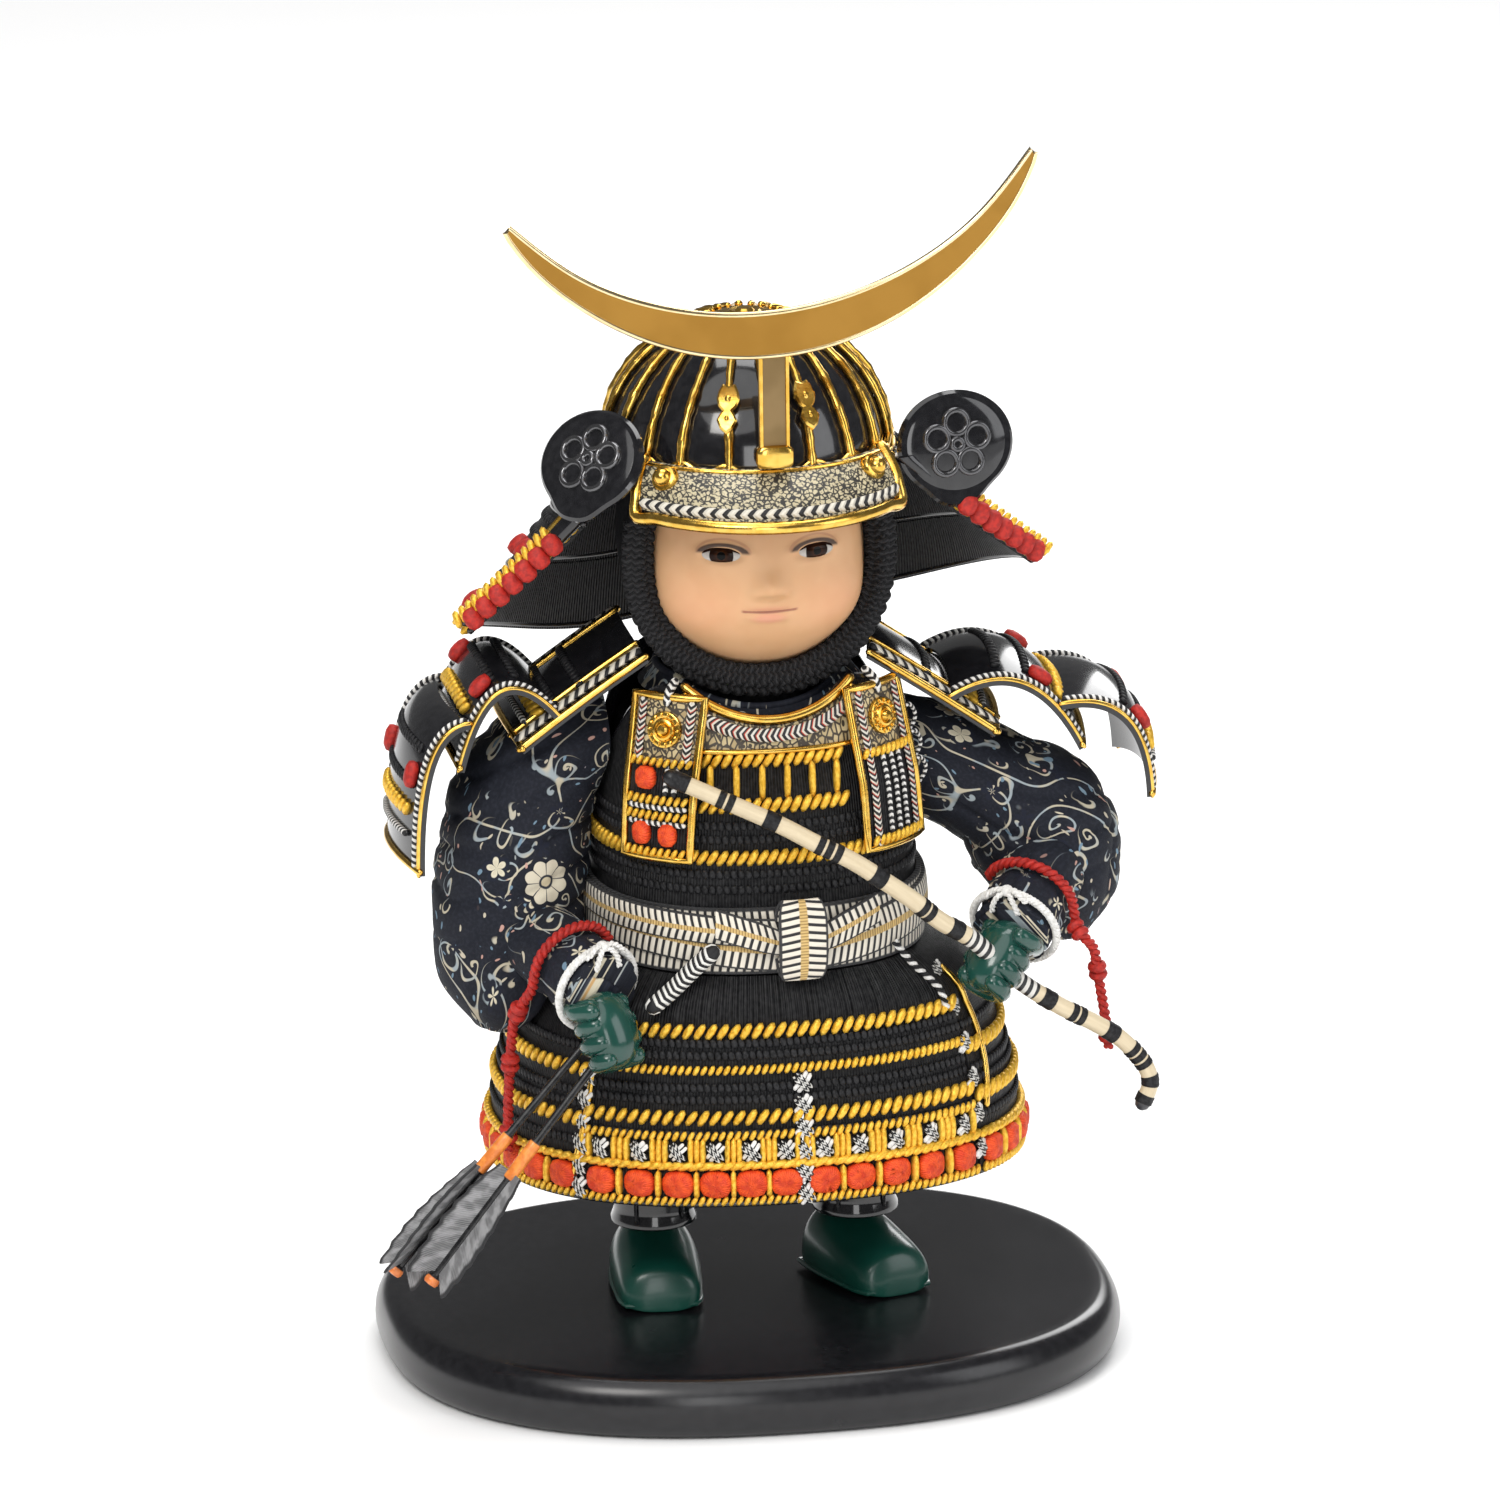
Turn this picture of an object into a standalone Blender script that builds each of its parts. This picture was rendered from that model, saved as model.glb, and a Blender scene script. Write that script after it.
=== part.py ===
import math

import bmesh
import bpy
from mathutils import Matrix, Vector

MM = 0.001

# clearance between neighbouring pieces
GAP = 0.3 * MM

# oval display base
BASE_WIDTH = 217.2 * MM
BASE_DEPTH = 190.0 * MM
BASE_THICK = 18.0 * MM
BASE_POWER = 2.4
DOLL_SHIFT = 2.5 * MM

# boots and legs
BOOT_LENGTH = 40.0 * MM
BOOT_WIDTH = 26.0 * MM
BOOT_HEIGHT = 20.0 * MM
BOOT_SPLAY_RIGHT = 4.0
BOOT_SPLAY_LEFT = 20.0
FOOT_SPACING = 60.0 * MM
SHIN_HEIGHT = 34.0 * MM
SHIN_RADIUS = 13.0 * MM
TROUSER_HEIGHT = 54.4 * MM
THIGH_RADIUS = 16.0 * MM

# cuirass
TORSO_HEIGHT = 84.0 * MM
TORSO_FORWARD = 3.0 * MM
TORSO_POWER = 2.3
WAIST_WIDTH = 96.0 * MM
WAIST_DEPTH = 97.0 * MM
CHEST_WIDTH = 90.0 * MM
CHEST_DEPTH = 84.0 * MM
SHOULDER_WIDTH = 78.0 * MM
SHOULDER_DEPTH = 68.0 * MM
CUIRASS_WALL = 3.0 * MM
NECKLINE_DROP = 12.5 * MM
NECKLINE_RISE = 10.0 * MM
ARMHOLE_DROP = 30.0 * MM
PLATE_THICK = 1.4 * MM
RIM_RADIUS = 1.3 * MM
GUARD_WIDTH = 19.0 * MM
GUARD_HEIGHT = 46.0 * MM
GUARD_ANGLE_RIGHT = 42.0
GUARD_ANGLE_LEFT = 46.0
ROSETTE_RADIUS = 5.2 * MM
LACE_HEIGHT = 4.2 * MM
LACE_DEPTH = 1.9 * MM
LACE_PITCH = 12.0 * MM

# sash
SASH_HEIGHT = 20.0 * MM
SASH_THICK = 1.3 * MM
SASH_DIP = 5.0 * MM
KNOT_WIDTH = 15.0 * MM
KNOT_HEIGHT = 25.0 * MM
KNOT_DEPTH = 7.0 * MM
KNOT_ANGLE = 5.5

# armour skirt
SKIRT_DROP = 65.0 * MM
HIP_DROP = 15.0 * MM
HIP_WIDTH = 132.0 * MM
HIP_DEPTH = 112.0 * MM
HEM_WIDTH = 155.0 * MM
HEM_DEPTH = 124.0 * MM
SKIRT_FORWARD = 2.0 * MM
LAME_THICK = 1.8 * MM
FRONT_SPAN = 104.0
SIDE_SPAN = 58.0
PANEL_GAP = 1.0
FRONT_UPPER_DROP = 26.5 * MM
SPLIT_ANGLE = 4.0
HEM_BAND = 10.0 * MM
PAD_PITCH = 10.4 * MM
PAD_DEPTH = 2.2 * MM

# arms
SHOULDER_HEIGHT = 64.0 * MM
SLEEVE_RADIUS = 22.0 * MM
CUFF_RADIUS = 11.5 * MM
HAND_LENGTH = 24.0 * MM
HAND_WIDTH = 18.0 * MM
HAND_THICK = 16.0 * MM
SLEEVE_CORD_RADIUS = 1.6 * MM
CUFF_CORD_RADIUS = 1.0 * MM

# shoulder guards
SODE_DEPTH = 54.0 * MM
SODE_ARCH = 5.0 * MM

# head
NECK_RADIUS = 15.0 * MM
NECK_SINK = 3.5 * MM
HEAD_WIDTH = 66.0 * MM
HEAD_DEPTH = 72.0 * MM
HEAD_HEIGHT = 76.0 * MM
HEAD_FORWARD = 6.0 * MM
EYE_SPACING = 26.6 * MM
EYE_WIDTH = 12.6 * MM
EYE_HEIGHT = 5.2 * MM
EYE_LIFT = 3.6 * MM
HOOD_WALL = 5.0 * MM
FACE_ANGLE = 66.0
CHIN_CORD_RADIUS = 5.0 * MM

# helmet
HELMET_LIFT = 26.3 * MM
BOWL_WIDTH = 81.4 * MM
BOWL_DEPTH = 86.0 * MM
BOWL_HEIGHT = 39.0 * MM
BOWL_WALL = 2.0 * MM
BOWL_FORWARD = 2.0 * MM
RIB_COUNT = 16
RIB_WIDTH = 2.0 * MM
RIB_THICK = 1.3 * MM
BAND_HEIGHT = 5.0 * MM
VISOR_SPAN = 100.0
VISOR_REACH = 15.0 * MM
VISOR_FLARE = 4.5 * MM
VISOR_DROP = 11.5 * MM
VISOR_RIM_RADIUS = 1.5 * MM
HOLDER_WIDTH = 8.6 * MM
HOLDER_HEIGHT = 43.0 * MM
CREST_SPAN = 154.0 * MM
CREST_RISE = 47.0 * MM
CREST_WIDTH = 12.5 * MM
CREST_THICK = 1.6 * MM
CREST_TILT = 5.7
CREST_SHIFT = 4.3 * MM
CREST_LIFT = 0.8 * MM
NECK_GUARD_SPREAD = 84.0 * MM
NECK_GUARD_BACK = 62.0 * MM
NECK_GUARD_DROP = 44.0 * MM
NECK_GUARD_BACK_DROP = 20.0 * MM
NECK_GUARD_LEAN = 6.0 * MM
NECK_GUARD_ROWS = 3
FLAP_WIDTH = 35.0 * MM
FLAP_HEIGHT = 31.0 * MM
FLAP_THICK = 2.4 * MM
FLAP_TURN_RIGHT = -46.0
FLAP_TURN_LEFT = 8.0
FLAP_LEAN_RIGHT = -32.0
FLAP_LEAN_LEFT = -8.0
BLOSSOM_RADIUS = 3.5 * MM

# bow and arrows
BOW_RADIUS = 2.7 * MM
ARROW_RADIUS = 1.2 * MM
ARROW_BAND_RADIUS = 1.9 * MM
FEATHER_LENGTH = 36.0 * MM
FEATHER_WIDTH = 8.5 * MM
FEATHER_THICK = 0.6 * MM

# heights above the base's top
BOOT_TOP = GAP + BOOT_HEIGHT
SHIN_TOP = BOOT_TOP + GAP + SHIN_HEIGHT
WAIST = SHIN_TOP + GAP + TROUSER_HEIGHT
NECK_TOP = WAIST + TORSO_HEIGHT - NECK_SINK
HEAD_CENTRE = NECK_TOP + GAP + HEAD_HEIGHT / 2
HELMET = HEAD_CENTRE + HELMET_LIFT
SHOULDER = WAIST + SHOULDER_HEIGHT
HEM = WAIST - SKIRT_DROP

LOOKS = {
    "black_lacquer": ((0.012, 0.012, 0.014), 0.18, 0.0),
    "green_enamel": ((0.01, 0.09, 0.07), 0.25, 0.0),
    "black_cloth": ((0.015, 0.015, 0.017), 0.85, 0.0),
    "black_cord": ((0.02, 0.02, 0.022), 0.8, 0.0),
    "brocade": ((0.03, 0.035, 0.05), 0.75, 0.0),
    "leather_print": ((0.55, 0.47, 0.3), 0.6, 0.0),
    "gold_cord": ((0.85, 0.55, 0.08), 0.55, 0.0),
    "gilt": ((0.9, 0.66, 0.22), 0.2, 1.0),
    "satin_gold": ((0.62, 0.4, 0.13), 0.35, 1.0),
    "striped_sash": ((0.7, 0.66, 0.58), 0.8, 0.0),
    "red_cord": ((0.75, 0.04, 0.02), 0.7, 0.0),
    "white_cord": ((0.85, 0.85, 0.84), 0.7, 0.0),
    "skin": ((0.83, 0.55, 0.4), 0.5, 0.0),
    "eye_glass": ((0.05, 0.02, 0.015), 0.05, 0.0),
    "bamboo": ((0.72, 0.6, 0.42), 0.5, 0.0),
    "feather": ((0.45, 0.47, 0.5), 0.7, 0.0),
}


def clear_scene():
    for item in list(bpy.data.objects):
        bpy.data.objects.remove(item, do_unlink=True)


def make_collection(name):
    collection = bpy.data.collections.new(name)
    bpy.context.scene.collection.children.link(collection)
    return collection


clear_scene()
PARTS = make_collection("samurai_doll")
CUTTERS = make_collection("cutters")
DOLL = bpy.data.objects.new("doll", None)
DOLL.location = (DOLL_SHIFT, 0.0, BASE_THICK)
PARTS.objects.link(DOLL)
CUTTERS.hide_render = True


def material(look):
    name = look
    if name in bpy.data.materials:
        return bpy.data.materials[name]
    color, rough, metal = LOOKS[look]
    made = bpy.data.materials.new(name)
    made.use_nodes = True
    shader = made.node_tree.nodes["Principled BSDF"]
    shader.inputs["Base Color"].default_value = (*color, 1.0)
    shader.inputs["Roughness"].default_value = rough
    shader.inputs["Metallic"].default_value = metal
    return made


def place_object(name, data, look, parent=DOLL, smooth_angle=40.0):
    made = bpy.data.objects.new(name, data)
    PARTS.objects.link(made)
    made.parent = parent
    data.materials.append(material(look))
    if isinstance(data, bpy.types.Mesh) and smooth_angle:
        data.shade_smooth()
        data.set_sharp_from_angle(angle=math.radians(smooth_angle))
    return made


def place_cutter(name, data):
    made = bpy.data.objects.new(name, data)
    CUTTERS.objects.link(made)
    made.parent = DOLL
    made.hide_render = True
    made.display_type = "WIRE"
    return made


def mesh_from(bm, name):
    mesh = bpy.data.meshes.new(name)
    bm.to_mesh(mesh)
    bm.free()
    return mesh


def solidify(made, thick, offset=-1.0):
    wall = made.modifiers.new("wall", "SOLIDIFY")
    wall.thickness = thick
    wall.offset = offset
    wall.use_even_offset = True
    wall.use_quality_normals = True
    return made


def cut(made, cutter, operation="DIFFERENCE"):
    hole = made.modifiers.new(cutter.name, "BOOLEAN")
    hole.operation = operation
    hole.solver = "EXACT"
    hole.object = cutter
    return made


def sheet(name, spot, cols, rows, thick, look, seam=False):
    # spot(s, t) gives the outer surface, s round to the left arm, t upwards
    bm = bmesh.new()
    bmesh.ops.create_grid(bm, x_segments=cols, y_segments=rows, size=0.5)
    for vert in bm.verts:
        vert.co = spot(vert.co.x + 0.5, vert.co.y + 0.5)
    if seam:
        bmesh.ops.remove_doubles(bm, verts=bm.verts, dist=0.00001)
    return solidify(place_object(name, mesh_from(bm, name), look), thick)


def add_sheet(bm, spot, cols, rows, thick):
    # a closed strip: an outer skin, an inner skin and the edge between them
    outer = [[spot(i / cols, j / rows, 0.0) for j in range(rows + 1)] for i in range(cols + 1)]
    inner = [[spot(i / cols, j / rows, thick) for j in range(rows + 1)] for i in range(cols + 1)]
    out = [[bm.verts.new(p) for p in col] for col in outer]
    ins = [[bm.verts.new(p) for p in col] for col in inner]
    for i in range(cols):
        for j in range(rows):
            bm.faces.new((out[i][j], out[i + 1][j], out[i + 1][j + 1], out[i][j + 1]))
            bm.faces.new((ins[i][j], ins[i][j + 1], ins[i + 1][j + 1], ins[i + 1][j]))
        bm.faces.new((out[i][0], ins[i][0], ins[i + 1][0], out[i + 1][0]))
        bm.faces.new((out[i][rows], out[i + 1][rows], ins[i + 1][rows], ins[i][rows]))
    for j in range(rows):
        bm.faces.new((out[0][j], out[0][j + 1], ins[0][j + 1], ins[0][j]))
        bm.faces.new((out[cols][j], ins[cols][j], ins[cols][j + 1], out[cols][j + 1]))


def loft_mesh(name, rings):
    # closed skin over rings of equal count, each run anticlockwise seen from its far end
    bm = bmesh.new()
    loops = [[bm.verts.new(p) for p in ring] for ring in rings]
    count = len(loops[0])
    for low, high in zip(loops, loops[1:]):
        for i in range(count):
            k = (i + 1) % count
            bm.faces.new((low[i], low[k], high[k], high[i]))
    bm.faces.new(list(reversed(loops[0])))
    bm.faces.new(loops[-1])
    bmesh.ops.recalc_face_normals(bm, faces=bm.faces)
    return mesh_from(bm, name)


def oval(angle, half_width, half_depth, forward=0.0, power=2.0):
    # angle in degrees from the front, growing towards the doll's left arm
    turn = math.radians(angle)
    side = math.sin(turn)
    front = math.cos(turn)
    reach = (abs(side / half_width) ** power + abs(front / half_depth) ** power) ** (-1.0 / power)
    return Vector((reach * side, -forward - reach * front, 0.0))


def oval_ring(z, half_width, half_depth, forward, power, count):
    ring = []
    for i in range(count):
        spot = oval(360.0 * i / count, half_width, half_depth, forward, power)
        ring.append(Vector((spot.x, spot.y, z)))
    return ring


def smooth_route(points, count):
    # evenly read points on a smooth curve through the given ones
    spots = [Vector(p) for p in points]
    chain = [spots[0] * 2 - spots[1]] + spots + [spots[-1] * 2 - spots[-2]]
    dense = []
    for i in range(1, len(chain) - 2):
        a, b, c, d = chain[i - 1 : i + 3]
        for k in range(16):
            t = k / 16
            dense.append(0.5 * (2 * b + (c - a) * t + (2 * a - 5 * b + 4 * c - d) * t**2
                                + (3 * b - a - 3 * c + d) * t**3))
    dense.append(spots[-1])
    lengths = [0.0]
    for a, b in zip(dense, dense[1:]):
        lengths.append(lengths[-1] + (b - a).length)
    route = []
    k = 0
    for i in range(count):
        goal = lengths[-1] * i / (count - 1)
        while k < len(lengths) - 2 and lengths[k + 1] < goal:
            k += 1
        span = max(lengths[k + 1] - lengths[k], 1e-9)
        route.append(dense[k].lerp(dense[k + 1], min(1.0, (goal - lengths[k]) / span)))
    return route


def tube_curve(name, points, radius, resolution=2, cyclic=False):
    curve = bpy.data.curves.new(name, "CURVE")
    curve.dimensions = "3D"
    curve.bevel_depth = radius
    curve.bevel_resolution = resolution
    curve.use_fill_caps = True
    spline = curve.splines.new("POLY")
    spline.points.add(len(points) - 1)
    for target, spot in zip(spline.points, points):
        target.co = (*spot, 1.0)
    spline.use_cyclic_u = cyclic
    return curve


def tube(name, points, radius, look, resolution=2, cyclic=False):
    return place_object(name, tube_curve(name, points, radius, resolution, cyclic), look)


def tube_mesh(name, points, radius, sides=10):
    # the tube as a closed mesh, for pieces that are cut or that cut others
    rings = limb_rings([(p, radius, radius) for p in points], sides)
    return loft_mesh(name, rings)


def limb_rings(stations, sides, grow=0.0, wide=Vector((0, 1, 0))):
    # station: centre, half width across, half width along the wide direction
    rings = []
    last = len(stations) - 1
    for i, (centre, across, along) in enumerate(stations):
        ahead = (Vector(stations[min(i + 1, last)][0]) - Vector(stations[max(i - 1, 0)][0])).normalized()
        second = (wide - ahead * wide.dot(ahead)).normalized()
        first = second.cross(ahead)
        ring = []
        for k in range(sides):
            turn = 2 * math.pi * k / sides
            ring.append(Vector(centre) + first * math.cos(turn) * (across + grow)
                        + second * math.sin(turn) * (along + grow))
        rings.append(ring)
    return rings


def flat_outline(name, points, thick, bevel=0.0):
    curve = bpy.data.curves.new(name, "CURVE")
    curve.dimensions = "2D"
    curve.fill_mode = "BOTH"
    curve.extrude = thick / 2 - bevel
    curve.bevel_depth = bevel
    curve.bevel_resolution = 0
    spline = curve.splines.new("POLY")
    spline.points.add(len(points) - 1)
    for target, spot in zip(spline.points, points):
        target.co = (spot[0], spot[1], 0.0, 1.0)
    spline.use_cyclic_u = True
    return curve


def curve_to_mesh(curve, name):
    carrier = bpy.data.objects.new(name + "_curve", curve)
    PARTS.objects.link(carrier)
    graph = bpy.context.evaluated_depsgraph_get()
    mesh = bpy.data.meshes.new_from_object(carrier.evaluated_get(graph))
    bpy.data.objects.remove(carrier, do_unlink=True)
    mesh.materials.clear()
    bm = bmesh.new()
    bm.from_mesh(mesh)
    bmesh.ops.remove_doubles(bm, verts=bm.verts, dist=0.000001)
    bmesh.ops.recalc_face_normals(bm, faces=bm.faces)
    bm.to_mesh(mesh)
    bm.free()
    mesh.name = name
    return mesh


def merged(name, meshes):
    # several separate solids kept in one object
    bm = bmesh.new()
    for mesh, matrix in meshes:
        start = len(bm.verts)
        bm.from_mesh(mesh)
        bm.verts.ensure_lookup_table()
        bmesh.ops.transform(bm, matrix=matrix, verts=bm.verts[start:])
    return mesh_from(bm, name)


def turned_mesh(name, profile, sides):
    # profile runs from the axis at the top down its outer side to the axis at the bottom
    carrier_mesh = bpy.data.meshes.new(name + "_profile")
    spots = [(r, 0.0, z) for r, z in profile]
    carrier_mesh.from_pydata(spots, [(i, i + 1) for i in range(len(spots) - 1)], [])
    carrier = bpy.data.objects.new(name + "_profile", carrier_mesh)
    PARTS.objects.link(carrier)
    turn = carrier.modifiers.new("turn", "SCREW")
    turn.steps = sides
    turn.render_steps = sides
    turn.use_merge_vertices = True
    turn.merge_threshold = 0.00001
    graph = bpy.context.evaluated_depsgraph_get()
    mesh = bpy.data.meshes.new_from_object(carrier.evaluated_get(graph))
    bpy.data.objects.remove(carrier, do_unlink=True)
    bm = bmesh.new()
    bm.from_mesh(mesh)
    bmesh.ops.remove_doubles(bm, verts=bm.verts, dist=0.00001)
    bmesh.ops.recalc_face_normals(bm, faces=bm.faces)
    bm.to_mesh(mesh)
    bm.free()
    mesh.name = name
    return mesh


def facing(angle):
    # turns a plate drawn in XY to stand upright and face the given angle from the front
    return Matrix.Rotation(math.radians(angle), 4, "Z") @ Matrix.Rotation(math.radians(90), 4, "X")


def blend(stations, height):
    # straight change between (height, a, b) stations
    if height <= stations[0][0]:
        return stations[0][1:]
    for low, high in zip(stations, stations[1:]):
        if height <= high[0]:
            share = (height - low[0]) / (high[0] - low[0])
            return tuple(p + (q - p) * share for p, q in zip(low[1:], high[1:]))
    return stations[-1][1:]


def torso_half(z):
    stations = [
        (WAIST, WAIST_WIDTH / 2, WAIST_DEPTH / 2),
        (WAIST + SASH_HEIGHT, (WAIST_WIDTH * 2 + CHEST_WIDTH) / 6, (WAIST_DEPTH * 2 + CHEST_DEPTH) / 6),
        (WAIST + TORSO_HEIGHT * 0.62, CHEST_WIDTH / 2, CHEST_DEPTH / 2),
        (WAIST + TORSO_HEIGHT, SHOULDER_WIDTH / 2, SHOULDER_DEPTH / 2),
    ]
    return blend(stations, z)


def torso_spot(angle, z, out=0.0):
    half_width, half_depth = torso_half(z)
    spot = oval(angle, half_width + out, half_depth + out, TORSO_FORWARD, TORSO_POWER)
    spot.z = z
    return spot


def skirt_half(z):
    drop = max(0.0, WAIST - z)
    start = (WAIST_WIDTH / 2 + 1.0 * MM, WAIST_DEPTH / 2 + 1.0 * MM)
    hip = (HIP_WIDTH / 2, HIP_DEPTH / 2)
    hem = (HEM_WIDTH / 2, HEM_DEPTH / 2)
    if drop < HIP_DROP:
        share = math.sin(math.pi / 2 * drop / HIP_DROP)
        return tuple(a + (b - a) * share for a, b in zip(start, hip))
    rest = min(1.0, (drop - HIP_DROP) / (SKIRT_DROP - HIP_DROP))
    share = 1.0 - (1.0 - rest) ** 2
    return tuple(a + (b - a) * share for a, b in zip(hip, hem))


def skirt_spot(angle, z, out=0.0):
    half_width, half_depth = skirt_half(z)
    spot = oval(angle, half_width + out, half_depth + out, SKIRT_FORWARD, TORSO_POWER)
    spot.z = z
    return spot


def head_spot(angle, lift, out=0.0):
    # lift in degrees above the level of the head's centre
    turn = math.radians(angle)
    rise = math.radians(lift)
    way = Vector((math.sin(turn) * math.cos(rise), -math.cos(turn) * math.cos(rise), math.sin(rise)))
    half = Vector((HEAD_WIDTH / 2, HEAD_DEPTH / 2, HEAD_HEIGHT / 2))
    power = 2.15
    reach = sum(abs(w / h) ** power for w, h in zip(way, half)) ** (-1.0 / power)
    spot = way * reach
    slope = Vector(((spot.x / half.x**2), (spot.y / half.y**2), (spot.z / half.z**2))).normalized()
    return spot + slope * out + Vector((0.0, -HEAD_FORWARD, HEAD_CENTRE))


def bowl_spot(angle, lift, out=0.0):
    turn = math.radians(angle)
    rise = math.radians(lift)
    flat = math.cos(rise)
    half_width = BOWL_WIDTH / 2 + out
    half_depth = BOWL_DEPTH / 2 + out
    return Vector((half_width * math.sin(turn) * flat,
                   -BOWL_FORWARD - half_depth * math.cos(turn) * flat,
                   HELMET + (BOWL_HEIGHT + out) * math.sin(rise)))


def build_base():
    # bullnose edge: half a circle of the base's own thickness, flat above and below
    edge = BASE_THICK / 2
    steps = 4
    rings = []
    inset = 6.0 * MM
    for i in range(steps + 1):
        turn = -math.pi / 2 + math.pi * i / steps
        out = inset * (math.cos(turn) - 1.0)
        z = edge + edge * math.sin(turn)
        rings.append(oval_ring(z, BASE_WIDTH / 2 + out, BASE_DEPTH / 2 + out, 0.0, BASE_POWER, 44))
    mesh = loft_mesh("display_base", rings)
    return place_object("display_base", mesh, "black_lacquer", parent=None)


def build_boot(name, side, splay):
    # side is -1 for the doll's right foot
    length = BOOT_LENGTH
    rings = []
    profile = ((0.0, 0.72, 0.8), (0.06, 0.92, 0.98), (0.35, 1.0, 1.0), (0.6, 0.98, 0.86),
               (0.85, 0.94, 0.74), (0.96, 0.84, 0.64), (1.0, 0.66, 0.48))
    for share, wide, tall in profile:
        y = length * (0.36 - share)
        half = BOOT_WIDTH / 2 * wide
        top = BOOT_HEIGHT * tall
        ring = []
        for x, z in ((-1, 0.12), (-0.8, 0), (0.8, 0), (1, 0.12), (0.97, 0.6), (0.72, 0.92), (0.3, 1),
                     (-0.3, 1), (-0.72, 0.92), (-0.97, 0.6)):
            ring.append(Vector((half * x, y, GAP + top * z)))
        rings.append(ring)
    made = place_object(name, loft_mesh(name, rings), "green_enamel")
    made.location = (side * FOOT_SPACING / 2, 0.0, 0.0)
    made.rotation_euler.z = math.radians(side * splay)
    return made


def build_shin(name, side):
    # straight guard with a rolled top and foot edge
    low = BOOT_TOP + GAP
    profile = [(0.0, SHIN_HEIGHT), (SHIN_RADIUS * 1.08, SHIN_HEIGHT), (SHIN_RADIUS * 1.12, SHIN_HEIGHT * 0.95),
               (SHIN_RADIUS, SHIN_HEIGHT * 0.86), (SHIN_RADIUS * 0.9, SHIN_HEIGHT * 0.12),
               (SHIN_RADIUS * 0.96, SHIN_HEIGHT * 0.05), (SHIN_RADIUS * 0.94, 0.0), (0.0, 0.0)]
    made = place_object(name, turned_mesh(name, profile, 20), "black_lacquer")
    made.location = (side * FOOT_SPACING / 2, 0.0, low)
    return made


def build_body():
    # stuffed body wrapped in black cloth: two thighs, hips, trunk and neck
    low = SHIN_TOP + GAP
    hip_low = low + TROUSER_HEIGHT * 0.35
    reach = FOOT_SPACING / 2 + THIGH_RADIUS
    inset = CUIRASS_WALL + GAP + 0.5 * MM
    rings = [
        oval_ring(hip_low, reach, THIGH_RADIUS * 1.3, 0.0, 2.4, 20),
        oval_ring(WAIST - TROUSER_HEIGHT * 0.3, reach * 0.98, THIGH_RADIUS * 1.9, 0.0, 2.4, 20),
    ]
    for share in (0.0, 0.35, 0.62, 0.78):
        z = WAIST + TORSO_HEIGHT * share
        a, b = torso_half(z)
        rings.append(oval_ring(z, a - inset, b - inset, TORSO_FORWARD, TORSO_POWER, 20))
    z = WAIST + TORSO_HEIGHT * 0.83
    rings.append(oval_ring(z, NECK_RADIUS + 4.0 * MM, NECK_RADIUS + 4.0 * MM, TORSO_FORWARD, 2.0, 20))
    rings.append(oval_ring(NECK_TOP - 6.0 * MM, NECK_RADIUS, NECK_RADIUS, TORSO_FORWARD * 0.5, 2.0, 20))
    rings.append(oval_ring(NECK_TOP, NECK_RADIUS, NECK_RADIUS, 0.0, 2.0, 20))
    made = place_object("body", loft_mesh("body", rings), "black_cloth")
    for side, tag in ((-1, "right"), (1, "left")):
        leg = []
        for z in (low, hip_low + 6.0 * MM):
            ring = oval_ring(z, THIGH_RADIUS, THIGH_RADIUS, 0.0, 2.0, 12)
            leg.append([p + Vector((side * FOOT_SPACING / 2, 0.0, 0.0)) for p in ring])
        cut(made, place_cutter("thigh_" + tag, loft_mesh("thigh_" + tag, leg)), "UNION")
    return made


def neckline(angle):
    # lowest at the throat, rising to both shoulders
    share = min(1.0, abs(angle) / 40.0)
    return WAIST + TORSO_HEIGHT - NECKLINE_DROP + NECKLINE_RISE * share**2


def cuirass_top(angle):
    around = abs((angle + 180.0) % 360.0 - 180.0)
    dip = math.exp(-((around - 92.0) / 24.0) ** 2)
    return neckline(around) - ARMHOLE_DROP * dip


def build_cuirass():
    def spot(s, t):
        angle = 360.0 * s
        z = WAIST + 0.5 * MM + (cuirass_top(angle) - WAIST - 0.5 * MM) * t
        return torso_spot(angle, z)
    return sheet("cuirass", spot, 36, 5, CUIRASS_WALL, "black_cord", seam=True)


def build_robe_collar():
    # brocade collar standing in the neck opening
    base = WAIST + TORSO_HEIGHT - NECKLINE_DROP - 3.0 * MM

    def spot(s, t):
        angle = 360.0 * s
        around = abs((angle + 180.0) % 360.0 - 180.0)
        rise = NECKLINE_RISE * min(1.0, around / 60.0) ** 2
        z = base + rise * 0.7 + 5.5 * MM * t
        half_width = SHOULDER_WIDTH / 2 - CUIRASS_WALL - GAP - 3.2 * MM - 4.5 * MM * t
        half_depth = SHOULDER_DEPTH / 2 - CUIRASS_WALL - GAP - 0.6 * MM - 2.5 * MM * t
        flat = oval(angle, half_width, half_depth, TORSO_FORWARD, 2.1)
        flat.z = z
        return flat
    return sheet("robe_collar", spot, 24, 1, 1.6 * MM, "brocade", seam=True)


CHEST_SPAN = 76.0
CHEST_BAND_SPAN = 148.0
LACE_SINK = 0.6 * MM
CHEST_LACE_DROPS = (22.0 * MM, 35.0 * MM, 50.0 * MM)


def build_chest_plate():
    low = WAIST + TORSO_HEIGHT - CHEST_LACE_DROPS[0] + LACE_HEIGHT / 2 + GAP

    def spot(s, t):
        angle = CHEST_SPAN * (s - 0.5)
        z = low + (neckline(angle) - low) * t
        return torso_spot(angle, z, GAP + PLATE_THICK)
    return sheet("chest_plate", spot, 16, 3, PLATE_THICK, "leather_print")


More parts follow.
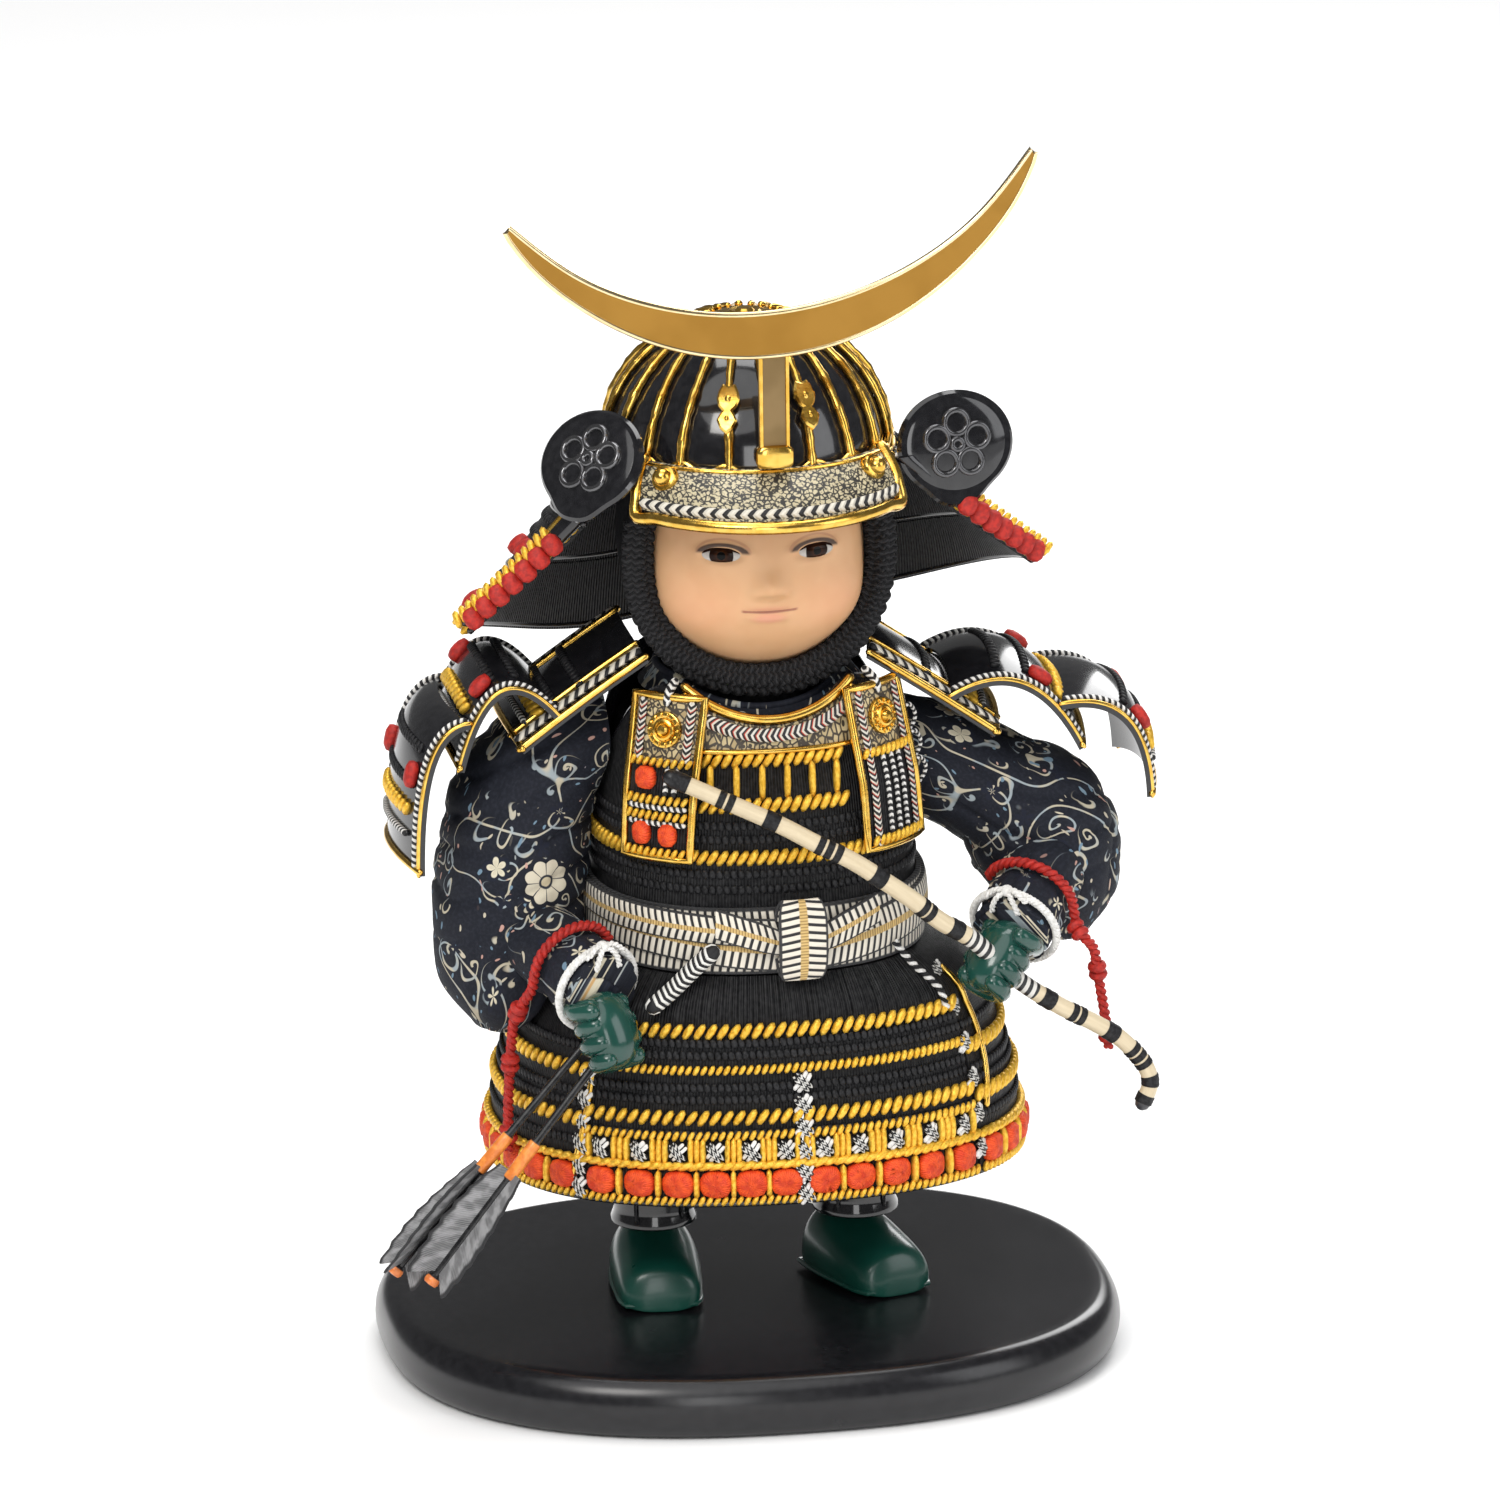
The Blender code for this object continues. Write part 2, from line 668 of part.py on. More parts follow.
def build_neckline_rim():
    points = []
    for i in range(17):
        angle = CHEST_SPAN * (i / 16 - 0.5)
        spot = torso_spot(angle, neckline(angle), GAP + PLATE_THICK / 2)
        spot.z += RIM_RADIUS + GAP
        points.append(spot)
    return tube("neckline_rim", points, RIM_RADIUS, "gilt")


def lace_row(bm, spot, arc, height, depth, pitch):
    # spot(share, out, up) runs along the row; arc is its length; each loop is one bump
    count = max(3, round(arc / pitch))
    steps = count * 2
    rings = []
    for i in range(steps + 1):
        share = i / steps
        full = 1.0 if i % 2 else 0.45
        low = spot(share, -LACE_SINK, -height / 2)
        high = spot(share, -LACE_SINK, height / 2)
        peak = spot(share, depth * full, height * (0.1 if i % 2 else -0.1))
        rings.append([bm.verts.new(p) for p in (low, high, peak)])
    for a, b in zip(rings, rings[1:]):
        for k in range(3):
            n = (k + 1) % 3
            bm.faces.new((a[k], a[n], b[n], b[k]))
    bm.faces.new(rings[0][::-1])
    bm.faces.new(rings[-1])


def lacing(carrier, bm, name):
    # the lacing is bound to the plate that it runs on
    bmesh.ops.recalc_face_normals(bm, faces=bm.faces)
    return cut(carrier, place_cutter(name, mesh_from(bm, name)), "UNION")


def build_chest_lacing(cuirass):
    bm = bmesh.new()
    spans = (CHEST_SPAN - 22.0, CHEST_SPAN - 22.0, CHEST_BAND_SPAN)
    for drop, span in zip(CHEST_LACE_DROPS, spans):
        z = WAIST + TORSO_HEIGHT - drop
        half_width, half_depth = torso_half(z)
        arc = math.radians(span) * (half_width + half_depth) / 2

        def spot(share, out, up, z=z, span=span):
            return torso_spot(span * (share - 0.5), z + up, out)
        lace_row(bm, spot, arc, LACE_HEIGHT, LACE_DEPTH, LACE_PITCH)
    return lacing(cuirass, bm, "chest_lacing")


GUARD_TOP = 4.0 * MM
GUARD_LIFT = 2.9 * MM


def guard_centre(side):
    # both hang from the shoulder straps beside the chest plate
    return GUARD_ANGLE_LEFT if side > 0 else -GUARD_ANGLE_RIGHT


def build_breast_guard(name, side, spread):
    # spread is how much wider the plate is at its foot
    top = WAIST + TORSO_HEIGHT - GUARD_TOP
    width = GUARD_WIDTH

    def spot(s, t):
        z = top - GUARD_HEIGHT * (1.0 - t)
        half_width, half_depth = torso_half(z)
        degrees = math.degrees((width + spread * (1.0 - t)) / ((half_width + half_depth) / 2))
        angle = guard_centre(side) + degrees * (s - 0.5)
        return torso_spot(angle, z, GAP + GUARD_LIFT + PLATE_THICK)
    return sheet(name, spot, 6, 5, PLATE_THICK, "leather_print")


def add_rosette(guard, side):
    profile = [(0.0, 2.4 * MM), (ROSETTE_RADIUS * 0.25, 2.2 * MM), (ROSETTE_RADIUS * 0.35, 1.3 * MM),
               (ROSETTE_RADIUS * 0.6, 1.5 * MM), (ROSETTE_RADIUS * 0.7, 0.8 * MM),
               (ROSETTE_RADIUS, 0.9 * MM), (ROSETTE_RADIUS, -0.8 * MM), (0.0, -0.8 * MM)]
    mesh = turned_mesh("rosette", profile, 16)
    z = WAIST + TORSO_HEIGHT - GUARD_TOP - ROSETTE_RADIUS - 4.0 * MM
    out = GAP + GUARD_LIFT + PLATE_THICK
    angle = guard_centre(side)
    here = torso_spot(angle, z, out)
    up = (torso_spot(angle, z + 4.0 * MM, out) - torso_spot(angle, z - 4.0 * MM, out)).normalized()
    along = (torso_spot(angle + 4.0, z, out) - torso_spot(angle - 4.0, z, out)).normalized()
    turn = along.cross(up).normalized().to_track_quat("Z", "Y").to_matrix().to_4x4()
    mesh.transform(Matrix.Translation(here) @ turn)
    return cut(guard, place_cutter(guard.name + "_rosette", mesh), "UNION")


def sash_dip(angle):
    around = (angle + 180.0) % 360.0 - 180.0
    return SASH_DIP * math.exp(-((around - KNOT_ANGLE) / 38.0) ** 2)


def build_sash():
    def under(s, t):
        angle = 360.0 * s
        z = WAIST + 0.5 * MM + (SASH_HEIGHT - 1.0 * MM) * t
        return torso_spot(angle, z, GAP + SASH_THICK)

    def over(s, t):
        angle = 360.0 * s
        middle = WAIST + SASH_HEIGHT * 0.62 - sash_dip(angle)
        z = middle + SASH_HEIGHT * 0.62 * (t - 0.5)
        return torso_spot(angle, z, GAP + SASH_THICK * 1.8)
    sash = sheet("sash", under, 36, 1, SASH_THICK, "striped_sash", seam=True)
    bm = bmesh.new()
    bmesh.ops.create_grid(bm, x_segments=36, y_segments=1, size=0.5)
    for vert in bm.verts:
        vert.co = over(vert.co.x + 0.5, vert.co.y + 0.5)
    bmesh.ops.remove_doubles(bm, verts=bm.verts, dist=0.00001)
    turn = solidify(place_cutter("sash_second_turn", mesh_from(bm, "sash_second_turn")), SASH_THICK)
    return cut(sash, turn, "UNION")


def build_sash_knot():
    rings = []
    for share, wide, deep in ((0.0, 0.45, 0.5), (0.12, 0.8, 0.85), (0.35, 1.0, 1.0), (0.65, 1.0, 1.0),
                              (0.88, 0.75, 0.85), (1.0, 0.4, 0.5)):
        z = KNOT_HEIGHT * (share - 0.5)
        rings.append(oval_ring(z, KNOT_WIDTH / 2 * wide, KNOT_DEPTH / 2 * deep, 0.0, 3.0, 16))
    made = place_object("sash_knot", loft_mesh("sash_knot", rings), "striped_sash")
    angle = KNOT_ANGLE
    z = WAIST + SASH_HEIGHT * 0.62 - sash_dip(angle) + 4.0 * MM
    out = GAP * 2 + SASH_THICK * 2 + KNOT_DEPTH / 2
    made.location = torso_spot(angle, z, out)
    made.rotation_euler = (math.radians(-2.0), 0.0, math.radians(angle))
    return made


def build_sash_cord():
    # the tied end of the waist cord, hanging to the doll's right below the sash
    points = [torso_spot(-22.0, WAIST + 8.0 * MM, SASH_THICK * 2 + 3.2 * MM)]
    for angle, drop in ((-27.0, -3.0 * MM), (-32.0, 2.5 * MM), (-36.0, 7.0 * MM)):
        points.append(skirt_spot(angle, WAIST - drop, 5.6 * MM))
    return tube("sash_cord_end", smooth_route(points, 9), 2.6 * MM, "striped_sash")


ROW_DROPS = (14.6 * MM, 25.4 * MM, 39.5 * MM)
SIDE_ROW_DROPS = (28.0 * MM, 42.0 * MM)


def panel_ranges():
    half = FRONT_SPAN / 2
    return {
        "front": (-half, half),
        "left": (half + PANEL_GAP, half + SIDE_SPAN),
        "back": (half + SIDE_SPAN + PANEL_GAP, 360.0 - half - SIDE_SPAN - PANEL_GAP),
        "right": (-half - SIDE_SPAN, -half - PANEL_GAP),
    }


def build_skirt_panel(name, start, end, high, low, rows, top_out=0.0):
    cols = max(6, round((end - start) / 9.0))

    def spot(s, t):
        angle = start + (end - start) * s
        z = low + (high - low) * t
        return skirt_spot(angle, z, top_out * t)
    return sheet(name, spot, cols, rows, LAME_THICK, "black_cord")


def panel_rows(bm, start, end, drops):
    for drop in drops:
        z = WAIST - drop
        half_width, half_depth = skirt_half(z)
        arc = math.radians(end - start) * (half_width + half_depth) / 2
        inset = 1.2

        def spot(share, out, up, z=z):
            angle = start + inset + (end - start - 2 * inset) * share
            return skirt_spot(angle, z + up, out)
        thin = 0.7 if drop == ROW_DROPS[1] else 1.0
        lace_row(bm, spot, arc, LACE_HEIGHT * thin, LACE_DEPTH * thin, LACE_PITCH)


def panel_pads(bm, start, end):
    # padded red bindings between gold bars along the hem
    low = HEM + 2.0 * MM
    high = low + HEM_BAND * 0.78
    half_width, half_depth = skirt_half(low)
    pitch = math.degrees(PAD_PITCH / ((half_width + half_depth) / 2))
    count = max(2, int((end - start) / pitch))
    step = (end - start) / count
    for i in range(count):
        a = start + step * (i + 0.12)
        b = start + step * (i + 0.88)
        third = (b - a) * 0.24
        rise = (high - low) * 0.2
        base = [skirt_spot(x, z, -LACE_SINK) for x, z in ((a, low), (b, low), (b, high), (a, high))]
        crown = [skirt_spot(x, z, PAD_DEPTH) for x, z in
                 ((a + third, low + rise), (b - third, low + rise),
                  (b - third, high - rise), (a + third, high - rise))]
        lower = [bm.verts.new(p) for p in base]
        upper = [bm.verts.new(p) for p in crown]
        bm.faces.new(lower[::-1])
        bm.faces.new(upper)
        for k in range(4):
            n = (k + 1) % 4
            bm.faces.new((lower[k], lower[n], upper[n], upper[k]))


def build_skirt():
    ranges = panel_ranges()
    top = WAIST - 0.2 * MM
    split = WAIST - FRONT_UPPER_DROP
    start, end = ranges["front"]
    halves = {"right": (start, SPLIT_ANGLE - PANEL_GAP / 2), "left": (SPLIT_ANGLE + PANEL_GAP / 2, end)}
    upper = build_skirt_panel("skirt_front_upper", start, end, top, split, 4)
    bm = bmesh.new()
    panel_rows(bm, start, end, ROW_DROPS[:2])
    lacing(upper, bm, "front_upper_rows")
    for tag, (start, end) in halves.items():
        name = "skirt_front_lower_" + tag
        lower = build_skirt_panel(name, start, end, split - 0.4 * MM, HEM, 3)
        bm = bmesh.new()
        panel_rows(bm, start, end, ROW_DROPS[2:])
        panel_pads(bm, start, end)
        lacing(lower, bm, name + "_rows")
    for tag in ("right", "left", "back"):
        start, end = ranges[tag]
        name = "skirt_" + tag
        panel = build_skirt_panel(name, start, end, top, HEM, 5)
        bm = bmesh.new()
        panel_rows(bm, start, end, SIDE_ROW_DROPS)
        panel_pads(bm, start, end)
        lacing(panel, bm, name + "_rows")


# arm joints as steps from the shoulder, doll's right then left
def arm_points(side):
    out = SHOULDER_WIDTH / 2
    radius = SLEEVE_RADIUS
    if side < 0:
        steps = [(-2.0, 0, -4, 0.62, 0.72), (16.0, 0, -7.9, 0.86, 0.97), (27.5, -1, -23, 1.0, 1.15),
                 (31.5, -3, -45, 1.04, 1.22), (34.0, -6, -63, 1.0, 1.16), (36.5, -8, -76, 0.82, 0.97),
                 (38.0, -8, -86, 0.4, 0.5)]
    else:
        steps = [(-2.0, 0, -8, 0.6, 0.7), (17.0, 0, -18, 0.75, 0.95), (32.0, 0, -27, 0.86, 1.08),
                 (45.0, -1, -38, 1.04, 1.18), (51.0, -3, -53, 0.9, 1.08), (52.5, -4, -62, 0.68, 0.85),
                 (53.0, -5, -70, 0.34, 0.45)]
    return [(Vector((side * (out + dx * MM), dy * MM, SHOULDER + dz * MM)), radius * a, radius * b)
            for dx, dy, dz, a, b in steps]


WRIST = {-1: (Vector((25.0, -30.0, -59.0)), Vector((14.0, -53.0, -65.5))),
         1: (Vector((44.0, -22.0, -47.0)), Vector((30.9, -41.6, -58.3)))}
HAND = {-1: Vector((12.5, -60.0, -75.5)), 1: Vector((24.5, -49.5, -63.5))}
HAND_WAY = {-1: Vector((0.25, -0.35, -0.9)), 1: Vector((-0.55, -0.45, -0.7))}


def arm_spot(side, step):
    return Vector((side * (SHOULDER_WIDTH / 2 + step.x * MM), step.y * MM, SHOULDER + step.z * MM))


def torso_clearance():
    # room that the sleeves leave for the cuirass, the sash and the skirt
    rings = []
    for z in (HEM - 6.0 * MM, HEM + 12.0 * MM, HEM + 32.0 * MM, WAIST - HIP_DROP, WAIST - HIP_DROP * 0.5):
        a, b = skirt_half(z)
        out = LACE_DEPTH + 3 * GAP
        rings.append(oval_ring(z, a + out, b + out, SKIRT_FORWARD, TORSO_POWER, 36))
    out = SASH_THICK * 2 + 4 * GAP + 0.3 * MM
    for z in (WAIST, WAIST + SASH_HEIGHT + 1.0 * MM):
        a, b = torso_half(z)
        rings.append(oval_ring(z, a + out, b + out, TORSO_FORWARD, TORSO_POWER, 36))
    for z in (WAIST + SASH_HEIGHT + 4.0 * MM, WAIST + TORSO_HEIGHT * 0.62, WAIST + TORSO_HEIGHT,
              WAIST + TORSO_HEIGHT + 20.0 * MM):
        a, b = torso_half(z)
        rings.append(oval_ring(z, a + 0.5 * MM, b + 0.5 * MM, TORSO_FORWARD, TORSO_POWER, 36))
    return place_cutter("torso_clearance", loft_mesh("torso_clearance", rings))


def build_arm(side, clearance, bow_room, arrow_room):
    tag = "right" if side < 0 else "left"
    stations = arm_points(side)
    sleeve = place_object("sleeve_" + tag, loft_mesh("sleeve_" + tag, limb_rings(stations, 16)), "brocade")
    cut(sleeve, clearance)
    room = place_cutter("sleeve_room_" + tag,
                        loft_mesh("sleeve_room_" + tag, limb_rings(stations, 16, grow=2 * GAP)))
    start, end = (arm_spot(side, step) for step in WRIST[side])
    hand_at = arm_spot(side, HAND[side])
    inside = stations[3][0].lerp(stations[4][0], 0.6)
    cuff_stations = [(inside, CUFF_RADIUS * 0.9, CUFF_RADIUS * 0.9), (start, CUFF_RADIUS, CUFF_RADIUS),
                     (end, CUFF_RADIUS * 0.98, CUFF_RADIUS * 0.98)]
    cuff = place_object("cuff_" + tag, loft_mesh("cuff_" + tag, limb_rings(cuff_stations, 16)), "brocade")
    cut(cuff, room)
    cut(cuff, clearance)
    cuff_room = place_cutter("cuff_room_" + tag, loft_mesh(
        "cuff_room_" + tag, limb_rings(cuff_stations, 16, grow=GAP)[:-1]
        + [[p + (end - start).normalized() * GAP for p in limb_rings(cuff_stations, 16, grow=GAP)[-1]]]))
    way = HAND_WAY[side].normalized()
    hand = build_hand("hand_" + tag, hand_at, way, side)
    cut(hand, cuff_room)
    cut(hand, bow_room if side > 0 else arrow_room)
    return start, end


def build_hand(name, centre, way, side):
    # a closed fist with four finger ridges across its front
    bm = bmesh.new()
    bmesh.ops.create_uvsphere(bm, u_segments=14, v_segments=8, radius=1.0)
    for vert in bm.verts:
        x, y, z = vert.co
        ridge = 1.0
        if y < -0.1:
            ridge += 0.1 * abs(math.cos(2.0 * math.pi * x)) * min(1.0, -y * 1.6)
        vert.co = (x * HAND_WIDTH / 2, y * HAND_THICK / 2 * ridge, z * HAND_LENGTH / 2)
    mesh = mesh_from(bm, name)
    mesh.transform((-way).to_track_quat("Z", "Y").to_matrix().to_4x4())
    mesh.transform(Matrix.Translation(centre))
    return place_object(name, mesh, "green_enamel")


def ring_points(centre, axis, radius, start, end, count):
    # points on a circle round the axis; zero is the upper side, growing outwards
    up = (Vector((0, 0, 1)) - axis * axis.z).normalized()
    side = up.cross(axis)
    points = []
    for i in range(count):
        turn = math.radians(start + (end - start) * i / (count - 1))
        points.append(centre + up * math.cos(turn) * radius + side * math.sin(turn) * radius)
    return points


def build_cuff_cords(ends):
    for side, tag in ((-1, "right"), (1, "left")):
        start, end = ends[side]
        axis = (end - start).normalized()
        radius = CUFF_RADIUS + CUFF_CORD_RADIUS + GAP * 1.5
        points = ring_points(end - axis * 2.0 * MM, axis, radius, 0.0, 360.0 - 360.0 / 16, 16)
        tube("cuff_cord_" + tag, points, CUFF_CORD_RADIUS, "white_cord", 1, cyclic=True)


def build_sleeve_cords(ends):
    hang = {
        -1: ((36.5, -38.5, -76.0), (37.5, -36.0, -84.0), (38.0, -33.0, -97.0), (38.2, -31.0, -109.0),
             (38.0, -30.0, -119.0)),
        1: ((51.0, -42.0, -62.0), (54.5, -41.0, -64.0), (57.0, -38.0, -76.0), (59.0, -37.0, -88.0),
            (60.0, -36.5, -97.0)),
    }
    for side, tag in ((-1, "right"), (1, "left")):
        start, end = ends[side]
        axis = (end - start).normalized()
        radius = CUFF_RADIUS + SLEEVE_CORD_RADIUS + GAP * 1.5
        centre = start.lerp(end, 0.45)
        arc = ring_points(centre, axis, radius, side * -60.0, side * 105.0, 10)
        points = arc + [arm_spot(side, Vector(p)) for p in hang[side]]
        tube("sleeve_cord_" + tag, smooth_route(points, 20), SLEEVE_CORD_RADIUS, "red_cord")


# each plate's profile from the shoulder outwards: inner edge, bend, outer edge
SODE_PROFILES = {
    -1: (((-5.0, 25.5), (14.0, 13.5), (32.0, 0.0)), ((20.6, 9.2), (40.0, 33.0), (50.0, -5.3)),
         ((46.6, 8.6), (62.0, 8.0), (62.0, -36.0))),
    1: (((-8.0, 23.0), (11.0, 10.5), (29.5, -3.0)), ((16.0, 8.6), (40.0, 22.0), (55.0, -9.0)),
        ((48.4, 4.2), (74.0, 8.0), (75.0, -25.0))),
}


def build_shoulder_guards():
    # each guard is three curved plates, the lower ones lying outside the upper
    for side, tag in ((-1, "right"), (1, "left")):
        for row, profile in enumerate(SODE_PROFILES[side]):
            inner, bend, outer = (arm_spot(side, Vector((x, 0.0, z))) for x, z in profile)
            fall = (outer - inner).normalized()
            normal = Vector((-fall.z * side, 0, fall.x * side))

            def spot(s, t, inner=inner, bend=bend, outer=outer, normal=normal, side=side):
                share = s if side > 0 else 1.0 - s
                here = inner.lerp(bend, share).lerp(bend.lerp(outer, share), share)
                lean = 2 * t - 1
                y = SODE_DEPTH / 2 * lean
                here = here + normal * SODE_ARCH * (1 - lean**2)
                return Vector((here.x, y, here.z))
            sheet("shoulder_guard_%s_%d" % (tag, row + 1), spot, 5 if row else 2, 6, PLATE_THICK, "black_lacquer")


def build_head():
    bm = bmesh.new()
    bmesh.ops.create_uvsphere(bm, u_segments=22, v_segments=12, radius=1.0)
    for vert in bm.verts:
        x, y, z = vert.co
        lift = math.degrees(math.asin(max(-1.0, min(1.0, z))))
        angle = math.degrees(math.atan2(x, -y))
        spot = head_spot(angle, lift)
        if abs(lift) < 80.0:
            # small nose just below the level of the centre
            wide = math.exp(-(angle / 7.0) ** 2 - ((lift + 9.0) / 6.0) ** 2)
            spot.y -= 3.4 * MM * wide
            cheek = math.exp(-((abs(angle) - 42.0) / 22.0) ** 2 - ((lift + 24.0) / 16.0) ** 2)
            spot.x += math.copysign(0.8 * MM * cheek, x)
        vert.co = spot
    head = place_object("head", mesh_from(bm, "head"), "skin")
    for side, tag in ((-1, "right"), (1, "left")):
        mesh = bpy.data.meshes.new("eye_room_" + tag)
        ball = eye_mesh(side, GAP)
        ball.to_mesh(mesh)
        ball.free()
        cut(head, place_cutter("eye_room_" + tag, mesh))
    return head


def eye_spot(side):
    x = side * EYE_SPACING / 2
    share = x / (HEAD_WIDTH / 2)
    y = -HEAD_FORWARD - HEAD_DEPTH / 2 * math.sqrt(1 - share**2)
    return Vector((x, y, HEAD_CENTRE + EYE_LIFT))


def eye_mesh(side, grow):
    bm = bmesh.new()
    bmesh.ops.create_uvsphere(bm, u_segments=12, v_segments=6, radius=1.0)
    turn = Matrix.Rotation(math.radians(side * 20.0), 4, "Z")
    scale = Matrix.Diagonal((EYE_WIDTH / 2 + grow, 2.2 * MM + grow, EYE_HEIGHT / 2 + grow, 1.0))
    shift = Matrix.Translation(eye_spot(side) + Vector((0, 1.1 * MM, 0)))
    bmesh.ops.transform(bm, matrix=shift @ turn @ scale, verts=bm.verts)
    return bm


def build_eyes():
    for side, tag in ((-1, "right"), (1, "left")):
        place_object("eye_" + tag, mesh_from(eye_mesh(side, 0.0), "eye_" + tag), "eye_glass")


def build_hood():
    # cap round the sides and back of the head, filling the helmet's bowl
    room = GAP + BOWL_WALL
    low = HEAD_CENTRE - HEAD_HEIGHT / 2 + 4.0 * MM
    rings = []
    for share, grow in ((0.0, 0.45), (0.22, 0.86), (0.5, 1.0), (0.8, 1.0)):
        z = low + (HELMET - low) * share
        a = (HEAD_WIDTH / 2 + HOOD_WALL) * grow
        b = (HEAD_DEPTH / 2 + HOOD_WALL) * grow
        rings.append(oval_ring(z, a, b, HEAD_FORWARD * 0.6, 2.0, 24))
    for lift in (0.5, 18.0, 36.0, 54.0, 72.0):
        ring = [bowl_spot(360.0 * i / 24, lift, -room - 0.2 * MM) for i in range(24)]
        rings.append(ring)
    hood = place_object("hood", loft_mesh("hood", rings), "black_cloth")
    head_room = bmesh.new()
    bmesh.ops.create_uvsphere(head_room, u_segments=18, v_segments=10, radius=1.0)
    for vert in head_room.verts:
        x, y, z = vert.co
        lift = math.degrees(math.asin(max(-1.0, min(1.0, z))))
        vert.co = head_spot(math.degrees(math.atan2(x, -y)), lift, 1.3 * MM)
    cut(hood, place_cutter("head_room", mesh_from(head_room, "head_room")))
    # the opening for the face is a wedge from the front
    reach = HEAD_DEPTH
    turn = math.radians(FACE_ANGLE)
    wedge = []
    for z in (low - 10.0 * MM, HELMET - 1.0 * MM):
        wedge.append([Vector((0, -HEAD_FORWARD, z)),
                      Vector((-reach * math.sin(turn), -HEAD_FORWARD - reach * math.cos(turn), z)),
                      Vector((-reach * 0.9, -HEAD_FORWARD - reach * 1.6, z)),
                      Vector((reach * 0.9, -HEAD_FORWARD - reach * 1.6, z)),
                      Vector((reach * math.sin(turn), -HEAD_FORWARD - reach * math.cos(turn), z))])
    cut(hood, place_cutter("face_opening", loft_mesh("face_opening", wedge)))
    neck = [oval_ring(z, NECK_RADIUS + 3.0 * MM, NECK_RADIUS + 3.0 * MM, 0.0, 2.0, 14)
            for z in (low - 8.0 * MM, low + 8.0 * MM)]
    cut(hood, place_cutter("neck_room", loft_mesh("neck_room", neck)))
    return hood


def build_chin_cord():
    # thick knitted cord from ear to ear below the chin
    out = CHIN_CORD_RADIUS + 0.8 * MM
    points = [head_spot(angle, lift, out) for angle, lift in (
        (-56, 16), (-56, 2), (-55, -14), (-51, -30), (-42, -45), (-26, -56), (0, -60),
        (26, -56), (42, -45), (51, -30), (55, -14), (56, 2), (56, 16))]
    return tube("chin_cord", smooth_route(points, 24), CHIN_CORD_RADIUS, "black_cord")


def build_bowl():
    bm = bmesh.new()
    bmesh.ops.create_uvsphere(bm, u_segments=24, v_segments=10, radius=1.0)
    below = [v for v in bm.verts if v.co.z < -0.01]
    bmesh.ops.delete(bm, geom=below, context="VERTS")
    for vert in bm.verts:
        vert.co = Vector((vert.co.x * BOWL_WIDTH / 2, vert.co.y * BOWL_DEPTH / 2 - BOWL_FORWARD,
                          HELMET + vert.co.z * BOWL_HEIGHT))
    made = place_object("helmet_bowl", mesh_from(bm, "helmet_bowl"), "black_lacquer")
    return solidify(made, BOWL_WALL)


def build_ribs():
    # gilt edging round the bowl's foot, with a rib rising from each scallop
    top = math.degrees(math.asin(BAND_HEIGHT / BOWL_HEIGHT))

    def edge(s, t):
        wave = 0.75 + 0.25 * math.cos(2 * math.pi * s * RIB_COUNT)
        return bowl_spot(360.0 * s, 1.0 + (top * wave - 1.0) * t, GAP + RIB_THICK)
    band = sheet("helmet_ribs", edge, RIB_COUNT * 2, 1, RIB_THICK, "gilt", seam=True)
    bm = bmesh.new()
    for i in range(RIB_COUNT):
        middle = 360.0 * i / RIB_COUNT

        def spot(s, t, into, middle=middle):
            lift = top * 0.5 + (74.0 - top * 0.5) * t
            out = GAP + RIB_THICK + 0.3 * MM - into
            centre = bowl_spot(middle, lift, out)
            side = (bowl_spot(middle + 1.0, lift, out) - bowl_spot(middle - 1.0, lift, out)).normalized()
            return centre + side * RIB_WIDTH * (s - 0.5)
        add_sheet(bm, spot, 1, 5, RIB_THICK)
    bmesh.ops.recalc_face_normals(bm, faces=bm.faces)
    return cut(band, place_cutter("rib_bars", mesh_from(bm, "rib_bars")), "UNION")


def visor_spot(angle, share, out=0.0):
    # share 0 at the lower edge, 1 where the visor meets the band
    flare = 1.0 - share
    bulge = math.sin(math.pi * share) * 1.5 * MM
    turn = math.radians(angle)
    reach = 1.3 * MM + GAP * 2 + out + bulge
    half_width = BOWL_WIDTH / 2 + reach + VISOR_FLARE * flare
    half_depth = BOWL_DEPTH / 2 + reach + VISOR_REACH * flare
    z = HELMET + BAND_HEIGHT - 0.5 * MM - VISOR_DROP * flare
    return Vector((half_width * math.sin(turn), -BOWL_FORWARD - half_depth * math.cos(turn), z))


def build_visor():
    def spot(s, t):
        return visor_spot(VISOR_SPAN * (s - 0.5), t, PLATE_THICK)
    return sheet("visor", spot, 18, 4, PLATE_THICK, "leather_print")


def build_visor_rim():
    half = VISOR_SPAN / 2
    out = PLATE_THICK / 2
    points = []
    for i in range(5):
        points.append(visor_spot(-half, 1.0 - i / 4, out))
    for i in range(1, 20):
        points.append(visor_spot(-half + VISOR_SPAN * i / 20, 0.0, out))
    for i in range(5):
        points.append(visor_spot(half, i / 4, out))
    # the rim lies just outside the visor's edge
    moved = []
    last = len(points) - 1
    for i, spot in enumerate(points):
        shift = Vector((0, 0, 0))
        angle = -half + VISOR_SPAN * min(1.0, max(0.0, (i - 4) / 20))
        turn = math.radians(angle)
        if i <= 4:
            shift += Vector((-math.cos(turn), -math.sin(turn), 0.0))
        if i >= last - 4:
            shift += Vector((math.cos(turn), math.sin(turn), 0.0))
        if 4 <= i <= last - 4:
            shift += (visor_spot(angle, 0.0, out) - visor_spot(angle, 0.1, out)).normalized()
        room = VISOR_RIM_RADIUS + 2 * GAP
        if i in (4, last - 4):
            room *= 1.5
        moved.append(spot + shift.normalized() * room)
    return tube("visor_rim", smooth_route(moved, 26), VISOR_RIM_RADIUS, "gilt")


def crest_y():
    return -(BOWL_FORWARD + BOWL_DEPTH / 2 + 8.5 * MM)


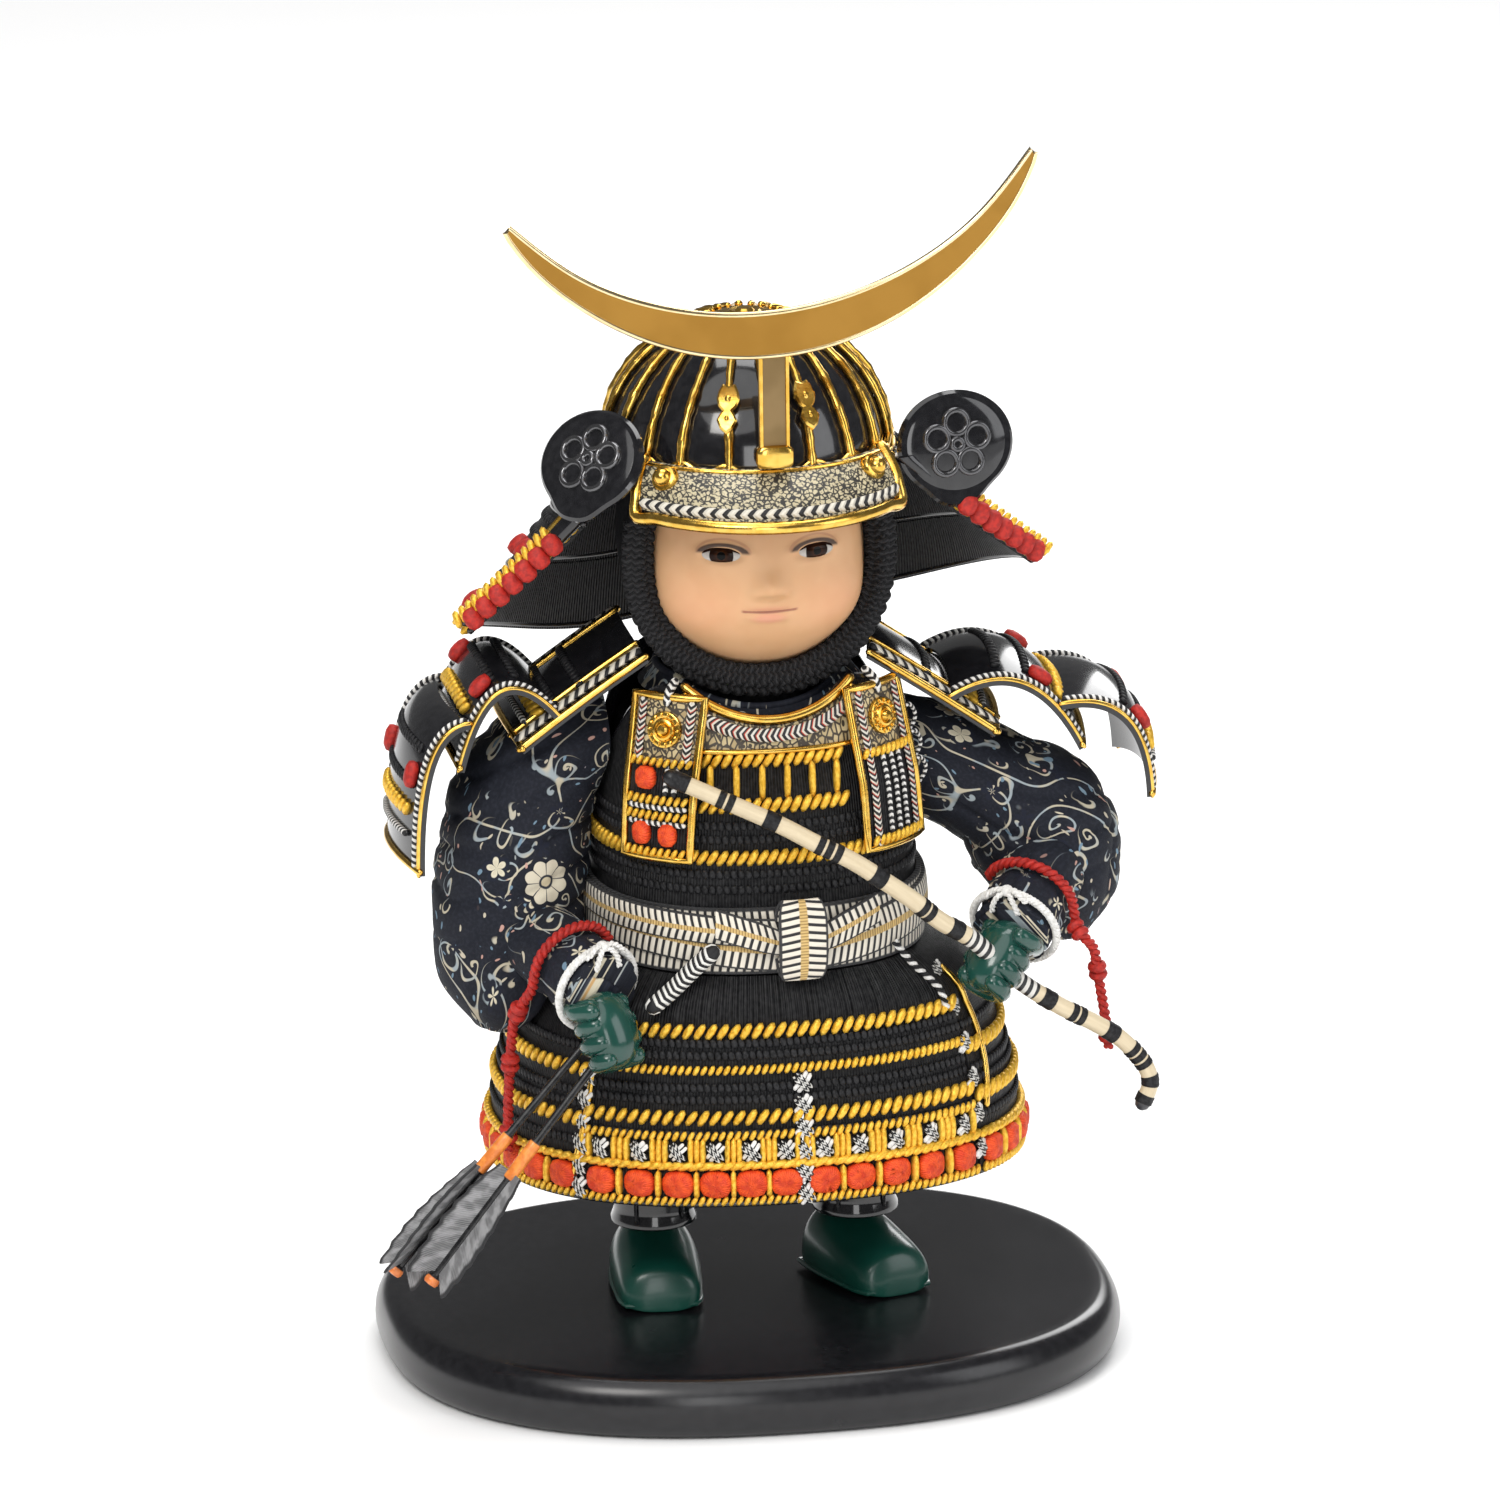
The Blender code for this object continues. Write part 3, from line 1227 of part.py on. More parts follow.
def build_crest_holder():
    # upright bar in front of the bowl, its foot reaching back to the bowl's band
    front = crest_y() + CREST_THICK + GAP
    back = front + 2.6 * MM
    low = HELMET + BAND_HEIGHT + 1.5 * MM
    lift = math.degrees(math.asin((low - HELMET) / BOWL_HEIGHT))
    foot = bowl_spot(0.0, lift, 2 * GAP + RIB_THICK + 0.3 * MM).y
    outline = [(front, low), (foot, low), (foot, low + 4.0 * MM), (back, low + 5.5 * MM),
               (back, low + HOLDER_HEIGHT), (front, low + HOLDER_HEIGHT)]
    mesh = curve_to_mesh(flat_outline("crest_holder", outline, HOLDER_WIDTH), "crest_holder")
    made = place_object("crest_holder", mesh, "satin_gold", smooth_angle=0.0)
    # the outline's own X runs along the doll's Y
    made.rotation_euler = (math.radians(90), 0.0, math.radians(90))
    return made


def build_crest():
    # crescent between two arcs through the same tips
    half = CREST_SPAN / 2
    outer_sag = CREST_RISE
    inner_sag = CREST_RISE - CREST_WIDTH
    outer_radius = (half**2 + outer_sag**2) / (2 * outer_sag)
    inner_radius = (half**2 + inner_sag**2) / (2 * inner_sag)
    tip = 1.2 * MM
    steps = 20
    outline = []
    for i in range(steps + 1):
        x = -half + CREST_SPAN * i / steps
        z = outer_radius - math.sqrt(outer_radius**2 - x**2)
        outline.append((x, z - (tip if i in (0, steps) else 0.0)))
    for i in range(steps + 1):
        x = half - CREST_SPAN * i / steps
        z = CREST_WIDTH + inner_radius - math.sqrt(inner_radius**2 - x**2)
        outline.append((x, z + (tip if i in (0, steps) else 0.0)))
    mesh = curve_to_mesh(flat_outline("crest", outline, CREST_THICK), "crest")
    mesh.transform(Matrix.Rotation(math.radians(CREST_TILT), 4, "Z"))
    made = place_object("crest", mesh, "satin_gold")
    made.rotation_euler = (math.radians(90), 0.0, 0.0)
    made.location = (CREST_SHIFT, crest_y() + CREST_THICK / 2, HELMET + BOWL_HEIGHT + CREST_LIFT)
    return made


def add_studs(visor):
    # large flower studs at the visor's corners
    profile = [(0.0, 3.4 * MM), (1.9 * MM, 2.7 * MM), (2.3 * MM, 1.3 * MM), (3.4 * MM, 1.0 * MM),
               (3.5 * MM, -0.8 * MM), (0.0, -0.8 * MM)]
    stud = turned_mesh("stud", profile, 14)
    meshes = []
    for side in (-1, 1):
        angle = side * 40.5
        here = visor_spot(angle, 0.74, PLATE_THICK)
        normal = Vector((math.sin(math.radians(angle)), -math.cos(math.radians(angle)), 0.55)).normalized()
        turn = normal.to_track_quat("Z", "Y").to_matrix().to_4x4()
        meshes.append((stud, Matrix.Translation(here) @ turn))
    return cut(visor, place_cutter("studs", merged("studs", meshes)), "UNION")


def add_drops(ribs):
    # a gilt drop ornament on the rib at each side of the crest's holder
    shape = [(0.0, -6.5 * MM), (2.6 * MM, -3.0 * MM), (1.3 * MM, -0.5 * MM), (2.9 * MM, 2.5 * MM),
             (1.6 * MM, 6.5 * MM), (-1.6 * MM, 6.5 * MM), (-2.9 * MM, 2.5 * MM), (-1.3 * MM, -0.5 * MM),
             (-2.6 * MM, -3.0 * MM)]
    drop = curve_to_mesh(flat_outline("drop", shape, 1.0 * MM), "drop")
    meshes = []
    for side in (-1, 1):
        angle = side * 360.0 / RIB_COUNT
        lift = 30.0
        here = bowl_spot(angle, lift, GAP + RIB_THICK * 0.85)
        up = (bowl_spot(angle, lift + 3.0, 0.0) - bowl_spot(angle, lift - 3.0, 0.0)).normalized()
        side_way = Vector((math.cos(math.radians(angle)), math.sin(math.radians(angle)), 0.0))
        normal = side_way.cross(up).normalized()
        frame = Matrix((side_way, up, normal)).transposed().to_4x4()
        meshes.append((drop, Matrix.Translation(here) @ frame))
    return cut(ribs, place_cutter("drops", merged("drops", meshes)), "UNION")


def neck_guard_edge(angle, share):
    # share 0 at the bowl, 1 at the lowest edge; angle from the front
    around = abs((angle + 180.0) % 360.0 - 180.0)
    side = math.sin(math.radians(angle))
    start_width = BOWL_WIDTH / 2 + 3.0 * MM
    start_depth = BOWL_DEPTH / 2 + 3.0 * MM
    width = start_width + (NECK_GUARD_SPREAD - start_width) * share
    depth = start_depth + (NECK_GUARD_BACK - start_depth) * share
    back = max(0.0, min(1.0, (around - 80.0) / 70.0))
    back = back * back * (3 - 2 * back)
    spot = oval(angle, width, depth, BOWL_FORWARD, 2.0)
    spot.z = (HELMET + 0.4 * MM - NECK_GUARD_DROP * share
              - NECK_GUARD_BACK_DROP * back * share + NECK_GUARD_LEAN * side * share)
    return spot


def build_neck_guard():
    # laced rows, each lower one starting just inside the upper one's edge
    step = 1.0 / NECK_GUARD_ROWS
    for row in range(NECK_GUARD_ROWS):
        high = row * step
        low = high + step - 0.007

        def spot(s, t, high=high, low=low):
            share = low + (high - low) * t
            first = 60.0 + 26.0 * share
            angle = first + (360.0 - 2 * first) * s
            return neck_guard_edge(angle, share)
        sheet("neck_guard_row_%d" % (row + 1), spot, 22, 1, LAME_THICK, "black_cord")


def build_flap(name, turn, lean, centre):
    # rounded ear of the turn-back with a short stem towards the neck guard
    outline = []
    for i in range(24):
        angle = 2 * math.pi * i / 24
        x = FLAP_WIDTH / 2 * math.cos(angle)
        y = FLAP_HEIGHT / 2 * math.sin(angle)
        if -2.2 < angle - 2 * math.pi * (angle > math.pi) < -0.94:
            y -= 3.0 * MM
        outline.append((x, y))
    mesh = curve_to_mesh(flat_outline(name, outline, FLAP_THICK), name)
    made = place_object(name, mesh, "black_lacquer")
    frame = Matrix.Translation(centre) @ facing(turn) @ Matrix.Rotation(math.radians(lean), 4, "X")
    made.matrix_local = frame
    # family blossom: five round petals and a small centre, raised on the plate
    for i in range(6):
        radius = BLOSSOM_RADIUS if i else BLOSSOM_RADIUS * 0.45
        bm = bmesh.new()
        bmesh.ops.create_cone(bm, cap_ends=True, segments=12, radius1=radius, radius2=radius * 0.9,
                              depth=1.6 * MM)
        petal = place_cutter("%s_petal_%d" % (name, i), mesh_from(bm, "petal"))
        away = BLOSSOM_RADIUS * 1.82 if i else 0.0
        angle = math.radians(90 + 72 * i)
        spot = Vector((away * math.cos(angle), away * math.sin(angle), FLAP_THICK / 2))
        petal.matrix_local = frame @ Matrix.Translation(spot)
        cut(made, petal, "UNION")
    return made


def build_flaps():
    half = BOWL_WIDTH / 2
    build_flap("flap_right", FLAP_TURN_RIGHT, FLAP_LEAN_RIGHT,
               Vector((-half - 8.0 * MM, -25.0 * MM, HELMET + 3.5 * MM)))
    build_flap("flap_left", FLAP_TURN_LEFT, FLAP_LEAN_LEFT,
               Vector((half + 16.8 * MM, -22.7 * MM, HELMET + 2.4 * MM)))


BOW_ROUTE = ((-31.2, -50, 60.1), (-16.2, -54, 53.4), (-1.0, -57, 46.3), (9.1, -59.5, 40.8), (19.4, -61, 35.4),
             (29.8, -61, 28.0), (37.9, -60, 21.7), (45.9, -58, 14.6), (55.9, -55, 7.4), (69.7, -52, -6.4),
             (81.7, -50, -15.3), (92.7, -48, -22.0), (101.0, -46, -28.1), (107.6, -45, -35.9),
             (109.7, -45, -42.1), (107.5, -45, -48.0))


def bow_points():
    return [Vector((x * MM, y * MM, WAIST + z * MM)) for x, y, z in BOW_ROUTE]


def build_bow():
    points = smooth_route(bow_points(), 26)
    return tube("bow", points, BOW_RADIUS, "bamboo")


def bow_room():
    points = smooth_route(bow_points(), 26)
    return place_cutter("bow_room", tube_mesh("bow_room", points[11:19], BOW_RADIUS + 0.4 * MM))


ARROW_LINES = (((-50.5, -55.0, -8.0), (-115.9, -59.0, -81.4)), ((-45.5, -58.0, -9.0), (-106.0, -64.0, -83.5)))


def arrow_ends(index):
    return [Vector((x * MM, y * MM, WAIST + z * MM)) for x, y, z in ARROW_LINES[index]]


def arrow_room():
    bm = bmesh.new()
    for i in range(2):
        head, nock = arrow_ends(i)
        ahead = head + (head - nock).normalized() * 1.0 * MM
        mesh = tube_mesh("room", [ahead, nock], ARROW_RADIUS + 0.35 * MM, 12)
        bm.from_mesh(mesh)
    return place_cutter("arrow_room", mesh_from(bm, "arrow_room"))


def build_arrows():
    for i in range(2):
        head, nock = arrow_ends(i)
        way = (nock - head).normalized()
        span = (nock - head).length
        profile = [(0.0, 0.0), (ARROW_RADIUS, 0.0), (ARROW_RADIUS, -span * 0.46), (ARROW_BAND_RADIUS, -span * 0.47),
                   (ARROW_BAND_RADIUS, -span * 0.6), (ARROW_RADIUS, -span * 0.61), (ARROW_RADIUS, -span * 0.965),
                   (ARROW_BAND_RADIUS * 1.2, -span * 0.975), (ARROW_BAND_RADIUS * 1.2, -span), (0.0, -span)]
        shaft = turned_mesh("arrow_%d" % (i + 1), profile, 10)
        frame = Matrix.Translation(head) @ (-way).to_track_quat("Z", "Y").to_matrix().to_4x4()
        shaft.transform(frame)
        arrow = place_object("arrow_%d" % (i + 1), shaft, "black_lacquer")
        serrations = 5
        low = -span * 0.955
        outline = [(0.0, 0.0), (0.0, FEATHER_LENGTH)]
        for k in range(serrations * 2 + 1):
            share = k / (serrations * 2)
            along = FEATHER_LENGTH * (1.0 - share)
            body = math.sin(math.pi * min(1.0, 0.12 + share * 0.62)) ** 0.7
            out = FEATHER_WIDTH * body * (1.0 if k % 2 else 0.86)
            outline.append((out, along - 5.0 * MM * share))
        vane = curve_to_mesh(flat_outline("vane", outline, FEATHER_THICK), "vane")
        for k in range(3):
            turn = Matrix.Rotation(math.radians(120.0 * k + 20.0 + 60.0 * i), 4, "Z")
            lift = Matrix.Translation(Vector((ARROW_RADIUS * 0.6, 0.0, low)))
            stand = Matrix.Rotation(math.radians(90), 4, "X")
            blade = vane.copy()
            blade.transform(frame @ turn @ lift @ stand)
            cut(arrow, place_cutter("arrow_%d_vane_%d" % (i + 1, k + 1), blade), "UNION")


def main():
    build_base()
    build_boot("boot_right", -1, BOOT_SPLAY_RIGHT)
    build_boot("boot_left", 1, BOOT_SPLAY_LEFT)
    build_shin("shin_guard_right", -1)
    build_shin("shin_guard_left", 1)
    build_body()
    build_robe_collar()
    build_chest_lacing(build_cuirass())
    build_chest_plate()
    build_neckline_rim()
    add_rosette(build_breast_guard("breast_guard_right", -1, 0.0), -1)
    add_rosette(build_breast_guard("breast_guard_left", 1, 4.0 * MM), 1)
    build_sash()
    build_sash_knot()
    build_sash_cord()
    build_skirt()
    clearance = torso_clearance()
    bow_gap = bow_room()
    arrow_gap = arrow_room()
    ends = {side: build_arm(side, clearance, bow_gap, arrow_gap) for side in (-1, 1)}
    build_cuff_cords(ends)
    build_sleeve_cords(ends)
    build_shoulder_guards()
    build_head()
    build_eyes()
    build_hood()
    build_chin_cord()
    build_bowl()
    add_drops(build_ribs())
    add_studs(build_visor())
    build_visor_rim()
    build_crest_holder()
    build_crest()
    build_neck_guard()
    build_flaps()
    build_bow()
    build_arrows()
    bpy.context.view_layer.update()


main()
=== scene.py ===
import math
import random
from math import cos, exp, pi, radians, sin, sqrt

import bmesh
import bpy
from mathutils import Matrix, Vector, noise

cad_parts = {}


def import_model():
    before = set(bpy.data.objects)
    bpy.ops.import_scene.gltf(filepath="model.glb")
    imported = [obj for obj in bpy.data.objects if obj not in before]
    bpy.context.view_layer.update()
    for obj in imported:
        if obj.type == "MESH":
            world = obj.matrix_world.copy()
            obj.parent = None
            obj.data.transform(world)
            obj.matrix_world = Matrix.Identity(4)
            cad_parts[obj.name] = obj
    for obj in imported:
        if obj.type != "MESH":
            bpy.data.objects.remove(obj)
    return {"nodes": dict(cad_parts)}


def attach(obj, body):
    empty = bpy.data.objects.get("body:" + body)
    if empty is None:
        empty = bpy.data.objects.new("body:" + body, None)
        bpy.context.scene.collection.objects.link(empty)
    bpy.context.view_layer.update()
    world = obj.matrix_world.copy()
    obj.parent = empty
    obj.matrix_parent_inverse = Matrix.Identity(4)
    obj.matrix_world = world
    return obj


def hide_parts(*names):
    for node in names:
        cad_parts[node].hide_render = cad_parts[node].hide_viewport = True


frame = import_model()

# all drawing below is in millimetres from the middle of the base's top; world() places it
gap = 0.3
baseTop = 18.0
stand = Vector((2.5, 0, baseTop))
waist, helmet, headCentre, shoulder, hem = 109.3, 254.4, 228.1, 173.3, 44.3
chestTop = waist + 84
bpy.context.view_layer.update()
scene = bpy.context.scene


def world(spot):
    return (Vector(spot) + stand) * 0.001


def trace(count, spot):
    return [spot(k / count) for k in range(count + 1)]


def outward(spot, *place):
    return (spot(*place, 1) - spot(*place, 0)).normalized()


def oval(angle, halfWidth, halfDepth, forward=0.0, power=2.0, z=0.0):
    side, front = sin(radians(angle)), cos(radians(angle))
    reach = (abs(side / halfWidth) ** power + abs(front / halfDepth) ** power) ** (-1 / power)
    return Vector((reach * side, -forward - reach * front, z))


def wrapped(angle):
    return (angle + 180) % 360 - 180


def torsoHalf(z):
    stations = ((waist, 48, 48.5), (waist + 20, 47, 46.33), (waist + 52.08, 45, 42), (chestTop, 39, 34))
    for (low, a, b), (high, c, d) in zip(stations, stations[1:]):
        if z <= high:
            t = max(0.0, (z - low) / (high - low))
            return a + (c - a) * t, b + (d - b) * t
    return 39, 34


def torsoSpot(angle, z, out=0.0):
    a, b = torsoHalf(z)
    return oval(angle, a + out, b + out, 3, 2.3, z)


def skirtHalf(z):
    drop = max(0.0, waist - z)
    if drop < 15:
        t = sin(pi / 2 * drop / 15)
        return 49 + 17 * t, 49.5 + 6.5 * t
    t = 1 - (1 - min(1.0, (drop - 15) / 50)) ** 2
    return 66 + 11.5 * t, 56 + 6 * t


def skirtSpot(angle, z, out=0.0):
    a, b = skirtHalf(z)
    return oval(angle, a + out, b + out, 2, 2.3, z)


def headSpot(angle, lift, out=0.0):
    a, l = radians(angle), radians(lift)
    way = Vector((sin(a) * cos(l), -cos(a) * cos(l), sin(l)))
    half = (33, 36, 38)
    spot = way * sum(abs(w / h) ** 2.15 for w, h in zip(way, half)) ** (-1 / 2.15)
    slope = Vector([c / h ** 2 for c, h in zip(spot, half)]).normalized()
    return spot + slope * out + Vector((0, -6, headCentre))


def bowlSpot(angle, lift, out=0.0):
    a, l = radians(angle), radians(lift)
    return Vector(((40.7 + out) * sin(a) * cos(l), -2 - (43 + out) * cos(a) * cos(l), helmet + (39 + out) * sin(l)))


def visorSpot(angle, share, out=0.0):
    a, flare = radians(angle), 1 - share
    reach = 1.9 + out + sin(pi * share) * 1.5
    return Vector(((40.7 + reach + 4.5 * flare) * sin(a), -2 - (43 + reach + 15 * flare) * cos(a),
                   helmet + 4.5 - 11.5 * flare))


def neckline(angle):
    return waist + 71.5 + 10 * min(1.0, abs(angle) / 40) ** 2


def cuirassTop(angle):
    around = abs(wrapped(angle))
    return neckline(around) - 30 * exp(-((around - 92) / 24) ** 2)


def sashDip(angle):
    return 5 * exp(-((wrapped(angle) - 5.5) / 38) ** 2)


def neckGuardEdge(angle, share):
    back = min(1.0, max(0.0, (abs(wrapped(angle)) - 80) / 70))
    back = back * back * (3 - 2 * back)
    z = helmet + 0.4 - 44 * share - 20 * back * share + 6 * sin(radians(angle)) * share
    return oval(angle, 43.7 + 40.3 * share, 46 + 16 * share, 2, z=z)


def armSpot(side, step):
    return Vector((side * (39 + step[0]), step[1], shoulder + step[2]))


def lengthOf(route):
    return sum((b - a).length for a, b in zip(route, route[1:]))


def smoothRoute(points, count):
    # evenly spaced places on a smooth curve through the points
    spots = [Vector(p) for p in points]
    chain = [spots[0] * 2 - spots[1]] + spots + [spots[-1] * 2 - spots[-2]]
    dense = []
    for i in range(1, len(chain) - 2):
        a, b, c, d = chain[i - 1:i + 3]
        for k in range(16):
            t = k / 16
            dense.append(0.5 * (2 * b + (c - a) * t + (2 * a - 5 * b + 4 * c - d) * t ** 2
                                + (3 * b - a - 3 * c + d) * t ** 3))
    dense.append(spots[-1])
    lengths = [0.0]
    for a, b in zip(dense, dense[1:]):
        lengths.append(lengths[-1] + (b - a).length)
    route, k = [], 0
    for i in range(count):
        goal = lengths[-1] * i / (count - 1)
        while k < len(lengths) - 2 and lengths[k + 1] < goal:
            k += 1
        span = max(lengths[k + 1] - lengths[k], 1e-9)
        route.append(dense[k].lerp(dense[k + 1], min(1.0, (goal - lengths[k]) / span)))
    return route


# camera and light
def placed(name, data):
    made = bpy.data.objects.new(name, data)
    scene.collection.objects.link(made)
    return made


studio = dict(
    eye=(-0.7082, -4.2719, 1.432), target=(0.0015, -0.008, 0.182), right=(0.98569, -0.16817, -0.01148), lens=372,
    lights=(("key", (-0.9, -1.3, 1.5), (0.7, 0.7), 13, (1, 0.97, 0.93)),
            ("fill", (1.4, -1.0, 0.8), (0.9, 1.1), 7, (0.97, 0.98, 1)),
            ("front", (-0.2, -1.9, 0.5), (0.5, 0.8), 4.5, (1, 1, 1)),
            ("top", (0.1, 0.3, 1.5), (0.9, 0.6), 8, (1, 1, 1)),
            ("rim", (0.7, 1.1, 0.9), (0.5, 0.9), 8, (1, 1, 1))))


def placeCamera():
    eye, right = Vector(studio["eye"]), Vector(studio["right"])
    forward = (Vector(studio["target"]) - eye).normalized()
    right = (right - forward * right.dot(forward)).normalized()
    turn = Matrix((right, right.cross(forward), -forward)).transposed().to_4x4()
    lens = bpy.data.cameras.new("view")
    lens.lens = studio["lens"]
    lens.sensor_width = 36
    lens.clip_end = 50
    scene.camera = placed("view", lens)
    scene.camera.matrix_world = Matrix.Translation(eye) @ turn


def placeLights():
    for name, place, size, power, tone in studio["lights"]:
        light = bpy.data.lights.new(name, "AREA")
        light.shape = "RECTANGLE"
        light.size, light.size_y = size
        light.energy = power
        light.color = tone
        made = placed(name, light)
        made.location = place
        made.rotation_euler = (Vector((0, 0, 0.2)) - Vector(place)).to_track_quat("-Z", "Y").to_euler()
    light = bpy.data.lights.new("sky_light", "SUN")
    light.energy = 1.2
    light.angle = radians(60)
    placed("sky_light", light).rotation_euler = (radians(28), radians(-14), 0)


placeCamera()
placeLights()


# node helpers
def add(tree, kind, inputs=None, **values):
    made = tree.nodes.new(kind)
    for name, value in values.items():
        setattr(made, name, value)
    for key, value in (inputs or {}).items():
        if isinstance(value, Wire):
            tree.links.new(value.socket, made.inputs[key])
        else:
            made.inputs[key].default_value = value
    return made


def wire(tree, kind, inputs=None, output=0, **values):
    return Wire(tree, add(tree, kind, inputs, **values).outputs[output])


class Wire:
    # a value in a node tree; each sum or product of wires adds a math node
    def __init__(self, tree, socket):
        self.tree, self.socket = tree, socket

    def math(self, operation, *others):
        return wire(self.tree, "ShaderNodeMath", dict(enumerate((self, *others))), operation=operation)

    def __add__(self, other):
        return self.math("ADD", other)

    def __sub__(self, other):
        return self.math("SUBTRACT", other)

    def __mul__(self, other):
        return self.math("MULTIPLY", other)

    def __truediv__(self, other):
        return self.math("DIVIDE", other)

    def __abs__(self):
        return self.math("ABSOLUTE")

    def vector(self, operation, other):
        inputs = {0: self, 3 if operation == "SCALE" else 1: other}
        return wire(self.tree, "ShaderNodeVectorMath", inputs, operation=operation)

    def split(self, kind="XYZ"):
        return [Wire(self.tree, socket) for socket in add(self.tree, "ShaderNodeSeparate" + kind, {0: self}).outputs]

    def step(self, low, high):
        # smooth 0..1 as the value goes from low to high
        return wire(self.tree, "ShaderNodeMapRange", {"Value": self, "From Min": low, "From Max": high},
                    interpolation_type="SMOOTHSTEP")

    def blend(self, a, b):
        # colour a where the value is 0 and b where it is 1
        a, b = (tone if isinstance(tone, Wire) else (*tone, 1) for tone in (a, b))
        return wire(self.tree, "ShaderNodeMix", {0: self, 6: a, 7: b}, 2, data_type="RGBA")

    def noise(self, scale, detail=2.0, distort=0.0, output=0):
        inputs = {"Vector": self, "Scale": scale, "Detail": detail, "Distortion": distort}
        return wire(self.tree, "ShaderNodeTexNoise", inputs, output)

    def cells(self, scale, randomness=1.0):
        made = add(self.tree, "ShaderNodeTexVoronoi", {"Vector": self, "Scale": scale, "Randomness": randomness})
        return [Wire(self.tree, made.outputs[name]) for name in ("Distance", "Color", "Position")]

    def edges(self, scale):
        return wire(self.tree, "ShaderNodeTexVoronoi", {"Vector": self, "Scale": scale}, "Distance",
                    feature="DISTANCE_TO_EDGE")

    def saw(self, pitch):
        return (self / pitch).math("FRACT")

    def ridge(self, pitch):
        # 0 at the edges of each pitch and 1 in its middle
        return (self.saw(pitch) * pi).math("SINE")


def uvParts(tree):
    return wire(tree, "ShaderNodeUVMap", uv_map="UVMap").split()[:2]


def joined(x, y):
    return wire(x.tree, "ShaderNodeCombineXYZ", {0: x, 1: y})


def reachFrom(u, v, middleU=0.0, middleV=0.0, halfU=1.0, halfV=1.0):
    x, y = (u - middleU) / halfU, (v - middleV) / halfV
    return (x * x + y * y).math("SQRT")


def grain(scale, detail=2.0):
    return lambda tree: wire(tree, "ShaderNodeTexCoord", output="Object").noise(scale, detail)


def mottled(dark, light, scale=400.0):
    return lambda tree: grain(scale)(tree).step(0.35, 0.65).blend(dark, light)


def roughened(low, high, scale=60.0):
    return lambda tree: wire(tree, "ShaderNodeMapRange",
                             {"Value": grain(scale, 3)(tree), "To Min": low, "To Max": high})


def chevron(tree, pitch, arms, slope):
    # slanted bands that meet along the braid's middle
    u, v = uvParts(tree)
    return (u + abs(v.saw(1 / arms) - 0.5) * slope).saw(pitch)


def chevronPaint(pitch, arms, slope, tones):
    # tones: (upper limit, colour) in growing order
    def made(tree):
        place = chevron(tree, pitch, arms, slope)
        colour = tones[0][1]
        for (limit, _), (_, tone) in zip(tones, tones[1:]):
            colour = place.step(limit - 0.03, limit + 0.03).blend(colour, tone)
        return colour
    return made


def chevronHeight(pitch, arms, slope):
    return lambda tree: (chevron(tree, pitch / 2, arms, slope) * pi).math("SINE")


def threads(pitch):
    return lambda tree: uvParts(tree)[0].ridge(pitch)


def weave(pitch):
    def made(tree):
        u, v = uvParts(tree)
        return (u + v).ridge(pitch) * (u - v).ridge(pitch)
    return made


def finish(name, colour, height=None, depth=0.2, strength=0.5, rough=0.4, metal=0.0, **sockets):
    # colour, height and rough may be functions of the material's own tree
    made = bpy.data.materials.new(name)
    made.use_nodes = True
    tree = made.node_tree
    inputs = tree.nodes["Principled BSDF"].inputs
    if height:
        sockets["Normal"] = lambda tree: wire(tree, "ShaderNodeBump", {"Strength": strength, "Distance": depth * 0.001,
                                                                       "Height": height(tree)})
    for key, value in dict(sockets, Base_Color=colour, Roughness=rough, Metallic=metal).items():
        socket = inputs[key.replace("_", " ")]
        if callable(value):
            tree.links.new(value(tree).socket, socket)
        else:
            socket.default_value = value
    return made


# paints
navy, ink, soot = (0.01, 0.013, 0.026), (0.03, 0.035, 0.05), (0.014, 0.014, 0.016)


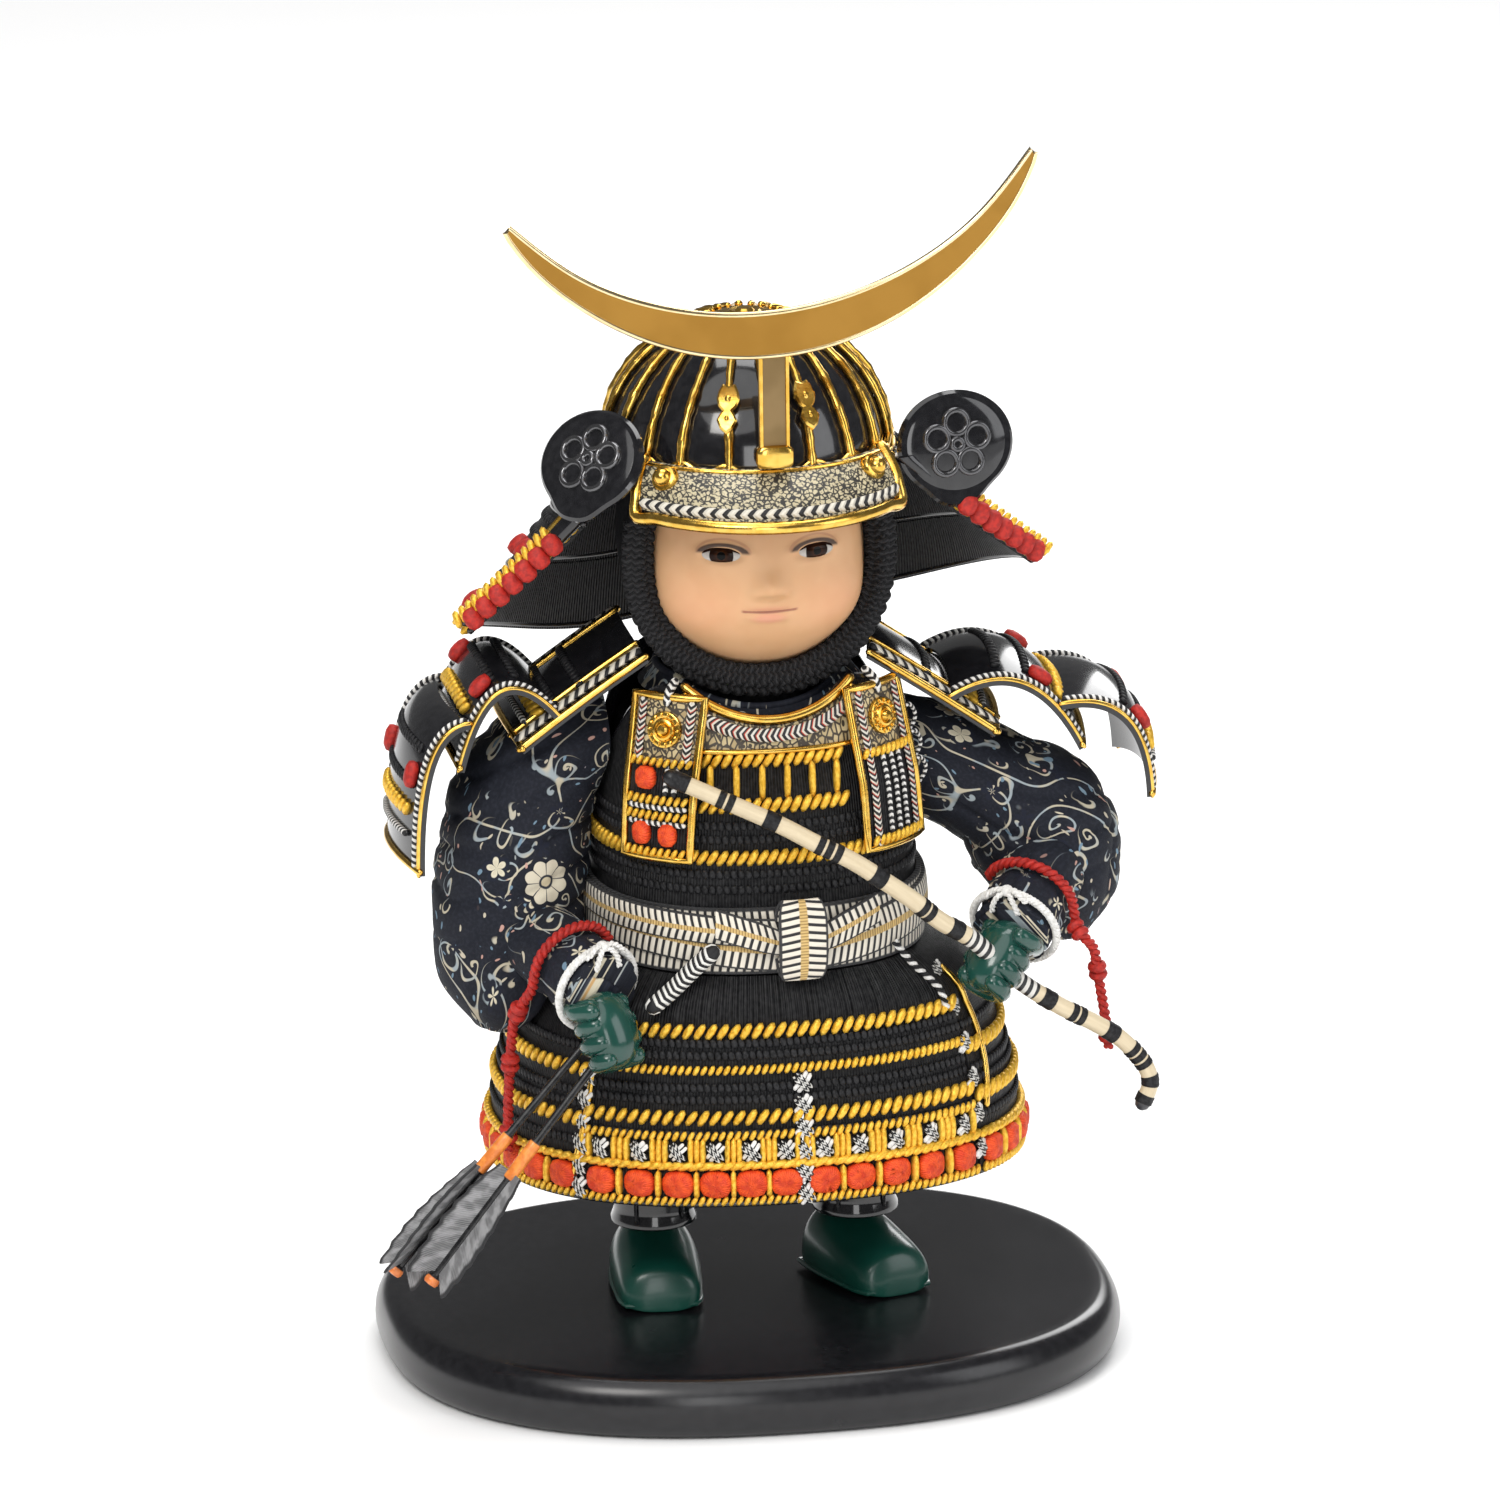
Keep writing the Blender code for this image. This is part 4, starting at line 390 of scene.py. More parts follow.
def brocadePaint(tree):
    # thin scrolling stems, curled leaves and outlined blossoms on navy black cloth
    u, v = uvParts(tree)
    flat = joined(u, v)
    drift = flat.noise(0.11, 0, output="Color").vector("SUBTRACT", (0.5, 0.5, 0.5))
    bent = flat.vector("ADD", drift.vector("SCALE", 7.0))
    colour = flat.noise(0.9).step(0.4, 0.7).blend((0.008, 0.010, 0.017), (0.015, 0.018, 0.028))

    def around(vector, scale, randomness):
        distance, shade, centre = vector.cells(scale, randomness)
        x, y, z = vector.vector("SUBTRACT", centre).split()
        return y.math("ARCTAN2", x), distance / scale, shade.split("Color")
    # stems: a spiral round each scattered point, so that they curl up in their middles
    turn, reach, pick = around(bent, 0.098, 0.8)
    line = abs((reach + turn * (3.0 / (2 * pi))).saw(3.0) - 0.5)
    wander = abs((flat.noise(0.05, 0) * 2.6).saw(1.0) - 0.5)
    stem = (line.step(0.15, 0.085) * reach.step(4.9, 4.3)).math("MAXIMUM", wander.step(0.026, 0.014))
    tone = flat.noise(0.16, 1).step(0.45, 0.6).blend((0.62, 0.56, 0.42), (0.38, 0.44, 0.47))
    colour = (stem * 0.9).blend(colour, tone)
    # small curled leaves between them
    slant = wire(tree, "ShaderNodeMapping", {"Vector": bent, "Rotation": (0, 0, 0.7), "Scale": (0.31, 0.165, 1)})
    distance, shade, centre = slant.cells(1.0, 0.9)
    pick = shade.split("Color")
    tone = pick[1].step(0.5, 0.55).blend((0.58, 0.52, 0.40), (0.17, 0.27, 0.36))
    tone = pick[2].step(0.74, 0.78).blend(tone, (0.58, 0.34, 0.28))
    colour = (distance.step(0.25, 0.2) * pick[0].step(0.55, 0.57)).blend(colour, tone)
    # blossoms: five outlined lobes
    turn, reach, pick = around(flat, 0.066, 0.6)
    lobes = abs((turn * 2.5).math("COSINE"))
    beyond = reach - (lobes * 1.5 + 2.6)
    shown = pick[0].step(0.20, 0.22)
    colour = (beyond.step(1.5, 1.1) * shown).blend(colour, navy)
    inner = pick[1].step(0.45, 0.5).blend((0.42, 0.36, 0.26), (0.66, 0.60, 0.45))
    tone = beyond.step(-0.5, -0.75).blend((0.74, 0.68, 0.52), inner)
    tone = (lobes.step(0.2, 0.08) * reach.step(1.1, 1.5)).blend(tone, ink)
    tone = reach.step(1.25, 0.95).blend(tone, (0.60, 0.36, 0.14))
    colour = (beyond.step(0.2, -0.1) * shown).blend(colour, tone)
    # one large square flower on the front of the right sleeve
    x, y, z = wire(tree, "ShaderNodeTexCoord", output="Object").vector("SCALE", 1000.0).split()
    x, z = x + 62.0, z - 151.8
    reach = reachFrom(x, z)
    lobes = abs((z.math("ARCTAN2", x) * 4).math("SINE"))
    beyond = reach - (lobes * 1.3 + 5.4)
    front = y.step(-12, -14)
    colour = (beyond.step(1.6, 1.3) * front).blend(colour, (0.01, 0.012, 0.02))
    tone = lobes.step(0.16, 0.08).blend((0.70, 0.64, 0.50), ink)
    tone = reach.step(2.4, 2.1).blend(tone, ink)
    tone = reach.step(1.7, 1.4).blend(tone, (0.72, 0.62, 0.42))
    colour = (beyond.step(0.1, -0.1) * front).blend(colour, tone)
    return (weave(0.42)(tree) * 0.25).blend(colour, (0.0, 0.0, 0.01))


def leatherPaint(tree):
    # printed leather: cells with dark edges, some of them filled
    flat, mark = joined(*uvParts(tree)), (0.045, 0.035, 0.025)
    distance, shade, centre = flat.cells(0.55)
    pick = shade.split("Color")
    colour = pick[0].blend((0.56, 0.46, 0.26), (0.36, 0.27, 0.13))
    colour = (distance.step(0.34, 0.26) * pick[1].step(0.7, 0.72)).blend(colour, mark)
    return flat.edges(0.55).step(0.16, 0.072).blend(colour, mark)


def visorPaint(tree):
    # crackled net of dark strokes on beige
    flat = joined(*uvParts(tree))
    bent = flat.vector("ADD", flat.noise(0.7, 1, output="Color"))
    net = bent.edges(0.66).step(0.19, 0.10) * flat.noise(0.5, 1).step(0.32, 0.42)
    colour = flat.noise(0.12).blend((0.42, 0.35, 0.20), (0.60, 0.54, 0.37))
    colour = flat.noise(1.3, 2, 2.0).step(0.60, 0.64).blend(colour, (0.06, 0.05, 0.035))
    return net.blend(colour, (0.022, 0.02, 0.018))


def sashHeight(tree):
    u, v = uvParts(tree)
    return (u + abs(v - 0.5) * 2.4).ridge(2.3)


def sashPaint(tree):
    # white ribs with black gaps across the band and a gold line along its middle
    u, v = uvParts(tree)
    tint = joined(u, v).noise(1.5).blend((0.60, 0.55, 0.46), (0.78, 0.73, 0.63))
    colour = sashHeight(tree).step(0.50, 0.68).blend((0.012, 0.012, 0.014), tint)
    gold = u.ridge(0.9).blend((0.24, 0.14, 0.04), (0.62, 0.43, 0.16))
    middle = abs(v - 0.5)
    return middle.step(0.44, 0.47).blend(middle.step(0.1, 0.07).blend(colour, gold), (0.02, 0.02, 0.022))


def bowPaint(tree):
    # pale wood with groups of dark bindings; u is the length in mm
    u, v = uvParts(tree)
    colour = joined(u * 0.08, v * 14).noise(1.0, 3).blend((0.50, 0.40, 0.25), (0.72, 0.62, 0.44))
    dark = u.ridge(0.7).blend((0.008, 0.008, 0.01), (0.04, 0.04, 0.045))
    for middle, half in bowSet["bands"]:
        colour = abs(u - middle).step(half + 0.15, half - 0.15).blend(colour, dark)
    low, high = bowSet["grip"]
    grip = chevronPaint(2.6, 1, 2.6, ((0.5, (0.015, 0.015, 0.017)), (1, (0.62, 0.6, 0.56))))(tree)
    return (u.step(low, low + 0.3) * u.step(high + 0.3, high)).blend(colour, grip)


def barbs(tree):
    # u runs along the vane, v across it from the shaft
    u, v = uvParts(tree)
    return (u + v * 5.0).ridge(0.8)


def featherPaint(tree):
    u, v = uvParts(tree)
    colour = joined(u, v * 5.0).noise(0.25).step(0.42, 0.62).blend((0.06, 0.06, 0.063), (0.26, 0.26, 0.265))
    colour = (barbs(tree) * 0.45).blend(colour, (0.36, 0.36, 0.365))
    return v.step(0.80, 0.93).blend(colour, (0.025, 0.025, 0.027))


def shaftPaint(tree):
    # an orange band near the middle and an orange nock
    u, v = uvParts(tree)
    orange = mottled((0.62, 0.17, 0.03), (0.8, 0.27, 0.05))(tree)
    colour = mottled((0.006, 0.006, 0.007), (0.02, 0.02, 0.021))(tree)
    colour = (u.step(0.465, 0.47) * u.step(0.605, 0.6)).blend(colour, orange)
    return u.step(0.972, 0.976).blend(colour, mottled((0.6, 0.16, 0.04), (0.78, 0.25, 0.07))(tree))


faceSet = dict(
    eyeTurn=22.0, eyeLift=5.8, mouthLift=-22.4, curve=0.006,
    # soft patches: middle, half sizes, softness, colour and strength
    patches=((-33, -20, 16, 12, 0.9, (0.72, 0.31, 0.17), 0.3), (33, -20, 16, 12, 0.9, (0.72, 0.31, 0.17), 0.3),
             (0, -20.6, 10.0, 1.8, 0.6, (0.62, 0.28, 0.17), 0.6), (0, -25.2, 7.6, 2.5, 0.6, (0.66, 0.29, 0.19), 0.75)),
    # lash line and fold over the eye: half sizes, colour, strength and width
    lids=((10.9, 4.8, (0.035, 0.015, 0.01), 0.95, 0.26), (13.0, 7.6, (0.46, 0.22, 0.12), 0.6, 0.09)))


def facePaint(tree):
    # u is the angle from the front and v the lift, both in degrees
    u, v = uvParts(tree)
    colour = mottled((0.62, 0.35, 0.175), (0.655, 0.38, 0.197), 90)(tree)
    for x, y, wide, high, soft, tone, share in faceSet["patches"]:
        near = reachFrom(u, v, x, y, wide, high).step(1 + soft, 1 - soft)
        colour = (near * share).blend(colour, tone)
    # mouth line, raised at both ends
    line = abs(v - (u * u * faceSet["curve"] + faceSet["mouthLift"]))
    colour = (line.step(0.95, 0.35) * abs(u).step(14.5, 12.5) * 0.85).blend(colour, (0.30, 0.10, 0.06))
    for side in (-1, 1):
        for wide, high, tone, share, ring in faceSet["lids"]:
            reach = reachFrom(u, v, side * faceSet["eyeTurn"], faceSet["eyeLift"], wide, high)
            upper = ((v - faceSet["eyeLift"]) / high).step(0.0, 0.35)
            colour = (abs(reach - 1).step(ring, ring * 0.4) * upper * share).blend(colour, tone)
    return colour


def eyePaint(tree):
    # u, v in mm from the middle of the eye
    u, v = uvParts(tree)
    reach = reachFrom(u, v)
    iris = reach.step(0.6, 2.6).blend((0.045, 0.014, 0.005), (0.014, 0.005, 0.003))
    iris = reach.step(1.35, 1.15).blend(iris, (0.003, 0.003, 0.003))
    colour = reach.step(3.45, 3.65).blend(iris, mottled((0.42, 0.39, 0.36), (0.5, 0.47, 0.44))(tree))
    return (v - (u * u * -0.045 + 1.75)).step(-0.15, 0.15).blend(colour, (0.02, 0.008, 0.006))


bowPoints = ((-31.2, -50, 60.1), (-16.2, -54, 53.4), (-1.0, -57, 46.3), (9.1, -59.5, 40.8), (19.4, -61, 35.4),
             (29.8, -61, 28.0), (37.9, -60, 21.7), (45.9, -58, 14.6), (55.9, -55, 7.4), (69.7, -52, -6.4),
             (81.7, -50, -15.3), (92.7, -48, -22.0), (101.0, -46, -28.1), (107.6, -45, -35.9),
             (109.7, -45, -42.1), (107.5, -45, -48.0))
bowRoute = smoothRoute([(x, y, z + waist) for x, y, z in bowPoints], 100)
bowLength = lengthOf(bowRoute)
# bindings: share of the length and half width
bowBands = ((0.0, 5.5), (0.085, 1.0), (0.10, 1.0), (0.17, 2.2), (0.255, 1.0), (0.27, 1.0), (0.285, 1.0),
            (0.36, 2.2), (0.45, 1.0), (0.465, 1.0), (0.52, 2.2), (0.725, 2.2), (0.775, 1.0), (0.79, 1.0),
            (0.85, 2.2), (0.90, 1.0), (0.915, 1.0), (0.93, 1.0), (0.962, 1.6), (1.0, 2.6))
bowSet = dict(grip=(0.545 * bowLength, 0.70 * bowLength), bands=[(s * bowLength, half) for s, half in bowBands])


def makePaints():
    lacquer = mottled((0.006, 0.006, 0.0075), (0.012, 0.012, 0.014))
    knit, twist, speck, pale = (1.7, 10, 1.3), (1.9, 1, 1.9), (1.9, 2, 2.6), (0.66, 0.63, 0.56)
    visorBraid, braid = (3.6, 2, 3.6), (3.3, 2, 3.2)
    return dict(
        lacquer=finish("black_lacquer", lacquer, grain(22, 1), 0.1, 0.06, roughened(0.08, 0.15),
                       Coat_Weight=0.5, Coat_Roughness=0.05),
        satinLacquer=finish("lacquered_wood", mottled((0.006, 0.006, 0.0075), (0.011, 0.011, 0.013)),
                            grain(900), 0.05, 0.1, roughened(0.2, 0.3, 40)),
        ring=finish("black_ring", mottled((0.11, 0.11, 0.115), (0.15, 0.15, 0.155), 60), grain(300, 1),
                    0.05, 0.1, roughened(0.1, 0.18), 0.85),
        gilt=finish("gilt", mottled((0.74, 0.43, 0.07), (0.88, 0.57, 0.13), 260), grain(700),
                    0.12, 0.35, roughened(0.14, 0.28, 300), 1.0),
        giltThread=finish("gilt_thread", mottled((0.76, 0.42, 0.028), (0.95, 0.60, 0.08), 900), grain(2600),
                          0.25, 0.7, roughened(0.3, 0.5, 900), 0.6),
        satinGold=finish("satin_gold", mottled((0.33, 0.165, 0.022), (0.38, 0.195, 0.03), 60), grain(1500),
                         0.05, 0.25, roughened(0.38, 0.46, 50), 0.7),
        polished=finish("polished_gold", mottled((0.84, 0.66, 0.36), (0.92, 0.75, 0.45), 200), grain(500),
                        0.05, 0.2, roughened(0.12, 0.2, 200), 1.0),
        holder=finish("holder_metal", mottled((0.21, 0.14, 0.06), (0.26, 0.175, 0.08), 80), grain(1400),
                      0.05, 0.3, roughened(0.36, 0.46, 90), 0.8),
        enamel=finish("green_enamel", mottled((0.006, 0.048, 0.036), (0.009, 0.062, 0.047), 40), grain(30, 1),
                      0.3, 0.05, roughened(0.16, 0.24), Coat_Weight=0.4, Coat_Roughness=0.06),
        boot=finish("boot_enamel", mottled((0.004, 0.050, 0.036), (0.007, 0.066, 0.048), 40), grain(260),
                    0.1, 0.15, roughened(0.24, 0.34), Coat_Weight=0.2, Coat_Roughness=0.12),
        brocade=finish("brocade", brocadePaint, weave(0.42), 0.15, 0.5, 0.75, Specular_IOR_Level=0.3),
        cloth=finish("black_cloth", mottled((0.01, 0.01, 0.012), (0.02, 0.02, 0.022), 600), weave(0.5),
                     0.12, 0.4, 0.85, Specular_IOR_Level=0.2),
        plainCloth=finish("hood_cloth", mottled((0.008, 0.008, 0.01), (0.016, 0.016, 0.018), 700), weave(0.9),
                          0.15, 0.4, 0.8, Specular_IOR_Level=0.2),
        knit=finish("knitted_cord", chevronPaint(*knit, ((0.45, (0.006, 0.006, 0.007)), (1, (0.022, 0.022, 0.024)))),
                    chevronHeight(*knit), 0.35, 0.9, 0.8, Specular_IOR_Level=0.3),
        threads=finish("black_threads", mottled((0.006, 0.006, 0.007), (0.017, 0.017, 0.018), 700), threads(0.92),
                       0.35, 0.9, roughened(0.38, 0.55, 500), Specular_IOR_Level=0.22),
        plate=finish("plate_lacquer", lacquer, grain(60), 0.15, 0.12, roughened(0.12, 0.22),
                     Coat_Weight=0.3, Coat_Roughness=0.08),
        red=finish("red_cord", mottled((0.30, 0.006, 0.003), (0.46, 0.014, 0.006), 700), grain(1500), 0.3, 0.6, 0.62),
        puff=finish("red_bundle", mottled((0.66, 0.040, 0.004), (0.86, 0.085, 0.008), 500), threads(0.8),
                    0.3, 0.7, 0.6),
        white=finish("white_cord", mottled((0.62, 0.61, 0.58), (0.78, 0.77, 0.75), 900), grain(2400),
                     0.2, 0.5, 0.7, Sheen_Weight=0.2),
        blackThread=finish("black_thread", mottled((0.007, 0.007, 0.008), (0.02, 0.02, 0.022), 900), grain(2400),
                           0.2, 0.5, 0.5, Specular_IOR_Level=0.25),
        visorBraid=finish("visor_braid", chevronPaint(*visorBraid, ((0.42, soot), (1, (0.66, 0.62, 0.53)))),
                          chevronHeight(*visorBraid), 0.4, 0.9, 0.6),
        skin=finish("skin", facePaint, grain(1200), 0.04, 0.15, roughened(0.48, 0.56, 120),
                    Subsurface_Weight=0.08, Subsurface_Scale=0.002),
        eye=finish("eye_glass", eyePaint, rough=0.1, Specular_IOR_Level=0.12),
        leather=finish("leather_print", leatherPaint, grain(800), 0.1, 0.25, 0.5),
        visor=finish("visor_print", visorPaint, grain(900), 0.08, 0.2, 0.42, Coat_Weight=0.15, Coat_Roughness=0.2),
        braid=finish("braid", chevronPaint(*braid, ((0.30, soot), (0.52, pale), (0.70, soot),
                                                    (0.80, (0.42, 0.03, 0.012)), (1, (0.62, 0.57, 0.47)))),
                     chevronHeight(*braid), 0.35, 0.8, 0.65),
        twist=finish("twisted_cord", chevronPaint(*twist, ((0.5, soot), (1, (0.72, 0.71, 0.68)))),
                     chevronHeight(*twist), 0.3, 0.8, 0.65),
        speckled=finish("speckled_cord", chevronPaint(*speck, ((0.5, (0.010, 0.010, 0.012)), (1, (0.76, 0.75, 0.71)))),
                        chevronHeight(*speck), 0.35, 0.9, 0.68),
        sash=finish("striped_sash", sashPaint, sashHeight, 0.3, 0.8, 0.68, Sheen_Weight=0.1),
        bow=finish("bamboo", bowPaint, threads(0.7), 0.06, 0.3, roughened(0.3, 0.45, 90)),
        shaft=finish("arrow_shaft", shaftPaint, grain(300, 1), 0.05, 0.1, roughened(0.2, 0.3)),
        feather=finish("arrow_vane", featherPaint, barbs, 0.15, 0.7, 0.75),
        floor=finish("floor", mottled((0.955, 0.955, 0.955), (0.965, 0.965, 0.965), 2), rough=0.9))


paint = makePaints()


# mesh building
def framesAlong(route, closed=False, outs=None):
    # each place with the way ahead and two directions across it
    last, up, frames = len(route) - 1, None, []
    for i, spot in enumerate(route):
        if closed:
            ahead = (route[(i + 1) % len(route)] - route[i - 1]).normalized()
        else:
            ahead = (route[min(i + 1, last)] - route[max(i - 1, 0)]).normalized()
        if outs:
            up = Vector(outs[i])
        elif up is None:
            up = Vector((0, 0, 1)) if abs(ahead.z) < 0.9 else Vector((0, 1, 0))
        up = (up - ahead * up.dot(ahead)).normalized()
        frames.append((spot, ahead, up, up.cross(ahead)))
    return frames


def circle(radius, count, z=0.0, turn=0.0):
    angles = [turn + 2 * pi * k / count for k in range(count)]
    return [Vector((radius * cos(a), radius * sin(a), z)) for a in angles]


def evenUv(wide, high, across, along):
    return [[(i * across, j * along) for i in range(wide + 1)] for j in range(high)]


class Shape:
    def __init__(self):
        self.points, self.faces, self.uvs, self.looks, self.order = [], [], [], [], []

    def face(self, corners, uvs, look):
        if look not in self.order:
            self.order.append(look)
        self.faces.append(corners)
        self.uvs.append(uvs)
        self.looks.append(self.order.index(look))

    def lattice(self, rows, uvs, look, closed=False, caps=False):
        first, wide = len(self.points), len(rows[0])
        for row in rows:
            self.points.extend(Vector(p) for p in row)
        for j in range(len(rows) - 1):
            for i in range(wide if closed else wide - 1):
                k = (i + 1) % wide
                a, b = first + j * wide, first + (j + 1) * wide
                self.face((a + i, a + k, b + k, b + i),
                          (uvs[j][i], uvs[j][i + 1], uvs[j + 1][i + 1], uvs[j + 1][i]), look)
        if caps:
            for j in (0, len(rows) - 1):
                ring = [first + j * wide + i for i in range(wide)]
                self.face(tuple(ring if j else ring[::-1]), [uvs[j][i] for i in range(wide)], look)
        return first

    def sheet(self, spot, cols, rows, thick, look, seam=False, unitV=False):
        # spot(s, t, out) is the outer surface at out 0; u and v are lengths unless unitV
        wide = cols if seam else cols + 1
        lengths = []
        for middle in (trace(cols, lambda s: spot(s, 0.5, 0.0)), trace(rows, lambda t: spot(0.5, t, 0.0))):
            marks = [0.0]
            for a, b in zip(middle, middle[1:]):
                marks.append(marks[-1] + (b - a).length)
            lengths.append(marks)
        uvs = [[(u, j / rows if unitV else lengths[1][j]) for u in lengths[0]] for j in range(rows + 1)]
        a, b = (self.lattice([[spot(i / cols, j / rows, out) for i in range(wide)] for j in range(rows + 1)],
                             uvs, look, seam) for out in (0.0, -thick))
        for i in range(wide if seam else wide - 1):
            k = (i + 1) % wide
            for j in (0, rows):
                n = j * wide
                self.face((a + n + i, a + n + k, b + n + k, b + n + i),
                          (uvs[j][i], uvs[j][i + 1], uvs[j][i + 1], uvs[j][i]), look)
        if not seam:
            for j in range(rows):
                for i in (0, wide - 1):
                    n, m = j * wide + i, (j + 1) * wide + i
                    self.face((a + n, a + m, b + m, b + n), (uvs[j][i], uvs[j + 1][i], uvs[j + 1][i], uvs[j][i]), look)
        return self

    def tube(self, route, radius, look, sides=10, closed=False, flat=1.0, outs=None, rounded=True, bump=None):
        # u is the length in mm and v goes once round; radius may be a function of the share
        route = [Vector(p) for p in route]
        last, frames, marks = len(route) - 1, framesAlong(route, closed, outs), [0.0]
        for a, b in zip(route, route[1:]):
            marks.append(marks[-1] + (b - a).length)
        total = marks[-1] or 1.0
        stations = [(i, 1.0, 0.0, marks[i]) for i in range(len(route))]
        if rounded and not closed:
            stations = ([(0, s, -o, 0.0) for s, o in ((0.35, 0.95), (0.78, 0.62))] + stations
                        + [(last, s, o, total) for s, o in ((0.78, 0.62), (0.35, 0.95))])
        rings, uvs = [], []
        for i, size, shift, mark in stations:
            spot, ahead, up, cross = frames[i]
            r = radius(marks[i] / total) if callable(radius) else radius
            ring = []
            for k in range(sides):
                turn = 2 * pi * k / sides
                push = r * size + (bump(mark, k / sides) if bump and size == 1.0 else 0.0)
                ring.append(spot + ahead * shift * r * flat + up * cos(turn) * push * flat + cross * sin(turn) * push)
            rings.append(ring)
            uvs.append([(mark, k / sides) for k in range(sides + 1)])
        if closed:
            rings.append(rings[0])
            uvs.append([(total + (route[-1] - route[0]).length, k / sides) for k in range(sides + 1)])
        first = self.lattice(rings, uvs, look, True, not closed)
        if closed:
            # the last ring is the first again
            shift = first + len(route) * sides
            self.faces = [tuple(first + c - shift if c >= shift else c for c in f) for f in self.faces]
            del self.points[shift:]
        return self

    def rope(self, route, radius, looks, turn=4.0, sides=6):
        # strands wound round the route, one look each
        total = lengthOf(route)
        frames = framesAlong(smoothRoute(route, max(8, int(total / turn * 8))))
        for k, look in enumerate(looks):
            path = []
            for i, (spot, ahead, up, cross) in enumerate(frames):
                angle = 2 * pi * (total * i / (len(frames) - 1) / turn + k / len(looks))
                path.append(spot + (up * cos(angle) + cross * sin(angle)) * radius * 0.48)
            self.tube(path, radius * 0.56, look, sides)
        return self

    def lathe(self, profile, look, sides=32, place=Matrix()):
        # profile: (radius, height) from the foot's axis to the top's
        rings, uvs, run = [], [], 0.0
        for n, (r, z) in enumerate(profile):
            run += math.dist(profile[n - 1], (r, z)) if n else 0.0
            rings.append([place @ p for p in circle(max(r, 0.001), sides, z)])
            uvs.append([(2 * pi * r * k / sides, run) for k in range(sides + 1)])
        self.lattice(rings, uvs, look, True, True)
        return self

    def blob(self, half, look, place=Matrix(), power=2.0, sides=16, rings=8, pull=None):
        rows, uvs = [], []
        for j in range(rings + 1):
            lift = -pi / 2 + pi * j / rings
            row = []
            for way in circle(0.002 if j in (0, rings) else cos(lift), sides, sin(lift)):
                reach = sum(abs(c) ** power for c in way) ** (-1 / power)
                spot = Vector([c * h for c, h in zip(way, half)]) * reach
                row.append(place @ (pull(spot) if pull else spot))
            rows.append(row)
            uvs.append([(i / sides * 6 * half[0], j / rings * 3 * half[2]) for i in range(sides + 1)])
        self.lattice(rows, uvs, look, True, True)
        return self

    def plate(self, outline, thick, look, place=Matrix(), bevel=0.3, edgeLook=None):
        # flat outline with chamfered edges, its front at +thick/2
        count = len(outline)
        if sum(a[0] * b[1] - b[0] * a[1] for a, b in zip(outline[-1:] + outline, outline)) < 0:
            outline = outline[::-1]
        inset = []
        for i, (x, y) in enumerate(outline):
            a, b = outline[i - 1], outline[(i + 1) % count]
            way = Vector((y - a[1], a[0] - x)).normalized() + Vector((b[1] - y, x - b[0])).normalized()
            way = way / max(0.5, way.length_squared / 2)
            inset.append((x - way.x * bevel, y - way.y * bevel))
        edge = thick / 2
        levels = ((inset, -edge), (outline, -edge + bevel), (outline, edge - bevel), (inset, edge))
        rows = [[place @ Vector((x, y, z)) for x, y in ring] for ring, z in levels]
        uvs = [[(x, y) for x, y in ring] + [ring[0]] for ring, z in levels]
        first = self.lattice(rows[:2], uvs[:2], edgeLook or look, True)
        self.face(tuple(first + i for i in range(count))[::-1], uvs[0][:count][::-1], look)
        middle = self.lattice(rows[1:], uvs[1:], edgeLook or look, True)
        self.face(tuple(middle + 2 * count + i for i in range(count)), uvs[3][:count], look)
        return self

    def mesh(self, name, local=False, angle=40):
        made = bpy.data.meshes.new(name)
        made.from_pydata([(p * 0.001 if local else world(p)) for p in self.points], [], self.faces)
        layer = made.uv_layers.new(name="UVMap")
        for corner, uv in zip(layer.data, (uv for uvs in self.uvs for uv in uvs)):
            corner.uv = uv
        for look in self.order:
            made.materials.append(paint[look])
        made.polygons.foreach_set("material_index", self.looks)
        bm = bmesh.new()
        bm.from_mesh(made)
        bmesh.ops.remove_doubles(bm, verts=bm.verts, dist=0.0000002)
        bmesh.ops.recalc_face_normals(bm, faces=bm.faces)
        bm.to_mesh(made)
        bm.free()
        made.polygons.foreach_set("use_smooth", [True] * len(made.polygons))
        made.set_sharp_from_angle(angle=radians(angle))
        return made

    def make(self, name, slot, *nodes, angle=40, subsurf=0):
        made = placed(name, self.mesh(name, False, angle))
        if subsurf:
            smooth = made.modifiers.new("smooth", "SUBSURF")
            smooth.levels = smooth.render_levels = subsurf
        return put(made, slot, *nodes)


def put(made, slot, *nodes):
    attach(made, "root")
    if nodes:
        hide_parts(*nodes)
    return made


